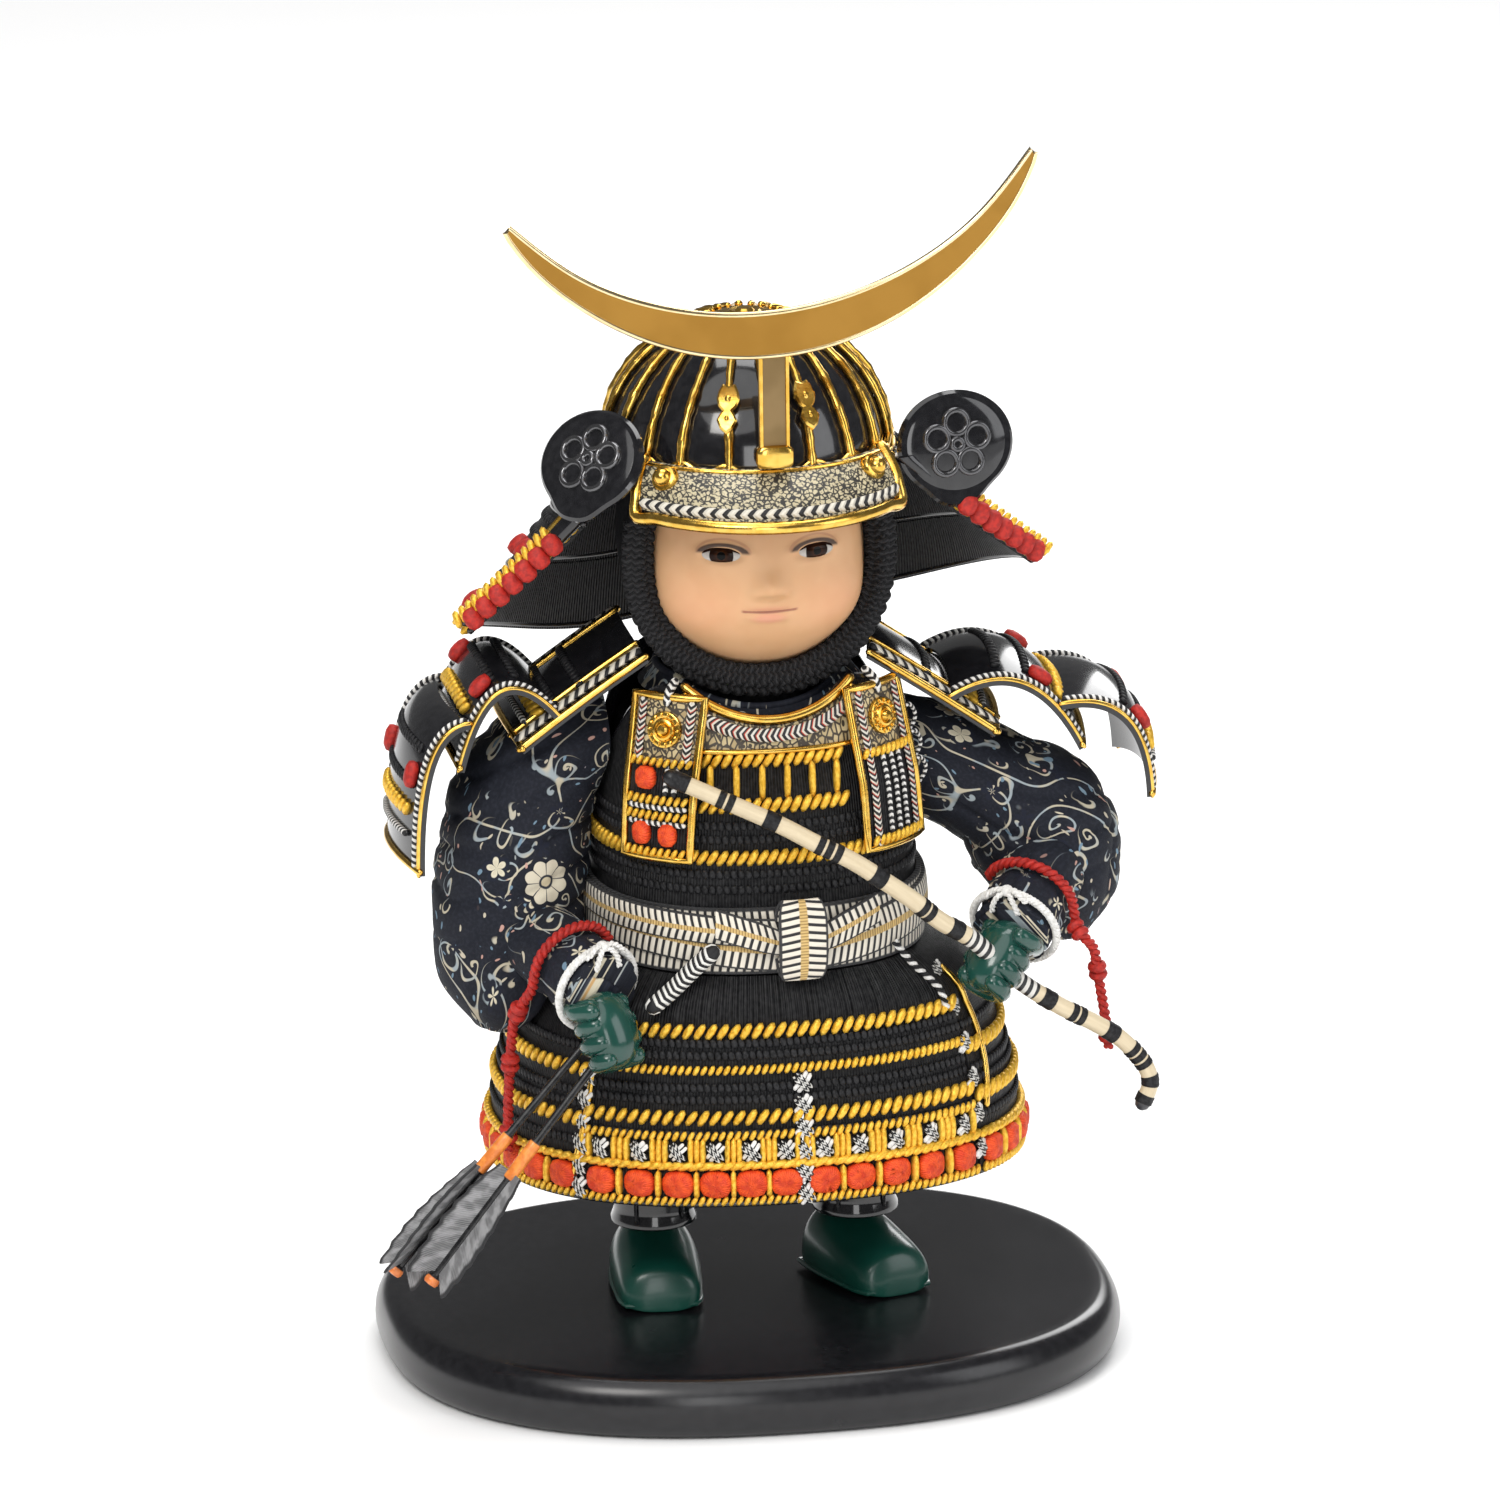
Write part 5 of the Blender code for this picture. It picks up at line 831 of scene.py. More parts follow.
def rowTree():
    # a shape repeated along open or closed edge chains, turned to each chain's outward direction
    tree = bpy.data.node_groups.new("rows", "GeometryNodeTree")
    tree.is_modifier = True
    sockets = (("Geometry", "Geometry"), ("Shape", "Object"), ("Pitch", "Float"), ("Tilt", "Float"),
               ("Jitter", "Float"), ("Seed", "Int"), ("Material", "Material"))
    for name, kind in sockets:
        tree.interface.new_socket(name, in_out="INPUT", socket_type="NodeSocket" + kind)
    tree.interface.new_socket("Geometry", in_out="OUTPUT", socket_type="NodeSocketGeometry")
    outputs = tree.nodes.new("NodeGroupInput").outputs
    given = {name: Wire(tree, outputs[name]) for name, kind in sockets}
    curve = wire(tree, "GeometryNodeMeshToCurve", {0: given["Geometry"]})
    even = wire(tree, "GeometryNodeResampleCurve", {"Curve": curve, "Length": given["Pitch"]}, mode="LENGTH")
    out = wire(tree, "GeometryNodeInputNamedAttribute", {"Name": "out"}, data_type="FLOAT_VECTOR")
    turn = wire(tree, "FunctionNodeAxesToRotation", {0: out, 1: wire(tree, "GeometryNodeInputTangent")},
                primary_axis="Z", secondary_axis="X")
    chance = wire(tree, "FunctionNodeRandomValue", {2: given["Jitter"] * -1.0, 3: given["Jitter"],
                                                    "Seed": given["Seed"]}, 1, data_type="FLOAT")
    spin = wire(tree, "FunctionNodeAxisAngleToRotation", {0: (0, 0, 1), 1: given["Tilt"] + chance})
    turned = wire(tree, "FunctionNodeRotateRotation", {0: turn, 1: spin}, rotation_space="LOCAL")
    shape = wire(tree, "GeometryNodeObjectInfo", {0: given["Shape"]}, "Geometry")
    laid = wire(tree, "GeometryNodeInstanceOnPoints", {"Points": even, "Instance": shape, "Rotation": turned,
                                                       "Scale": chance * 0.4 + 1.0})
    real = wire(tree, "GeometryNodeRealizeInstances", {0: laid})
    dressed = wire(tree, "GeometryNodeSetMaterial", {0: real, "Material": given["Material"]})
    add(tree, "NodeGroupOutput", {0: dressed})
    return tree


# rows of lacing: look, slot and shape of each kind
rowKinds = dict(gold=("giltThread", "gilt", "tooth"), smallGold=("giltThread", "gilt", "smallTooth"),
                bar=("giltThread", "gilt", "bar"), post=("giltThread", "gilt", "post"),
                black=("blackThread", "laced_plates", "blackTooth"), pad=("puff", "red_cord", "pad"),
                puff=("puff", "red_cord", "bundle"), red=("red", "red_cord", "bundle"),
                over=("speckled", "white_cord", "strandOver"), under=("white", "white_cord", "strandUnder"))


class Rows:
    def __init__(self):
        self.points, self.outs, self.edges = [], [], []

    def chain(self, points, outs):
        first = len(self.points)
        self.points += points
        self.outs += outs
        self.edges += [(first + i, first + i + 1) for i in range(len(points) - 1)]

    def single(self, here, out):
        self.chain([here, here + Vector((0.02, 0, 0))], [out, out])

    def along(self, spot, count):
        # spot(share, out)
        self.chain(trace(count, lambda k: spot(k, 0.0)), trace(count, lambda k: outward(spot, k)))

    def make(self, name, kind, pitch, tilt=0.0, jitter=0.06, seed=1):
        look, slot, shape = rowKinds[kind]
        base = bpy.data.meshes.new(name + "_paths")
        base.from_pydata([world(p) for p in self.points], self.edges, [])
        store = base.attributes.new("out", "FLOAT_VECTOR", "POINT")
        for item, out in zip(store.data, self.outs):
            item.vector = out
        carrier = placed(name + "_paths", base)
        modifier = carrier.modifiers.new("rows", "NODES")
        modifier.node_group = rowNodes
        values = dict(Shape=shapes[shape], Pitch=pitch * 0.001, Tilt=radians(tilt), Jitter=jitter, Seed=seed,
                      Material=paint[look])
        for socket in rowNodes.interface.items_tree:
            if socket.in_out == "INPUT" and socket.name in values:
                modifier[socket.identifier] = values[socket.name]
        mesh = bpy.data.meshes.new_from_object(carrier.evaluated_get(bpy.context.evaluated_depsgraph_get()))
        mesh.name = name
        bpy.data.objects.remove(carrier, do_unlink=True)
        mesh.polygons.foreach_set("use_smooth", [True] * len(mesh.polygons))
        return put(placed(name, mesh), slot)


def makeKnots(rows, name, seed):
    # white and black cords crossed over each other at each place
    rows.make(name + "_over", "over", 50, 40, 0.12, seed)
    rows.make(name + "_under", "under", 50, -40, 0.12, seed)


def padPull(spot):
    # a puffed bundle, pinched in at its ends
    return Vector((spot.x * (1 - 0.1 * abs(spot.y / 4.0) ** 2), spot.y, spot.z * (1 + 0.07 * cos(spot.x * 4.2))))


# half sizes, look, power, sides and rings of the pieces that the rows repeat
blobs = dict(tooth=((1.15, 2.85, 1.3), "giltThread", 2.4, 8, 5),
             smallTooth=((0.8, 1.75, 0.95), "giltThread", 2.4, 8, 6),
             post=((0.85, 4.3, 1.5), "giltThread", 3, 8, 6), bar=((1.0, 5.6, 1.2), "giltThread", 3.0, 8, 5),
             pad=((4.6, 3.9, 2.5), "puff", 3.4, 16, 8), bundle=((2.8, 3.4, 2.0), "puff", 3.0, 12, 6),
             blackTooth=((1.0, 1.5, 0.7), "blackThread", 2.4, 8, 6))
shapes = {}


def makeShapes():
    for name, (half, look, power, sides, rings) in blobs.items():
        pull = padPull if name == "pad" else None
        shapes[name] = Shape().blob(half, look, power=power, sides=sides, rings=rings, pull=pull)
    for name, lift in (("strandOver", 1.3), ("strandUnder", 0.8)):
        shapes[name] = Shape()
        for shift in (-0.85, 0.85):
            route = [(shift * 0.85, 2.7 * k, lift - 0.8 * k * k) for k in (-1, -0.45, 0, 0.45, 1)]
            shapes[name].tube(route, 0.56, "white", 6)
    for name, shape in shapes.items():
        shapes[name] = placed("shape_" + name, shape.mesh(name, True, 60))
        shapes[name].hide_render = True


rowNodes = rowTree()
makeShapes()

# cords on the sleeves
armTag = {-1: "right", 1: "left"}
cordSet = dict(
    radius=1.6, cuffRadius=11.5, cuffGap=0.45, ringAt=0.45, knots=(0.55, 0.74, 0.97),
    wrist={-1: ((25.0, -30.0, -59.0), (14.0, -53.0, -65.5)), 1: ((44.0, -22.0, -47.0), (30.9, -41.6, -58.3))},
    hang={-1: ((36.5, -38.5, -76.0), (37.5, -36.0, -84.0), (38.0, -33.0, -97.0), (38.2, -31.0, -109.0),
               (38.0, -30.0, -119.0)),
          1: ((51.0, -42.0, -62.0), (54.5, -41.0, -64.0), (57.0, -38.0, -76.0), (59.0, -37.0, -88.0),
              (60.0, -36.5, -97.0))})


def wristOf(side):
    start, end = (armSpot(side, p) for p in cordSet["wrist"][side])
    return start, end, (end - start).normalized()


def ringPoints(centre, axis, radius, start, end, count):
    up = (Vector((0, 0, 1)) - axis * axis.z).normalized()
    across = up.cross(axis)
    turns = trace(count - 1, lambda k: radians(start + (end - start) * k))
    return [centre + up * cos(turn) * radius + across * sin(turn) * radius for turn in turns]


def makeSleeveCord(side):
    start, end, axis = wristOf(side)
    radius = cordSet["cuffRadius"] + cordSet["radius"] + cordSet["cuffGap"]
    points = ringPoints(start.lerp(end, cordSet["ringAt"]), axis, radius, side * -60.0, side * 105.0, 10)
    points += [armSpot(side, p) for p in cordSet["hang"][side]]
    fine = smoothRoute(smoothRoute(points, 20), 60)
    shape = Shape().rope(fine, cordSet["radius"], ("red", "red"), 4.4, 8)
    made = shape.make("red_sleeve_cord_" + armTag[side], "red_cord", "sleeve_cord_" + armTag[side])
    knots = Shape()
    for share in cordSet["knots"]:
        # two turns of the same cord round it
        k = int(share * (len(fine) - 2))
        axis = (fine[k + 1] - fine[k]).normalized()
        for shift in (-1.3, 1.3):
            knots.tube(ringPoints(fine[k] + axis * shift, axis, 1.5, 0, 336, 15), 1.35, "red", 8, True)
    knots = knots.make("red_sleeve_knots_" + armTag[side], "red_cord")
    tuple(world(fine[0]))
    round(lengthOf(fine) * 0.001, 4)
    [tuple(world(p)) for p in fine]


for side in (-1, 1):
    makeSleeveCord(side)
print("cords")


# base, boots and shins
def makeBase():
    rings = []
    steps = [(-pi / 2, -3.0)] + [(turn, 0.0) for turn in trace(14, lambda k: pi * (k - 0.5))] + [(pi / 2, -3.0)]
    for turn, inset in steps:
        out = 6.0 * (cos(turn) - 1.0) + inset
        rings.append([oval(360 * k / 128, 108.6 + out, 95 + out, 0, 2.4, 9 * sin(turn) - 9) + Vector((-2.5, 0, 0))
                      for k in range(128)])
    shape = Shape()
    shape.lattice(rings, evenUv(128, len(rings), 5, 2), "satinLacquer", True, True)
    shape.make("base", "lacquered_wood", "display_base")


# profile: share of the length, width and height; cross: outline of each ring
bootSet = dict(length=40, height=20, halfWidth=13, splay={-1: 4.0, 1: 20.0}, spacing=60, top=20.3,
               profile=((0.0, 0.72, 0.8), (0.06, 0.92, 0.98), (0.35, 1.0, 1.0), (0.6, 0.98, 0.86), (0.85, 0.94, 0.74),
                        (0.96, 0.84, 0.64), (1.0, 0.66, 0.48)),
               tip=((0.995, 0.72, 0.5), (1.02, 0.54, 0.34), (1.03, 0.34, 0.2)),
               cross=((-0.98, 0.14), (-0.86, 0), (0.86, 0), (0.98, 0.14), (0.98, 0.52), (0.72, 0.86), (0.28, 1.03),
                      (-0.28, 1.03), (-0.72, 0.86), (-0.98, 0.52)))
shinSet = dict(radius=13, seams=34,
               profile=((0, 0), (0.94, 0), (0.97, 0.4), (0.965, 1.8), (0.91, 3.4), (0.90, 5), (0.94, 15), (0.98, 25),
                        (1.0, 29), (1.08, 31), (1.13, 32.4), (1.12, 33.6), (1.07, 34), (0, 34)))


def makeBoot(side):
    place = (Matrix.Translation((side * bootSet["spacing"] / 2, 0, 0))
             @ Matrix.Rotation(radians(side * bootSet["splay"][side]), 4, "Z"))
    rings, welt = [], []
    for share, wide, tall in bootSet["profile"][:-1] + bootSet["tip"]:
        half, top = bootSet["halfWidth"] * wide * 1.05, bootSet["height"] * tall
        rings.append([place @ Vector((half * x, bootSet["length"] * (0.36 - share), gap + top * z))
                      for x, z in bootSet["cross"]])
    shape = Shape()
    shape.lattice(rings, evenUv(10, len(rings), 6, 6), "boot", True, True)
    shape.make("boot_shell_" + armTag[side], "green_enamel", "boot_" + armTag[side], subsurf=3, angle=180)
    # welt where the sole meets the upper
    for sign in (1, -1):
        for share, wide, tall in bootSet["profile"][::sign]:
            y = bootSet["length"] * (0.36 - share) * 0.985
            welt.append(place @ Vector((sign * 12.6 * wide, y, gap + 1.7)))
    welt = Shape().tube(smoothRoute(welt + welt[:1], 60)[:-1], 0.75, "boot", 8, True)
    welt.make("boot_welt_" + armTag[side], "green_enamel")


def makeShin(side):
    low, r = bootSet["top"] + gap, shinSet["radius"]
    foot = Vector((side * bootSet["spacing"] / 2, 0, low))
    profile = [(share * r, z) for share, z in shinSet["profile"]]
    shape = Shape().lathe(profile, "lacquer", 56, Matrix.Translation(foot))
    for angle in (-shinSet["seams"], shinSet["seams"]):
        # raised seams down the front of the guard
        shape.tube([foot + oval(angle, r * (0.93 + 0.0048 * h), r * (0.93 + 0.0048 * h), z=h) for h in range(3, 31, 3)],
                   0.45, "lacquer", 8)
    shape.make("shin_" + armTag[side], "black_lacquer", "shin_guard_" + armTag[side])


makeBase()
for side in (-1, 1):
    makeBoot(side)
    makeShin(side)
for place in frame["nodes"]["body"].material_slots:
    place.material = paint["cloth"]
print("base and feet")


# cuirass, with the lacing rows that cross its chest and back
def makeCuirass():
    def spot(s, t, out):
        return torsoSpot(360 * s, waist + 0.5 + (cuirassTop(360 * s) - waist - 0.5) * t, out)
    Shape().sheet(spot, 120, 22, 3.0, "threads", seam=True).make("cuirass_shell", "laced_plates", "cuirass")
    edge = trace(96, lambda k: spot(k, 1, -1.5))[:-1]
    Shape().tube(edge, 1.6, "plate", 8, True).make("cuirass_rim", "black_lacquer")
    rows, bars, black, back = Rows(), Rows(), Rows(), Rows()
    for span, drop in ((54, 22), (54, 35), (200, 50)):
        rows.along(lambda s, out: torsoSpot(span * (s - 0.5), chestTop - drop, out + 0.9), 30)
    for angle in trace(5, lambda k: 50 * (k - 0.5)):
        z = chestTop - 28.5
        bars.single(torsoSpot(angle, z, 0.9), torsoSpot(angle, z, 1) - torsoSpot(angle, z, 0))
    for drop in (41, 45, 55, 59.5):
        black.along(lambda s, out: torsoSpot(200 * (s - 0.5), chestTop - drop, out + 0.1), 40)
    for drop in (34, 48):
        back.along(lambda s, out: torsoSpot(118 + 124 * s, chestTop - drop, out + 0.9), 30)
    rows.make("chest_gold_rows", "gold", 2.9, -33, seed=3)
    bars.make("chest_gold_bars", "bar", 50, 0, 0.03, 4)
    black.make("chest_black_rows", "black", 2.1, 12, seed=5)
    back.make("back_gold_rows", "gold", 3.0, -33, seed=6)


def makeChestPlate():
    low, span = chestTop - 22 + 2.4, 76

    def spot(s, t, out):
        angle = span * (s - 0.5)
        return torsoSpot(angle, low + (neckline(angle) - low) * t, gap + 1.4 + out)
    Shape().sheet(spot, 48, 14, 1.4, "leather").make("chest_leather", "leather_print", "chest_plate")

    def edge(s, out=0.0, drop=0.0):
        angle = span * (s - 0.5)
        return torsoSpot(angle, neckline(angle) - drop, gap + 0.7 + out) + Vector((0, 0, 1.6))
    Shape().tube(trace(48, edge), 1.5, "gilt", 14).make("neck_rim", "gilt", "neckline_rim")
    outs = trace(48, lambda s: torsoSpot(span * (s - 0.5), waist + 75, 2) - torsoSpot(span * (s - 0.5), waist + 75, 0))
    braid = Shape().tube(trace(48, lambda s: edge(s, 1.6, 3.9)), 2.0, "braid", 14, flat=0.5, outs=outs)
    braid.make("neck_braid", "striped_sash")
    shape = Shape()
    for s in (0.01, 0.99):
        shape.tube(trace(8, lambda t: spot(s, t, 0.4)), 0.8, "gilt", 10)
    shape.tube(trace(30, lambda s: spot(s, 0.02, 0.4)), 0.8, "gilt", 10)
    shape.make("chest_leather_rim", "gilt")


def facing(spot, s, t, lift):
    # the place on a surface, with z pointing out of it
    along = (spot(s + 0.1, t, 0) - spot(s - 0.1, t, 0)).normalized()
    out = along.cross((spot(s, t + 0.05, 0) - spot(s, t - 0.05, 0)).normalized()).normalized()
    if out.dot(spot(s, t, 1) - spot(s, t, 0)) < 0:
        out = -out
    return Matrix.Translation(spot(s, t, lift)) @ Matrix((along, out.cross(along), out)).transposed().to_4x4()


guardSet = dict(width=19, height=46, angle={-1: -42, 1: 46}, spread={-1: 0.0, 1: 4.0}, out=gap + 2.9 + 1.4, split=0.6,
                gold={-1: (0.6, 0.37, 0.27, 0.04), 1: (0.6, 0.05)},
                rosette=((0, 2.9), (1.2, 2.7), (1.7, 2.0), (1.9, 1.2), (2.5, 1.7), (3.1, 1.5), (3.5, 0.8), (4.4, 1.1),
                         (5.2, 0.8), (5.4, 0.2), (5.3, -0.6), (0, -0.6)))


def makeGuard(side):
    tag, height, split = armTag[side], guardSet["height"], guardSet["split"]

    def spot(s, t, out):
        z = chestTop - 4 - height * (1 - t)
        wide = math.degrees((guardSet["width"] + guardSet["spread"][side] * (1 - t)) / (sum(torsoHalf(z)) / 2))
        return torsoSpot(guardSet["angle"][side] + wide * (s - 0.5), z, guardSet["out"] + out)
    shape = Shape().sheet(lambda s, t, o: spot(s, split + (1 - split) * t, o), 20, 14, 1.4, "leather")
    shape.sheet(lambda s, t, o: spot(s, split * t, o), 20, 16, 1.4, "threads")
    shape.make("guard_plate_" + tag, "leather_print", "breast_guard_" + tag)
    # gilt rim all round, with a braid inside its sides
    rim = [(0.0, k / 12) for k in range(13)] + [(k / 8, 1.0) for k in range(1, 8)]
    rim += [(1.0, 1 - k / 12) for k in range(13)] + [(1 - k / 8, 0.0) for k in range(1, 8)]
    outs = [outward(spot, s, t) for s, t in rim]
    Shape().tube([spot(s, t, 0.1) for s, t in rim], 1.25, "gilt", 12, True, outs=outs).make("guard_rim_" + tag, "gilt")
    braid = Shape()
    for s in (0.155, 0.845):
        low = 0.02 if side > 0 else split + 0.02
        braid.tube(trace(10, lambda k: spot(s, low + (0.97 - low) * k, 0.5)), 1.35, "braid", 12, flat=0.55,
                   outs=trace(10, lambda k: outward(spot, s, k)))
    braid.make("guard_braid_" + tag, "striped_sash")
    place = facing(spot, 0.5, (height - 9.2) / height, 0.2)
    rose = Shape().lathe(guardSet["rosette"], "gilt", 40, place)
    for k, bead in enumerate(circle(4.4, 14, 1.1)):
        turned = Matrix.Translation(bead) @ Matrix.Rotation(2 * pi * k / 14, 4, "Z")
        rose.blob((0.75, 0.42, 0.5), "gilt", place @ turned, sides=8, rings=4)
    rose.make("guard_rosette_" + tag, "gilt")
    gold, red, cords = Rows(), Rows(), Shape()
    for level in guardSet["gold"][side]:
        gold.along(lambda s, o: spot(0.1 + 0.8 * s, level, 0.9 + o), 8)
    gold.make("guard_gold_" + tag, "smallGold", 2.1, -30, seed=7)
    if side < 0:
        red.along(lambda s, o: spot(0.30 + 0.04 * s, 0.50, 0.9 + o), 2)
        red.along(lambda s, o: spot(0.31 + 0.38 * s, 0.155, 0.9 + o), 2)
        for level in (0.32, 0.22):
            cords.tube(trace(10, lambda k: spot(0.1 + 0.8 * k, level, 0.7)), 0.8, "twist", 8)
        for s in (0.62, 0.74):
            cords.tube(trace(6, lambda k: spot(s, 0.41 + 0.16 * k, 0.7)), 0.8, "twist", 8)
        red.make("guard_red_" + tag, "puff", 6.0, 0, seed=8)
    else:
        for s in (0.36, 0.5, 0.64):
            cords.tube(trace(8, lambda k: spot(s, 0.08 + 0.48 * k, 0.6)), 0.7, "twist", 8)
        for t in (0.3, 0.47, 0.64):
            # thin loops outside the guard
            loop = ((1.02, 0, 0.4), (1.16, 0.05, 1.6), (1.2, 0.1, 1.8), (1.1, 0.16, 1.4), (1.0, 0.15, 0.6))
            cords.tube(smoothRoute([spot(s, t + rise, o) for s, rise, o in loop], 14), 0.6, "twist", 8)
    cords.make("guard_cords_" + tag, "white_cord")
    # strap that the guard hangs from
    strap = smoothRoute([spot(0.5, 0.97, 0.6), spot(0.5, 1.03, 0.2), spot(0.5, 1.08, -2.2)], 8)
    Shape().tube(strap, 1.3, "speckled", 10).make("guard_loop_" + tag, "white_cord")


makeCuirass()
makeChestPlate()
for side in (-1, 1):
    makeGuard(side)
print("cuirass")

# sash: heights of its bands over the waist, and the two ends that run into the knot
sashSet = dict(under=0.5, middle=12.4, wide=12.4, knotAngle=5.5, ends=((-21, 4, 5.5, -1.5), (7, 33, -1.5, 6.5)))


def makeSash():
    def swell(t, out):
        return 0.55 * sin(pi * t) ** 0.5 * (out > -0.1)

    def under(s, t, out):
        return torsoSpot(360 * s, waist + sashSet["under"] + 19 * t, gap + 1.3 + out + swell(t, out) * 0.4)

    def over(s, t, out):
        middle = waist + sashSet["middle"] - sashDip(360 * s)
        return torsoSpot(360 * s, middle + sashSet["wide"] * (t - 0.5), gap + 2.4 + out + swell(t, out))

    def top(s, t, out):
        # the band that falls from the doll's right to the knot
        angle = -100 + 104 * s
        middle = waist + 16.5 - 1.5 * s - sashDip(angle) * 0.5
        return torsoSpot(angle, middle + 8 * (t - 0.5), gap + 3.7 + out + swell(t, out))
    shape = Shape().sheet(under, 140, 6, 1.3, "sash", seam=True, unitV=True)
    shape.sheet(over, 140, 8, 1.3, "sash", seam=True, unitV=True).sheet(top, 60, 6, 1.2, "sash", unitV=True)
    shape.make("waist_sash", "striped_sash", "sash")
    angle = sashSet["knotAngle"]
    centre = torsoSpot(angle, waist + sashSet["middle"] - sashDip(angle) + 4, gap * 2 + 2.6 + 3.5)
    place = Matrix.Translation(centre) @ Matrix.Rotation(radians(angle), 4, "Z") @ Matrix.Rotation(radians(-2), 4, "X")

    def loop(s, t, out):
        # one wide turn of the band over the knot, seen from the front
        turn, side = radians(-150 + 300 * s), (t - 0.5) * 2
        wide = 7.2 - 1.6 * abs(sin(turn)) ** 6
        return place @ Vector((side * wide, -(3.2 + out) * cos(turn) - 0.7 * (1 - side ** 2), (12.0 + out) * sin(turn)))
    knot = Shape().sheet(loop, 48, 12, 1.1, "sash", unitV=True)
    for first, last, rise, drop in sashSet["ends"]:
        def band(s, t, out):
            angle = first + (last - first) * s
            pinch = 1 - 0.35 * exp(-((angle - 5.5) / 8) ** 2)
            lift = 0.9 * exp(-((angle - 5.5) / 12) ** 2)
            z = waist + 10.5 + rise + (drop - rise) * s + 8.6 * pinch * (t - 0.5)
            return torsoSpot(angle, z, gap + 4.9 + lift + out + 0.4 * sin(pi * t))
        knot.sheet(band, 30, 8, 1.1, "sash", unitV=True)
    knot.make("sash_loop", "striped_sash", "sash_knot")
    Shape().blob((6.0, 2.6, 10.5), "cloth", place, 2.6, 20, 12).make("sash_knot_core", "black_cloth")
    points = [torsoSpot(-22, waist + 8, 5.8)]
    points += [skirtSpot(a, waist + z, 5.6) for a, z in ((-27, 3), (-32, -2.5), (-36, -7))]
    Shape().tube(smoothRoute(points, 24), 2.6, "speckled", 16).make("sash_tail", "striped_sash", "sash_cord_end")
    thin = [torsoSpot(40, waist + 5, 4)]
    thin += [skirtSpot(a, waist - z, out) for a, z, out in ((44, 2, 3.5), (47, 9, 3), (48, 15, 2.6))]
    Shape().rope(smoothRoute(thin, 16), 1.1, ("white", "blackThread"), 3.2).make("sash_thin_tail", "white_cord")


makeSash()
print("sash")

# skirt: first and last angle, top and bottom below the waist, drops of the bold gold rows
hemDrop = waist - hem
skirtSet = dict(
    padPitch=10.4, padMiddle=hem + 5.9, knotZ=hem + 15.5, upperLift=0.9,
    panels=(("skirt_front_upper", -52, 52, 0.2, 26.5, (14.6,)),
            ("skirt_front_lower_right", -52, 3.5, 26.8, hemDrop, (39.5,)),
            ("skirt_front_lower_left", 4.5, 52, 26.8, hemDrop, (39.5,)),
            ("skirt_right", -110, -53, 0.2, hemDrop, (28, 42)),
            ("skirt_left", 53, 110, 0.2, hemDrop, (28, 42)), ("skirt_back", 111, 249, 0.2, hemDrop, (28, 42))))


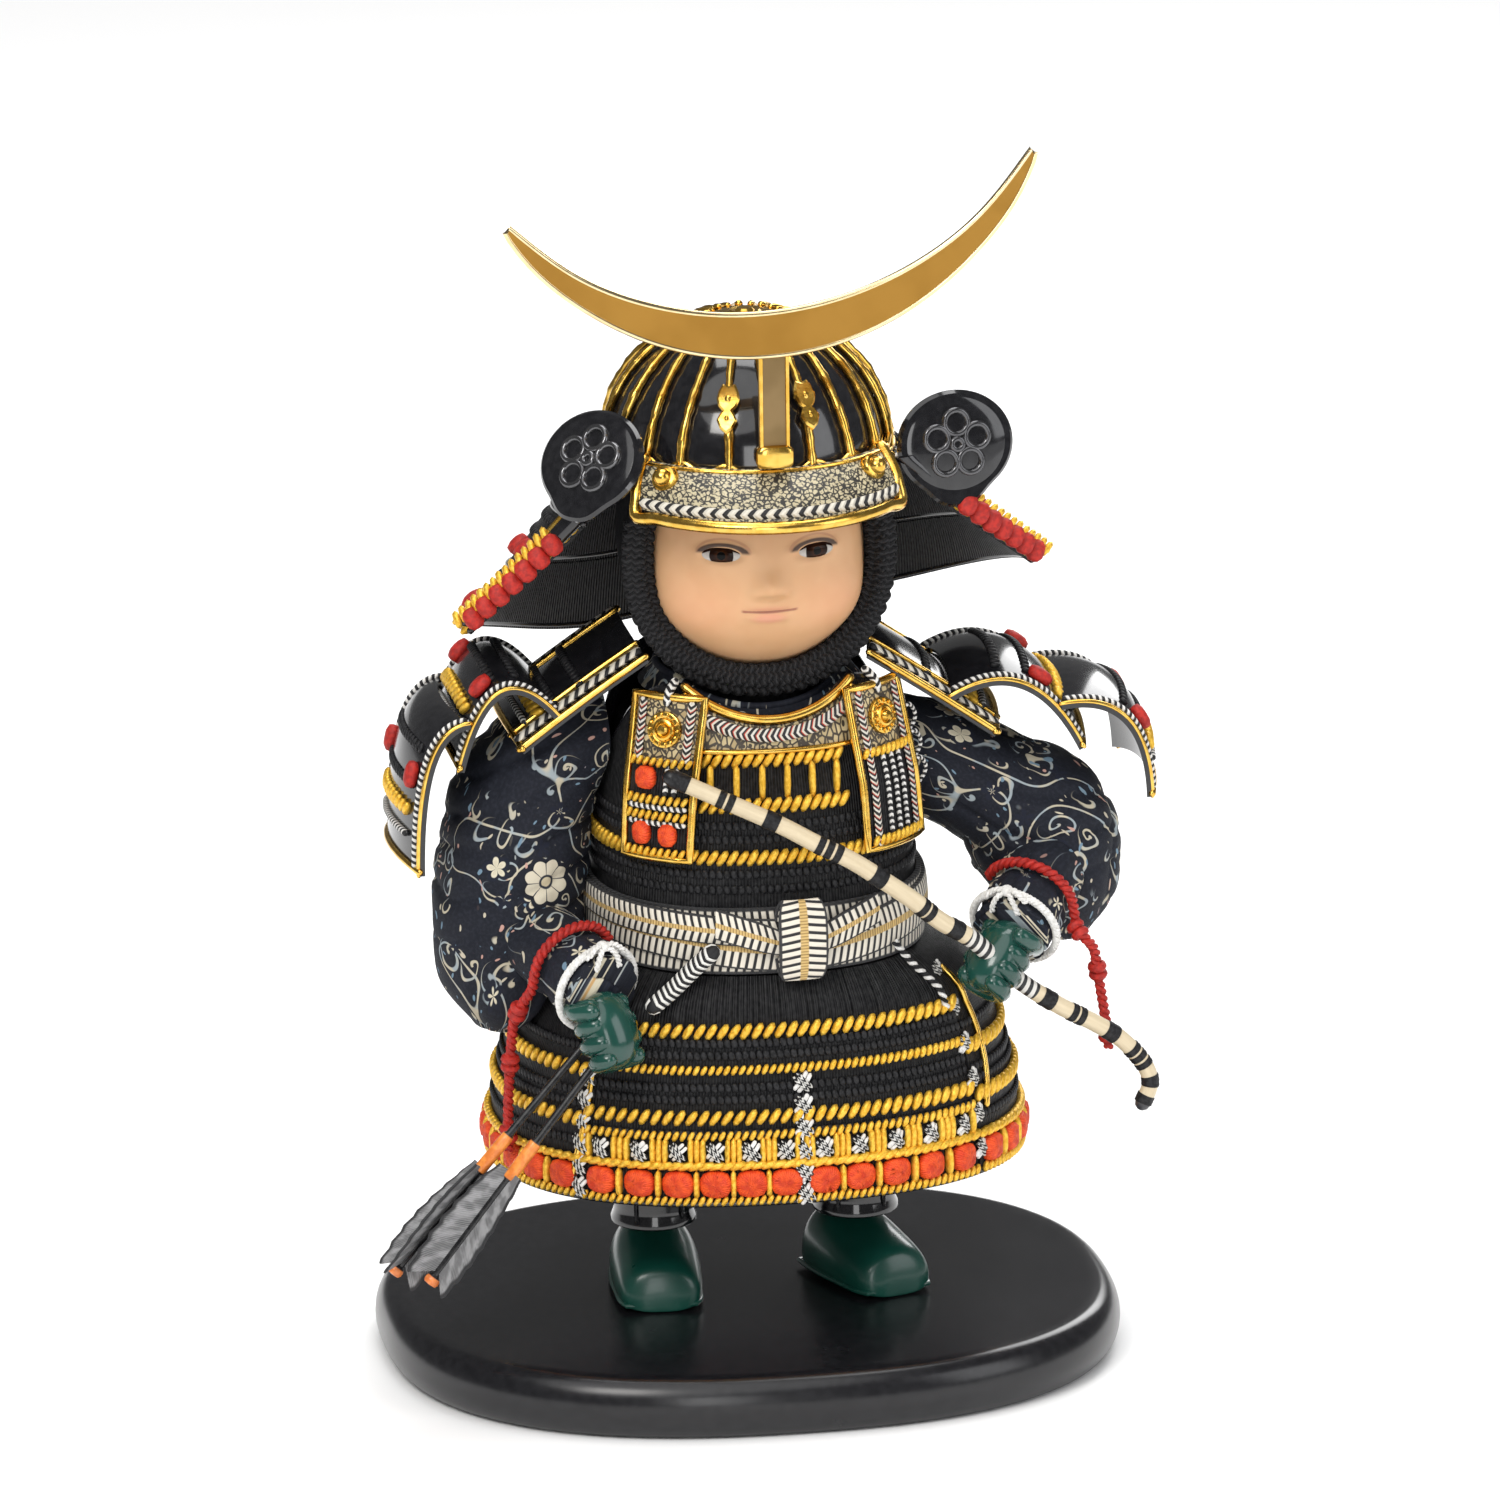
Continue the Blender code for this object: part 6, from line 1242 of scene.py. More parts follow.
def makeSkirt():
    bold, thin, black, posts, hemRow, pads, knots = (Rows() for _ in range(7))
    rims = Shape()

    def row(rows, start, end, z, out, count):
        rows.along(lambda s, o: skirtSpot(start + (end - start) * s, z, o + out), count)

    def single(rows, angle, z, out, outs=None):
        outs = outs or outward(skirtSpot, angle, z)
        rows.chain([skirtSpot(angle + shift, z, out) for shift in (-0.02, 0.02)], [outs, outs])
        return outs
    for name, start, end, top, bottom, drops in skirtSet["panels"]:
        upper, front = name == "skirt_front_upper", "front" in name
        lift, low, high = skirtSet["upperLift"] if upper else 0.0, waist - bottom, waist - top

        def spot(s, t, out):
            pleat = 0.0
            if upper and out > -0.1:
                pleat = 0.45 * abs(sin(pi * 52 * s + sin(9 * s))) * min(1, max(0, (t - 0.42) * 6))
            return skirtSpot(start + (end - start) * s, low + (high - low) * t, out + lift + pleat)
        cols = 312 if upper else max(20, int((end - start) / 1.4))
        Shape().sheet(spot, cols, 20, 1.8 + lift, "threads").make(name + "_shell", "laced_plates", name)
        for drop in drops:
            row(bold, start + 1, end - 1, waist - drop, 0.9 + lift, cols)
        if upper:
            row(thin, -51, 51, waist - 25.6, 1.6, 60)
            for drop in (18.2, 21.6):
                row(black, -51, 51, waist - drop, 1.2, 60)
            continue
        for drop in (31.0, 34.5, 44.5, 48.5) if front else (22.0, 34.5, 38, 48.5):
            row(black, start + 1, end - 1, waist - drop, 0.3, cols)
        # hem: a gold row, the red bundles between gold posts, and the edge row
        row(hemRow, start + 1, end - 1, hem + 11.4, 0.9, cols)
        for rise in (0.9, 20.2) if front else (0.9,):
            row(thin, start + 1, end - 1, hem + rise, 0.9, cols)
        middle = skirtSet["padMiddle"]
        count = max(2, round(lengthOf(trace(20, lambda k: skirtSpot(start + (end - start) * k, middle)))
                             / skirtSet["padPitch"]))
        for k in range(count):
            angle = start + (end - start) * (k + 0.5) / count
            single(pads, angle, middle, 0.4)
            if k:
                single(posts, start + (end - start) * k / count, middle, 0.9)
            if front:
                outs = single(knots, angle, skirtSet["knotZ"], 0.8)
                for shift in (-0.5, -0.34, 0.34):
                    single(posts, angle + shift * (end - start) / count, skirtSet["knotZ"], 0.5, outs)
        rims.tube(trace(30, lambda k: skirtSpot(start + (end - start) * k, hem - 0.2, -0.6)), 1.2, "plate", 10)
    for angle, top, bottom, out in ((-52.5, 30, 62, 0.6), (52.5, 6, 58, 0.6), (4, 30, 63, 0.9)):
        for drop in trace(5, lambda k: top + (bottom - top) * k):
            single(knots, angle, waist - drop, out)
    bold.make("skirt_gold_bold", "gold", 3.3, -33, seed=11)
    thin.make("skirt_gold_thin", "smallGold", 2.2, -28, seed=12)
    hemRow.make("skirt_gold_hem", "gold", 3.0, -70, seed=13)
    black.make("skirt_black_rows", "black", 2.0, 14, seed=14)
    pads.make("skirt_pads", "pad", 50, 0, 0.02, 15)
    posts.make("skirt_posts", "post", 50, 0, 0.03, 16)
    makeKnots(knots, "skirt_knots", 17)
    # gilt curved edges beside the front
    for angle, top, bottom in ((56, 6, 46), (-54.5, 6, 60)):
        rims.tube(trace(16, lambda k: skirtSpot(angle + 3.0 * sin(pi * k), waist - top - (bottom - top) * k, 0.8)),
                  1.0, "gilt", 10)
    rims.make("skirt_rims", "gilt")


makeSkirt()
print("skirt")


# sleeves, cuffs and hands
def splineAt(values, t):
    i = min(int(t), len(values) - 2)
    f = t - i
    a, b, c, d = (values[max(0, min(len(values) - 1, i + k))] for k in (-1, 0, 1, 2))
    return (b * 2 + (c - a) * f + (a * 2 - b * 5 + c * 4 - d) * f ** 2 + (b * 3 - a - c * 3 + d) * f ** 3) * 0.5


def keepOut(spot):
    # cloth lies against the armour and doesn't enter it
    inSkirt = spot.z < waist
    room = 5.0 if waist < spot.z < waist + 22 else 2.4
    a, b = (half + room for half in (skirtHalf(spot.z) if inSkirt else torsoHalf(spot.z)))
    forward = 2 if inSkirt else 3
    reach = (abs(spot.x / a) ** 2.3 + abs((spot.y + forward) / b) ** 2.3) ** (1 / 2.3)
    if 0 < reach < 1 and spot.z > hem - 4:
        spot = Vector((spot.x / reach, (spot.y + forward) / reach - forward, spot.z))
    return spot


def limbSheet(stations, cols, rows, shape, folds, sleeve):
    # a closed tube through the stations (centre, half width, half depth); a sleeve has a round end and keeps out
    centres, across, along = zip(*stations)
    last, wide = len(stations) - 1, Vector((0, 1, 0))
    marks = [(last * j / rows, 1.0, 0.0) for j in range(rows + 1)]
    if sleeve:
        marks += [(last, s, o) for s, o in ((0.8, 1.6), (0.45, 2.6), (0.1, 3.0))]
    rings, uvs, run, before = [], [], 0.0, None
    girth = 2 * pi * (max(across) + max(along)) / 2
    for t, size, shift in marks:
        ahead = (splineAt(centres, min(last, t + 0.02)) - splineAt(centres, max(0, t - 0.02))).normalized()
        second = (wide - ahead * wide.dot(ahead)).normalized()
        first = second.cross(ahead)
        centre = splineAt(centres, t) + ahead * shift
        run += (centre - before).length if before else 0.0
        before = centre
        ring = []
        for k in range(cols):
            turn = 2 * pi * k / cols
            spot = (centre + first * cos(turn) * splineAt(across, t) * size
                    + second * sin(turn) * splineAt(along, t) * size)
            spot += (first * cos(turn) + second * sin(turn)).normalized() * folds(t / last, turn, spot) * size
            ring.append(keepOut(spot) if sleeve else spot)
        rings.append(ring)
        uvs.append([(girth * k / cols, run) for k in range(cols + 1)])
    shape.lattice(rings, uvs, "brocade", True, True)
    return shape


# stations: place, then width and depth as shares of the radius
sleeveSet = dict(radius=22, fill=0.55, stations={
    -1: ((-2.0, 0, -4, 0.62, 0.72), (16.0, 0, -7.9, 0.86, 0.97), (27.5, -1, -23, 1.0, 1.15),
         (31.5, -3, -45, 1.04, 1.22), (34.0, -6, -63, 1.0, 1.16), (36.5, -8, -76, 0.82, 0.97),
         (38.0, -8, -86, 0.4, 0.5)),
    1: ((-2.0, 0, -8, 0.6, 0.7), (17.0, 0, -18, 0.75, 0.95), (32.0, 0, -27, 0.86, 1.08), (45.0, -1, -38, 1.04, 1.18),
        (51.0, -3, -53, 0.9, 1.08), (52.5, -4, -62, 0.68, 0.85), (53.0, -5, -70, 0.34, 0.45))})


def makeSleeve(side):
    radius = sleeveSet["radius"]
    stations = [(armSpot(side, s[:3]), radius * s[3], radius * s[4]) for s in sleeveSet["stations"][side]]

    def folds(share, turn, spot):
        soft = noise.noise(spot * 0.045 + Vector((side * 7, 0, 0))) * 2.0
        run = spot.z * 0.30 + spot.x * side * 0.12 + 2.2 * sin(turn + side)
        crease = (1 - abs(sin(run + 2.4 * noise.noise(spot * 0.035)))) ** 3
        hang = (1 - abs(sin(2.5 * turn + 1.8 * noise.noise(spot * 0.03) + side))) ** 4
        return soft - 1.9 * crease * sin(pi * min(1.0, share * 1.25)) ** 1.5 - 1.6 * hang * share
    shape = limbSheet(stations, 110, 90, Shape(), folds, True)
    made = shape.make("sleeve_cloth_" + armTag[side], "brocade", "sleeve_" + armTag[side], angle=180)
    return stations[3][0].lerp(stations[4][0], 0.6)


# loops and tails of the white tie: steps across, up and along the wrist
tieSet = dict(loop=((0, 0, 0), (3, 0.9, 1), (6, -1.2, 2.2), (5.8, -2.2, 0.2), (2.4, -0.4, -0.6), (0, 0, 0)),
              tail=((0, 0, 0), (2, -0.4, 2.5), (3.4, -2.6, 3.6), (4, -5, 4)), lift=13.4, back=2.0)


def makeCuff(side, inside):
    start, end, axis = wristOf(side)
    length = (end - start).length
    redAt, whiteAt = cordSet["ringAt"], 1 - tieSet["back"] / length

    def gather(share, turn, spot):
        # tight under the cords, with small pleats beside them
        along = (spot - start).dot(axis) / length
        tight = exp(-((along - redAt) / 0.08) ** 2) + exp(-((along - whiteAt) / 0.06) ** 2)
        near = exp(-((along - redAt) / 0.22) ** 2) + exp(-((along - whiteAt) / 0.18) ** 2)
        pleats = 0.55 * near * sin(14 * turn + 2 * sin(turn)) * (1 - min(1, tight))
        return pleats - 0.9 * tight + noise.noise(spot * 0.09) * 0.7
    route = [(inside, 10.4, 10.4), (start, 11.6, 11.6), (start.lerp(end, 0.5), 11.8, 11.8), (end, 11.6, 11.6)]
    route += [(end + axis * shift, r, r) for shift, r in ((0.9, 11.0), (0.2, 9.2), (-1.5, 8.6))]
    cuff = limbSheet(route, 96, 70, Shape(), gather, False)
    # a near-black cloth disc over the cuff's mouth: painted shade inside the cuff
    mouth = Matrix.Translation(end - axis * 1.5) @ axis.to_track_quat("Z", "Y").to_matrix().to_4x4()
    cuff.lathe([(0, 0.5), (8.3, 0.5), (9.0, 0.1), (8.6, -0.7), (0, -0.7)], "plainCloth", 48, mouth)
    cuff.make("cuff_cloth_" + armTag[side], "brocade", "cuff_" + armTag[side], angle=180)
    # white braided tie with a bow on the back of the wrist
    centre = end - axis * tieSet["back"]
    ring = ringPoints(centre, axis, cordSet["cuffRadius"] + 1.0 + cordSet["cuffGap"], 0, 352, 44)
    tie = Shape().rope(ring, 1.25, ("white",) * 3, 3.4)
    up = (Vector((0, 0, 1)) - axis * axis.z).normalized()
    across = up.cross(axis)
    knot = centre + up * tieSet["lift"]
    for sign in (-1, 1):
        for part, count in (("loop", 24), ("tail", 16)):
            points = [knot + across * sign * x + up * y + axis * z for x, y, z in tieSet[part]]
            tie.rope(smoothRoute(points, count), 0.9, ("white",) * 2, 2.8)
    tie.blob((1.9, 1.9, 1.7), "white", Matrix.Translation(knot), 2.2, 12, 8)
    tie.make("cuff_tie_" + armTag[side], "white_cord", "cuff_cord_" + armTag[side])


handSet = dict(at={-1: (12.5, -60, -75.5), 1: (24.5, -49.5, -63.5)},
               way={-1: (0.25, -0.35, -0.9), 1: (-0.55, -0.45, -0.7)}, fingers=(0.88, 1.0, 1.0, 0.92),
               thumb=((-7.4, 3.0, 6.5), (-8.0, -2.0, 7.5), (-5.0, -7.6, 9.0), (-0.5, -9.4, 8.2)))


def makeHand(side):
    way = -Vector(handSet["way"][side]).normalized()
    place = Matrix.Translation(armSpot(side, handSet["at"][side])) @ way.to_track_quat("Z", "Y").to_matrix().to_4x4()
    hand = Shape().blob((8.2, 6.6, 11.4), "enamel", place, 2.3, 28, 18)
    for k, narrow in enumerate(handSet["fingers"]):
        # each finger curls round the front of the fist
        route = []
        for turn in trace(12, lambda s: radians(-118 + 236 * s)):
            spot = Vector((7.0 * narrow * sin(turn), -1.0 - 5.9 * narrow * cos(turn), 5.3 * k - 8.6 + 0.5 * sin(turn)))
            route.append(place @ spot)
        hand.tube(route, lambda share: 2.75 + 0.15 * sin(pi * share * 3) ** 2, "enamel", 14)
    thumb = smoothRoute([place @ Vector((side * x, y, z)) for x, y, z in handSet["thumb"]], 14)
    hand.tube(thumb, 2.7, "enamel", 14)
    hand.make("glove_" + armTag[side], "green_enamel", "hand_" + armTag[side], angle=75)


for side in (-1, 1):
    makeCuff(side, makeSleeve(side))
    makeHand(side)
print("arms")

# shoulder guards: inner, bend and outer place of each plate, as x and z
platesSet = dict(depth=27, arch=5, thick=1.4, profiles={
    -1: (((-5.0, 25.5), (14.0, 13.5), (32.0, 0.0)), ((20.6, 9.2), (40.0, 33.0), (50.0, -5.3)),
         ((46.6, 8.6), (62.0, 8.0), (62.0, -36.0))),
    1: (((-8.0, 23.0), (11.0, 10.5), (29.5, -3.0)), ((16.0, 8.6), (40.0, 22.0), (55.0, -9.0)),
        ((48.4, 4.2), (74.0, 8.0), (75.0, -25.0)))})


def makeShoulderGuard(side):
    tag = armTag[side]
    gold, black, red, braids, rims, cords = Rows(), Rows(), Rows(), Shape(), Shape(), Shape()
    for row, profile in enumerate(platesSet["profiles"][side]):
        inner, bend, outer = (armSpot(side, (x, 0.0, z)) for x, z in profile)
        fall = (outer - inner).normalized()
        arched = Vector((-fall.z * side, 0, fall.x * side)) * platesSet["arch"]

        def spot(s, t, out):
            slope, lean = ((bend - inner) * (1 - s) + (outer - bend) * s).normalized(), 2 * t - 1
            here = inner.lerp(bend, s).lerp(bend.lerp(outer, s), s) + arched * (1 - lean ** 2)
            here += Vector((-slope.z * side, 0, slope.x * side)) * out
            return Vector((here.x, platesSet["depth"] * lean, here.z))
        name = "shoulder_guard_%s_%d" % (tag, row + 1)
        Shape().sheet(spot, 30, 24, platesSet["thick"], "plate").make(name + "_plate", "black_lacquer", name)
        up = trace(20, lambda k: outward(spot, k, 0.0))
        for near, sign in ((0.0, 1), (1.0, -1)):
            rims.tube(trace(20, lambda k: spot(k, near + sign * 0.012, 0.2)), 0.7 if row else 1.15, "gilt")
            if row:
                cords.tube(trace(20, lambda k: spot(0.02 + 0.96 * k, near + sign * 0.05, 0.4)), 0.9, "twist")
            else:
                rims.tube(trace(20, lambda k: spot(k, near + sign * 0.16, 0.25)), 0.95, "gilt")
                braids.tube(trace(20, lambda k: spot(0.02 + 0.96 * k, near + sign * 0.085, 0.4)), 2.4, "visorBraid",
                            12, flat=0.45, outs=up)
        rims.tube(trace(20, lambda k: spot(0.985, k, 0.2)), 1.1, "gilt")
        cords.tube(trace(20, lambda k: spot(0.88, 0.16 + 0.68 * k, 0.6)), 1.0, "twist")
        for s in (0.3, 0.52) if row == 1 else (0.45, 0.66):
            black.along(lambda k, out: spot(s, 0.15 + 0.7 * k, out + 0.3), 16)
        gold.along(lambda k, out: spot(0.78, 0.16 + 0.68 * k, out + 0.7), 16)
        if row:
            for t in (0.14, 0.86):
                red.along(lambda k, out: spot(0.60 + 0.02 * k, t, out + 1.2), 2)
    rims.make("shoulder_rims_" + tag, "gilt")
    braids.make("shoulder_braids_" + tag, "striped_sash")
    cords.make("shoulder_cords_" + tag, "white_cord")
    black.make("shoulder_black_" + tag, "black", 2.3, 14, seed=21)
    gold.make("shoulder_gold_" + tag, "gold", 3.1, -33, seed=22)
    red.make("shoulder_red_" + tag, "red", 30, 90, seed=23)


for side in (-1, 1):
    makeShoulderGuard(side)
print("shoulder guards")


# head, hood and collar
def faceRelief(angle, lift):
    def bump(height, x, wide, y, tall):
        return height * exp(-((abs(angle) - x) / wide) ** 2 - ((lift - y) / tall) ** 2)
    relief = bump(2.0, 50, 20, -24, 17)
    if abs(angle) < 60:
        # nose and its wings, mouth, lips, eye sockets, cheeks
        relief += bump(4.0, 0, 6.4, -9, 5.4) + bump(0.9, 6.8, 3.0, -11.5, 3.0) + bump(0.9, 36, 15, -22, 13)
        mouth = lift - faceSet["mouthLift"] - faceSet["curve"] * angle ** 2
        lips = 0.6 * exp(-((mouth + 3.0) / 2.0) ** 2) + 0.48 * exp(-((mouth - 2.4) / 1.7) ** 2)
        relief += exp(-(angle / 11) ** 6) * (lips - 0.75 * exp(-(mouth / 1.1) ** 2))
        x, y = (abs(angle) - faceSet["eyeTurn"]) / 10.3, (lift - faceSet["eyeLift"]) / 4.3
        reach = sqrt(x * x + y * y)
        relief += 0.75 * exp(-((reach - 1.18) / 0.2) ** 2) * (1.0 if y > 0 else 0.45) - 1.3 * max(0.0, 1 - reach)
    return relief


def makeHead():
    lifts, angles = trace(120, lambda k: 178 * k - 89), trace(180, lambda k: 360 * k - 180)
    rows = [[headSpot(angle, lift, faceRelief(angle, lift)) for angle in angles[:-1]] for lift in lifts]
    head = Shape()
    head.lattice(rows, [[(angle, lift) for angle in angles] for lift in lifts], "skin", True, True)
    head.make("head_shell", "skin", "head", angle=180)
    for side in (-1, 1):
        x = side * 13.3
        centre = Vector((x, -6 - 36 * sqrt(1 - (x / 33) ** 2) + 1.1, headCentre + 3.6))
        place = Matrix.Translation(centre) @ Matrix.Rotation(radians(side * 20), 4, "Z")
        rings, marks = [], []
        for lift in trace(24, lambda k: pi * (k - 0.5)):
            r = max(0.002, cos(lift))
            spots = [Vector((6.3 * r * sin(a), -2.2 * r * cos(a), 2.6 * sin(lift)))
                     for a in trace(48, lambda k: 2 * pi * k)]
            rings.append([place @ p for p in spots[:48]])
            marks.append([(p.x, p.z) for p in spots])
        eye = Shape()
        eye.lattice(rings, marks, "eye", True, True)
        eye.make("eyeball_" + armTag[side], "eye_glass", "eye_" + armTag[side], angle=180)


hoodSet = dict(radius=4.7, out=5.1, grow=(0.62, 0.86, 1.0, 1.0, 0.99),
               cord=((65, 16), (65, 2), (65, -14), (62, -29), (51, -45), (29, -56)), chin=(0, -59.5))


def makeHood():
    low = headCentre - 34

    def spot(s, t, out):
        # round the back from one side of the face to the other
        grow = splineAt(hoodSet["grow"], 4 * min(1.0, t * 1.05))
        reach = out - 1.2 * exp(-(min(s, 1 - s) / 0.02) ** 2)
        return oval(64 + 232 * s, (38 + reach) * grow, (41 + reach) * grow, 3.6, z=low + (helmet + 2 - low) * t)
    hood = Shape().sheet(spot, 120, 30, 3.6, "plainCloth")
    for s in (0.0, 1.0):
        hood.tube(trace(20, lambda t: spot(s, t, -1.8)), 1.9, "plainCloth", 12)
    hood.make("hood_cloth", "black_cloth", "hood", angle=60)
    neck = Matrix.Translation((0, -2, waist + 76))
    neck = Shape().lathe([(0, 0), (17, 0), (17.5, 8), (18.5, 16), (0, 16)], "plainCloth", 40, neck)
    neck.make("neck_cloth", "black_cloth")

    def knit(u, v):
        # rows of slanted stitches
        fold = abs((v * 5) % 1 - 0.5) * 2
        return 1.5 * abs(sin(pi * (u / 3.4 + fold * 0.7))) ** 0.7 * abs(sin(pi * v * 5)) ** 0.5 - 1.2
    cord = [(-angle, lift) for angle, lift in hoodSet["cord"]] + [hoodSet["chin"], *hoodSet["cord"][::-1]]
    route = smoothRoute([headSpot(angle, lift, hoodSet["out"]) for angle, lift in cord], 260)
    chin = Shape().tube(route, hoodSet["radius"], "knit", 72, bump=knit)
    chin.make("chin_strap", "black_cord", "chin_cord", angle=180)


def makeCollar():
    def spot(s, t, out):
        rise = 7 * min(1.0, abs(wrapped(360 * s)) / 60) ** 2
        return oval(360 * s, 32.5 - 4.5 * t + out, 30.1 - 2.5 * t + out, 3, 2.1, chestTop - 15.5 + rise + 5.5 * t)
    collar = Shape().sheet(spot, 96, 6, 1.6, "brocade", seam=True)
    collar.tube(trace(96, lambda s: spot(s, 1.0, -0.8))[:-1], 1.15, "brocade", 10, True)
    collar.make("collar_cloth", "brocade", "robe_collar")


makeHead()
makeHood()
makeCollar()
print("head")

# helmet; the drop is half of the outline of the two ornaments above the visor
helmetSet = dict(
    ribs=20, drop=((0.0, -6.5), (1.6, -5.2), (2.6, -3.0), (1.9, -1.4), (1.3, -0.5), (2.3, 0.6), (2.9, 2.5), (2.5, 4.6),
                   (1.6, 6.5), (0, 5.9)),
    crown=((0, 3.6), (2.2, 3.4), (2.8, 2.6), (4.2, 2.9), (5.2, 2.0), (8.2, 1.9), (10.4, 1.1), (11.4, -0.3),
           (10.6, -1.6), (0, -1.6)),
    stud=((0, 4.6), (1.0, 4.45), (2.0, 3.8), (2.5, 2.8), (2.7, 1.9), (3.5, 1.7), (4.0, 1.0), (4.1, 0.2), (4.0, -0.7),
          (0, -0.7)),
    holder=(8.6, 43), crest=dict(span=154, rise=47, width=12.5, thick=1.6, tilt=5.7))


def makeBowl():
    bowl = Shape().sheet(lambda s, t, out: bowlSpot(360 * s, 89.3 * t, out), 128, 40, 2.0, "lacquer", seam=True)
    bowl.make("bowl_shell", "black_lacquer", "helmet_bowl")
    ribs = Shape()
    for i in range(helmetSet["ribs"]):
        sway = random.Random(i).uniform(-1, 1)
        route = trace(30, lambda t: bowlSpot(18 * i + 1.1 * sin(pi * t * 1.5 + sway * 3), 2 + 73 * t, 1.15))
        ribs.tube(route, lambda share: 1.45 - 0.45 * share, "gilt",
                  bump=lambda u, v: 0.28 * sin(u * 0.9 + i) * sin(u * 0.37 + 2 * i))
    top = math.degrees(math.asin(5 / 39))

    def wave(s):
        return top * (0.75 + 0.25 * cos(2 * pi * s * helmetSet["ribs"]))
    ribs.sheet(lambda s, t, out: bowlSpot(360 * s, 0.6 + (wave(s) - 0.6) * t, 1.6 + out), 192, 4, 1.3, "gilt",
               seam=True)
    ribs.tube(trace(192, lambda k: bowlSpot(360 * k, wave(k), 1.5))[:-1], 0.75, "gilt", 8, True)
    ribs.tube(trace(96, lambda k: bowlSpot(360 * k, 0.8, 1.6))[:-1], 0.9, "gilt", 8, True)
    ribs.lathe(helmetSet["crown"], "gilt", 48, Matrix.Translation((0, -2, helmet + 37.4)))
    drop = list(helmetSet["drop"]) + [(-x, y) for x, y in helmetSet["drop"][-2:0:-1]]
    for side in (-1, 1):
        angle = side * 18
        up = (bowlSpot(angle, 33) - bowlSpot(angle, 27)).normalized()
        across = Vector((cos(radians(angle)), sin(radians(angle)), 0))
        turn = Matrix((across, up, across.cross(up))).transposed().to_4x4()
        place = Matrix.Translation(bowlSpot(angle, 30, 2.2)) @ turn
        ribs.plate([(x * 1.15, y * 1.15) for x, y in drop], 2.0, "gilt", place, 0.6)
        for y, half in ((2.8, (1.0, 1.2, 0.7)), (-3.0, (0.8, 1.1, 0.6))):
            ribs.blob(half, "gilt", place @ Matrix.Translation((0, y, 0.8)), sides=12, rings=6)
    ribs.make("bowl_ribs", "gilt", "helmet_ribs")


def makeVisor():
    def spot(s, t, out):
        return visorSpot(100 * (s - 0.5), t, 1.4 + out)
    Shape().sheet(spot, 80, 16, 1.4, "visor").make("visor_plate", "leather_print", "visor")
    outs = trace(60, lambda k: outward(spot, k, 0.1))
    trim = Shape().tube(trace(60, lambda k: spot(0.01 + 0.98 * k, 0.17, 0.4)), 1.6, "visorBraid", 12, flat=0.6,
                        outs=outs)
    trim.make("visor_braid", "striped_sash")
    lines = Shape().tube(trace(60, lambda k: spot(0.01 + 0.98 * k, 0.97, 0.3)), 0.6, "gilt", 8)
    # the rim runs outside the plate's sides and front edge
    half, out = 50, 0.7
    places = [(-half, 1 - i / 4) for i in range(5)] + [(-half + 5 * i, 0) for i in range(1, 20)]
    places += [(half, i / 4) for i in range(5)]
    moved, last = [], len(places) - 1
    for i, (angle, share) in enumerate(places):
        turn, shift = radians(angle), Vector((0, 0, 0))
        if i <= 4 or i >= last - 4:
            shift += Vector((cos(turn), sin(turn), 0)) * (1 if i > 4 else -1)
        if 4 <= i <= last - 4:
            shift += (visorSpot(angle, 0, out) - visorSpot(angle, 0.1, out)).normalized()
        moved.append(visorSpot(angle, share, out) + shift.normalized() * (3.15 if i in (4, last - 4) else 2.1))
    lines.tube(smoothRoute(moved, 90), 1.9, "gilt", 16)
    for side in (-1, 1):
        angle = side * 40.5
        normal = Vector((sin(radians(angle)), -cos(radians(angle)), 0.55)).normalized()
        place = Matrix.Translation(visorSpot(angle, 0.74, 1.4)) @ normal.to_track_quat("Z", "Y").to_matrix().to_4x4()
        lines.lathe(helmetSet["stud"], "gilt", 36, place)
        for bead in circle(2.95, 10, 1.2):
            lines.blob((0.7, 0.55, 0.45), "gilt", place @ Matrix.Translation(bead), sides=8, rings=4)
    lines.make("visor_trim", "gilt", "visor_rim")


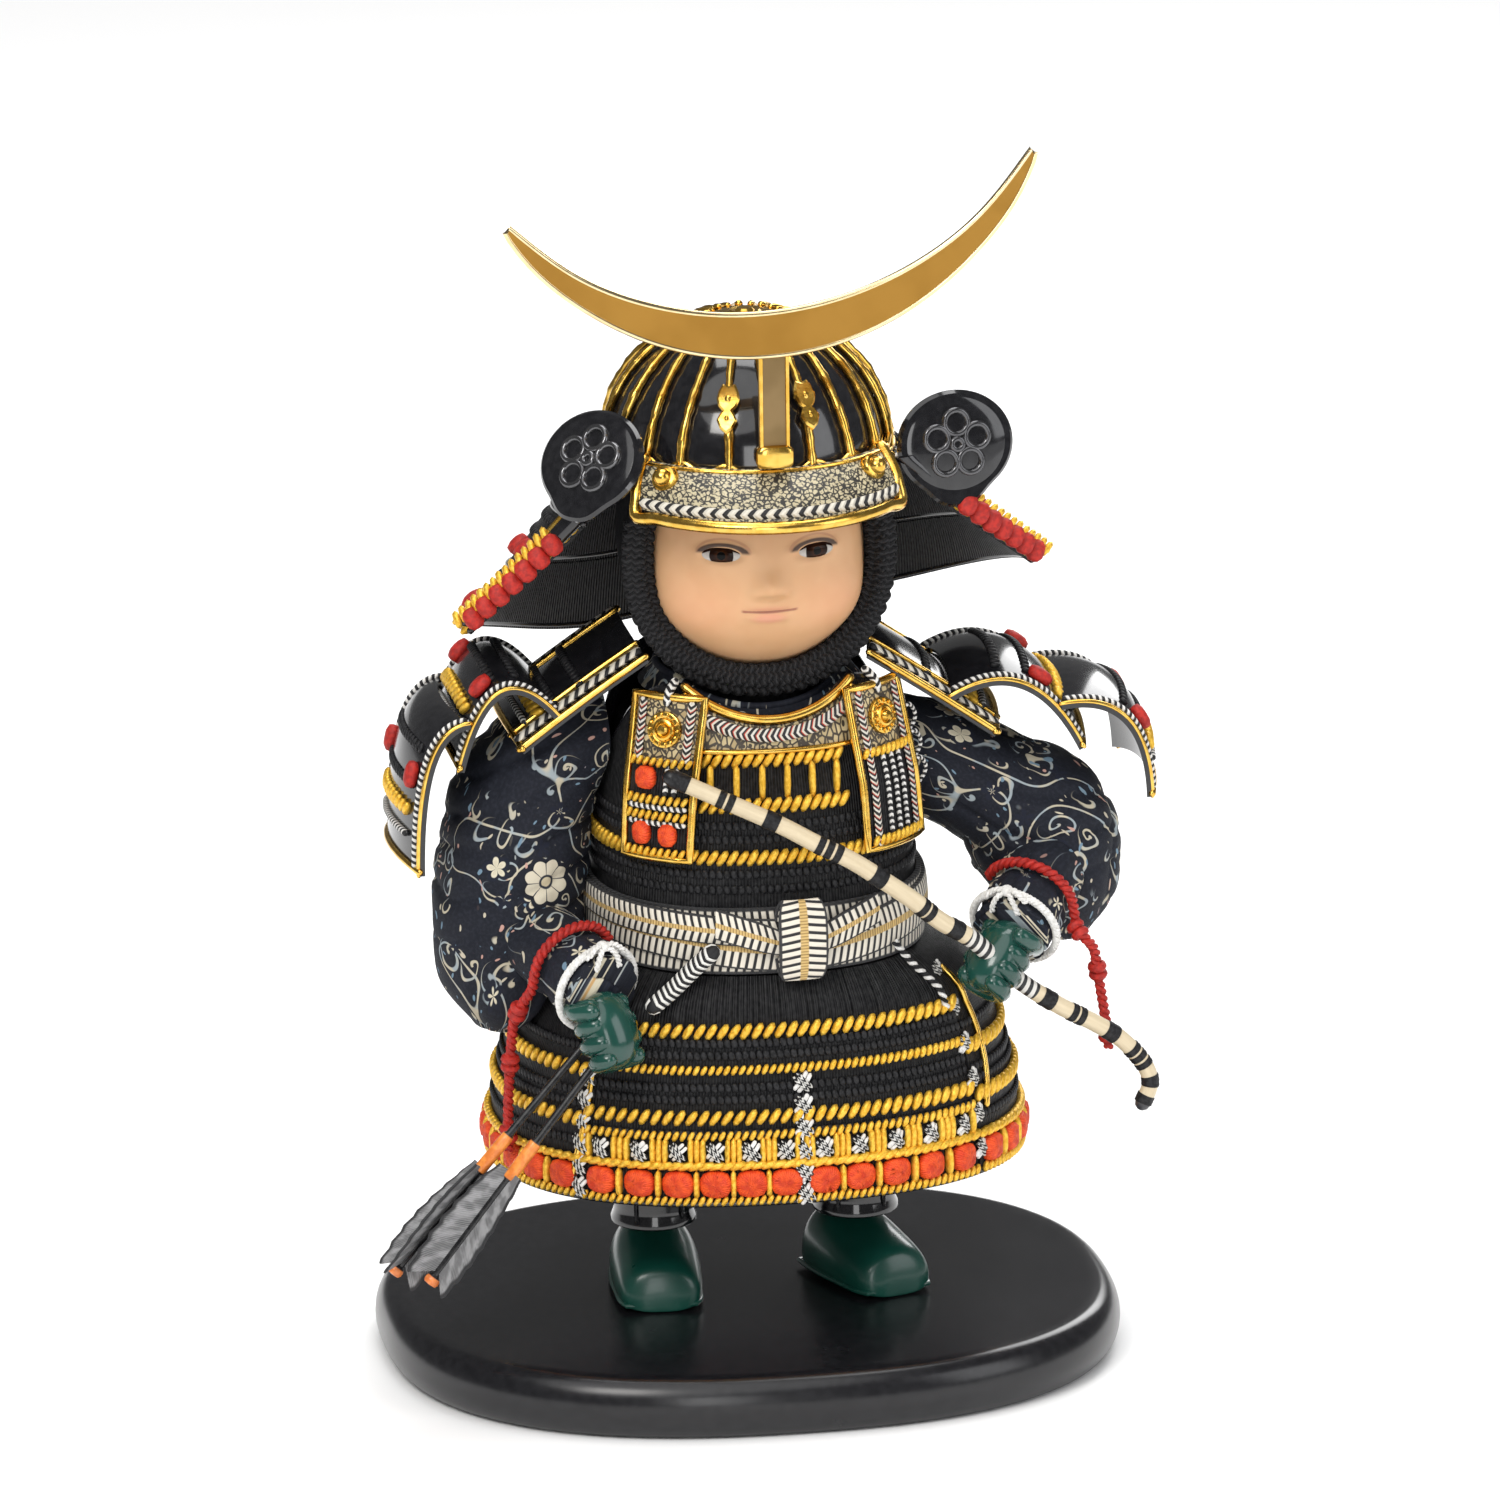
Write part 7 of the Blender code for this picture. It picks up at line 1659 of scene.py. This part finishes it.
def makeCrest():
    values = helmetSet["crest"]
    half, rise, width = values["span"] / 2, values["rise"], values["width"]

    def arc(x, height):
        radius = (half ** 2 + height ** 2) / (2 * height)
        return radius - sqrt(radius ** 2 - x ** 2)
    across = trace(64, lambda k: half * (2 * k - 1))
    full = [1.9 * exp(-((half - abs(x)) / 14) ** 2) for x in across]
    outer = [(x * 0.985, arc(x, rise) - f) for x, f in zip(across, full)]
    inner = [(x * 0.985, width + arc(x, rise - width) + f) for x, f in zip(across[::-1], full[::-1])]
    outline = outer + [(half * 0.998, rise + 0.6)] + inner + [(-half * 0.998, rise + 0.6)]
    upright = Matrix.Rotation(radians(90), 4, "X")
    place = (Matrix.Translation((4.3, -52.7, helmet + 39.8)) @ upright
             @ Matrix.Rotation(radians(values["tilt"]), 4, "Z"))
    crest = Shape().plate(outline, values["thick"], "satinGold", place, 0.35, "polished")
    crest.tube([place @ Vector((x, z, 0.0)) for x, z in outline], 0.95, "polished", 10, True)
    crest.make("crest_moon", "satin_gold", "crest")
    wide, tall = helmetSet["holder"]
    low = helmet + 6.5
    corners = [(x * wide / 2, y * tall / 2) for x, y in ((-1, -1), (1, -1), (1, 1), (-1, 1))]
    holder = Shape().plate(corners, 2.6, "holder", Matrix.Translation((0, -50.3, low + tall / 2)) @ upright, 0.4)
    for x in (-wide / 2 + 0.5, wide / 2 - 0.5):
        holder.tube(trace(12, lambda k: Vector((x, -51.7, low + 0.6 + (tall - 1) * k))), 0.62, "gilt", 8)
    holder.blob((wide / 2 + 1.1, 2.4, 3.4), "gilt", Matrix.Translation((0, -51.0, low + 2.6)), 5, 28, 12)
    holder.blob((wide / 2 - 0.6, 2.6, 2.2), "gilt", Matrix.Translation((0, -48.0, low + 2.2)), 5, 20, 10)
    holder.make("crest_bar", "satin_gold", "crest_holder")


def makeNeckGuard():
    teeth, black, red, knots, rims, gilt = Rows(), Rows(), Rows(), Rows(), Shape(), Shape()
    for row in range(3):
        high, low = row / 3, row / 3 + 1 / 3 - 0.007

        def spot(s, t, out):
            share = low + (high - low) * t
            first = 60 + 26 * share
            here = neckGuardEdge(first + (360 - 2 * first) * s, share)
            return here + Vector((here.x, here.y, 0)).normalized() * out * 0.6 + Vector((0, 0, out * 0.7))
        plate = Shape().sheet(spot, 110, 8, 1.8, "threads")
        plate.make("neck_row_%d" % (row + 1), "laced_plates", "neck_guard_row_%d" % (row + 1))
        rims.tube(trace(110, lambda k: spot(k, 0.04, -0.5)), 1.25, "plate")
        for t in (0.35, 0.62, 0.88):
            black.along(lambda k, out: spot(0.02 + 0.96 * k, t, out), 110)
        for s in (0.006, 0.994):
            gilt.tube(trace(8, lambda t: spot(s, t, -0.3)), 1.1, "gilt")
        for t in (0.06, 0.5) if row == 2 else ():
            teeth.along(lambda k, out: spot(0.01 + 0.98 * k, t, out + 0.8), 110)
        for k, sign in ((0.016, 1), (0.984, -1)):
            if row:
                reach = sign * (0.10 if row == 2 else 0.06)
                red.along(lambda s, out: spot(k + reach * s, 0.34, out + 2.0), 12)
                teeth.along(lambda q, out: spot(0.5 - 0.497 * sign, 0.04 + 0.9 * q, out + 0.4), 8)
            for t in (0.22, 0.78):
                knots.single(spot(k, 0.62 + 0.3 * t, 0.9), (spot(k, t, 1.6) - spot(k, t, 0.6)).normalized())
    rims.make("neck_rims", "black_lacquer")
    gilt.make("neck_gilt", "gilt")
    teeth.make("neck_gold_rows", "gold", 3.1, -62, seed=31)
    black.make("neck_black_rows", "black", 2.6, 14, seed=32)
    red.make("neck_red", "red", 5.4, 0, seed=33)
    makeKnots(knots, "neck_knots", 34)


# places: centre, turn and lean of each disc
flapSet = dict(half=(17.5, 15.5), blossom=3.5, places={-1: ((-48.7, -25, helmet + 3.5), -46, -32),
                                                       1: ((57.5, -22.7, helmet + 2.4), 8, -8)},
               dome=((0, 2.5), (4, 2.4), (8, 2.1), (11, 1.75), (13, 1.4), (14, 1.0), (14.2, 0.4), (0, 0.4)))


def makeFlap(side):
    centre, turn, lean = flapSet["places"][side]
    place = (Matrix.Translation(centre) @ Matrix.Rotation(radians(turn), 4, "Z")
             @ Matrix.Rotation(radians(90 + lean), 4, "X"))
    outline = []
    for angle in trace(72, lambda k: 2 * pi * k)[:-1]:
        drop = 3.0 * exp(-((angle - 1.5 * pi) / 0.5) ** 4)
        outline.append((flapSet["half"][0] * cos(angle), flapSet["half"][1] * sin(angle) - drop))
    flap = Shape().plate(outline, 2.4, "lacquer", place, 0.9)
    # a slightly domed face
    flap.lathe(flapSet["dome"], "lacquer", 64, place @ Matrix.Diagonal((1.1, 1, 1, 1)))
    petal = flapSet["blossom"]
    rings = [(petal, spot) for spot in circle(petal * 1.82, 5, 2.2, radians(18))] + [(1.6, Vector((0, 0, 2.5)))]
    for radius, spot in rings:
        flap.tube([place @ (spot + p) for p in circle(radius, 28)], 0.95, "ring", 10, True)
    flap.make("flap_disc_" + armTag[side], "black_lacquer", "flap_" + armTag[side])

    # the turned-back edge of the neck guard below the disc
    def spot(s, t, out):
        share = 0.02 + 0.93 * s
        width = 7.6 * (1 - 0.22 * s) * t ** 0.8
        curl = Vector((side * sin(1.9 * t), -cos(1.9 * t) * 0.9 - 0.1, 0.15)) * width
        return neckGuardEdge(side * (60 + 26 * share), share) + curl + Vector((0, -0.6 - out * 0.8, out * 0.5))
    Shape().sheet(spot, 30, 10, 1.2, "lacquer").make("turned_edge_" + armTag[side], "black_lacquer")
    rim = Shape().tube(trace(30, lambda k: spot(k, 1.0, -0.4)), 0.85, "gilt", 8)
    rim.make("turned_rim_" + armTag[side], "gilt")
    red, teeth = Rows(), Rows()
    red.along(lambda k, out: spot(0.46 + 0.5 * k, 0.5, out + 1.2), 12)
    teeth.along(lambda k, out: spot(0.42 + 0.57 * k, 0.97, out + 0.8), 12)
    red.make("turned_red_" + armTag[side], "red", 4.9, 0, seed=35)
    teeth.make("turned_teeth_" + armTag[side], "gold", 2.6, -20, seed=36)


makeBowl()
makeVisor()
makeCrest()
makeNeckGuard()
for side in (-1, 1):
    makeFlap(side)
print("helmet")


# bow and arrows
def makeBow():
    bow = Shape().tube(bowRoute, lambda share: 2.7 - 0.5 * abs(share - 0.5), "bow", 20)
    for middle, half in bowSet["bands"]:
        # wound bindings stand a little proud
        low, high = max(0.0, (middle - half) / bowLength), min(1.0, (middle + half) / bowLength)
        route = trace(6, lambda k: splineAt(bowRoute, 99 * (low + (high - low) * k)))
        bow.tube(route, 2.85 - 0.5 * abs((low + high) / 2 - 0.5), "blackThread", 16, rounded=False,
                 bump=lambda u, v: 0.12 * abs(sin(u * 3)))
    bow.make("bow_stave", "bamboo", "bow")


# profile: radius and share of the length; lines: head and nock of each arrow
arrowSet = dict(vane=(36, 8.5, 0.6), lines=(((-50.5, -55.0, -8.0), (-115.9, -59.0, -81.4)),
                                            ((-45.5, -58.0, -9.0), (-106.0, -64.0, -83.5))),
                profile=((0.002, 0.0), (0.9, 0.0), (1.2, 0.006), (1.2, 0.46), (1.75, 0.468), (1.9, 0.475), (1.9, 0.595),
                         (1.75, 0.602), (1.2, 0.61), (1.2, 0.965), (1.9, 0.972), (2.25, 0.98), (2.3, 0.99),
                         (1.9, 0.998), (0.8, 1.0), (0.002, 0.999)))


def makeArrow(index):
    head, nock = (Vector((x, y, waist + z)) for x, y, z in arrowSet["lines"][index])
    span = (nock - head).length
    place = Matrix.Translation(head) @ (head - nock).to_track_quat("Z", "Y").to_matrix().to_4x4()
    shaft, (vaneLong, vaneHigh, vaneThick) = Shape(), arrowSet["vane"]
    shaft.lattice([[place @ p for p in circle(r, 20, -span * s)] for r, s in arrowSet["profile"]],
                  [[(s, k / 20) for k in range(21)] for r, s in arrowSet["profile"]], "shaft", True, True)
    for k in range(3):
        angle = radians(120 * k + 20 + 60 * index)
        way, flat = Vector((cos(angle), sin(angle), 0)), Vector((-sin(angle), cos(angle), 0))

        def spot(s, t, out):
            # ragged outer edge, raked back, slightly curled
            notch = (s * 7) % 1
            reach = vaneHigh * sin(pi * min(1, 0.12 + (1 - s) * 0.62)) ** 0.7 * (1 - abs(notch - 0.35) * 0.16) * t
            along = vaneLong * s - (5 * (1 - s) + 0.88 * sin(pi * notch)) * t
            curl = 0.5 * sin(s * 5 + k) * t * t
            return place @ (way * (0.9 + reach) + flat * (curl + out + 0.3) + Vector((0, 0, along - span * 0.955)))
        shaft.sheet(spot, 84, 5, vaneThick, "feather", unitV=True)
    shaft.make("arrow_body_%d" % (index + 1), "arrow_shaft", "arrow_%d" % (index + 1))


makeBow()
for index in (0, 1):
    makeArrow(index)
print("bow and arrows")

# floor and sky
for made in shapes.values():
    bpy.data.objects.remove(made, do_unlink=True)
floorMesh = bpy.data.meshes.new("floor")
floorMesh.from_pydata([(-6, -6, 0), (6, -6, 0), (6, 6, 0), (-6, 6, 0)], [], [(0, 1, 2, 3)])
floorMesh.materials.append(paint["floor"])
placed("floor", floorMesh)
scene.world = bpy.data.worlds.new("studio")
scene.world.use_nodes = True
sky = scene.world.node_tree
background = sky.nodes["Background"]
background.inputs["Color"].default_value = (1, 1, 1, 1)
seen, glossy = (wire(sky, "ShaderNodeLightPath", output=name) for name in ("Is Camera Ray", "Is Glossy Ray"))
sky.links.new((glossy * -0.36 + (seen * 0.5 + 0.5)).socket, background.inputs["Strength"])
scene.view_settings.view_transform = "Standard"
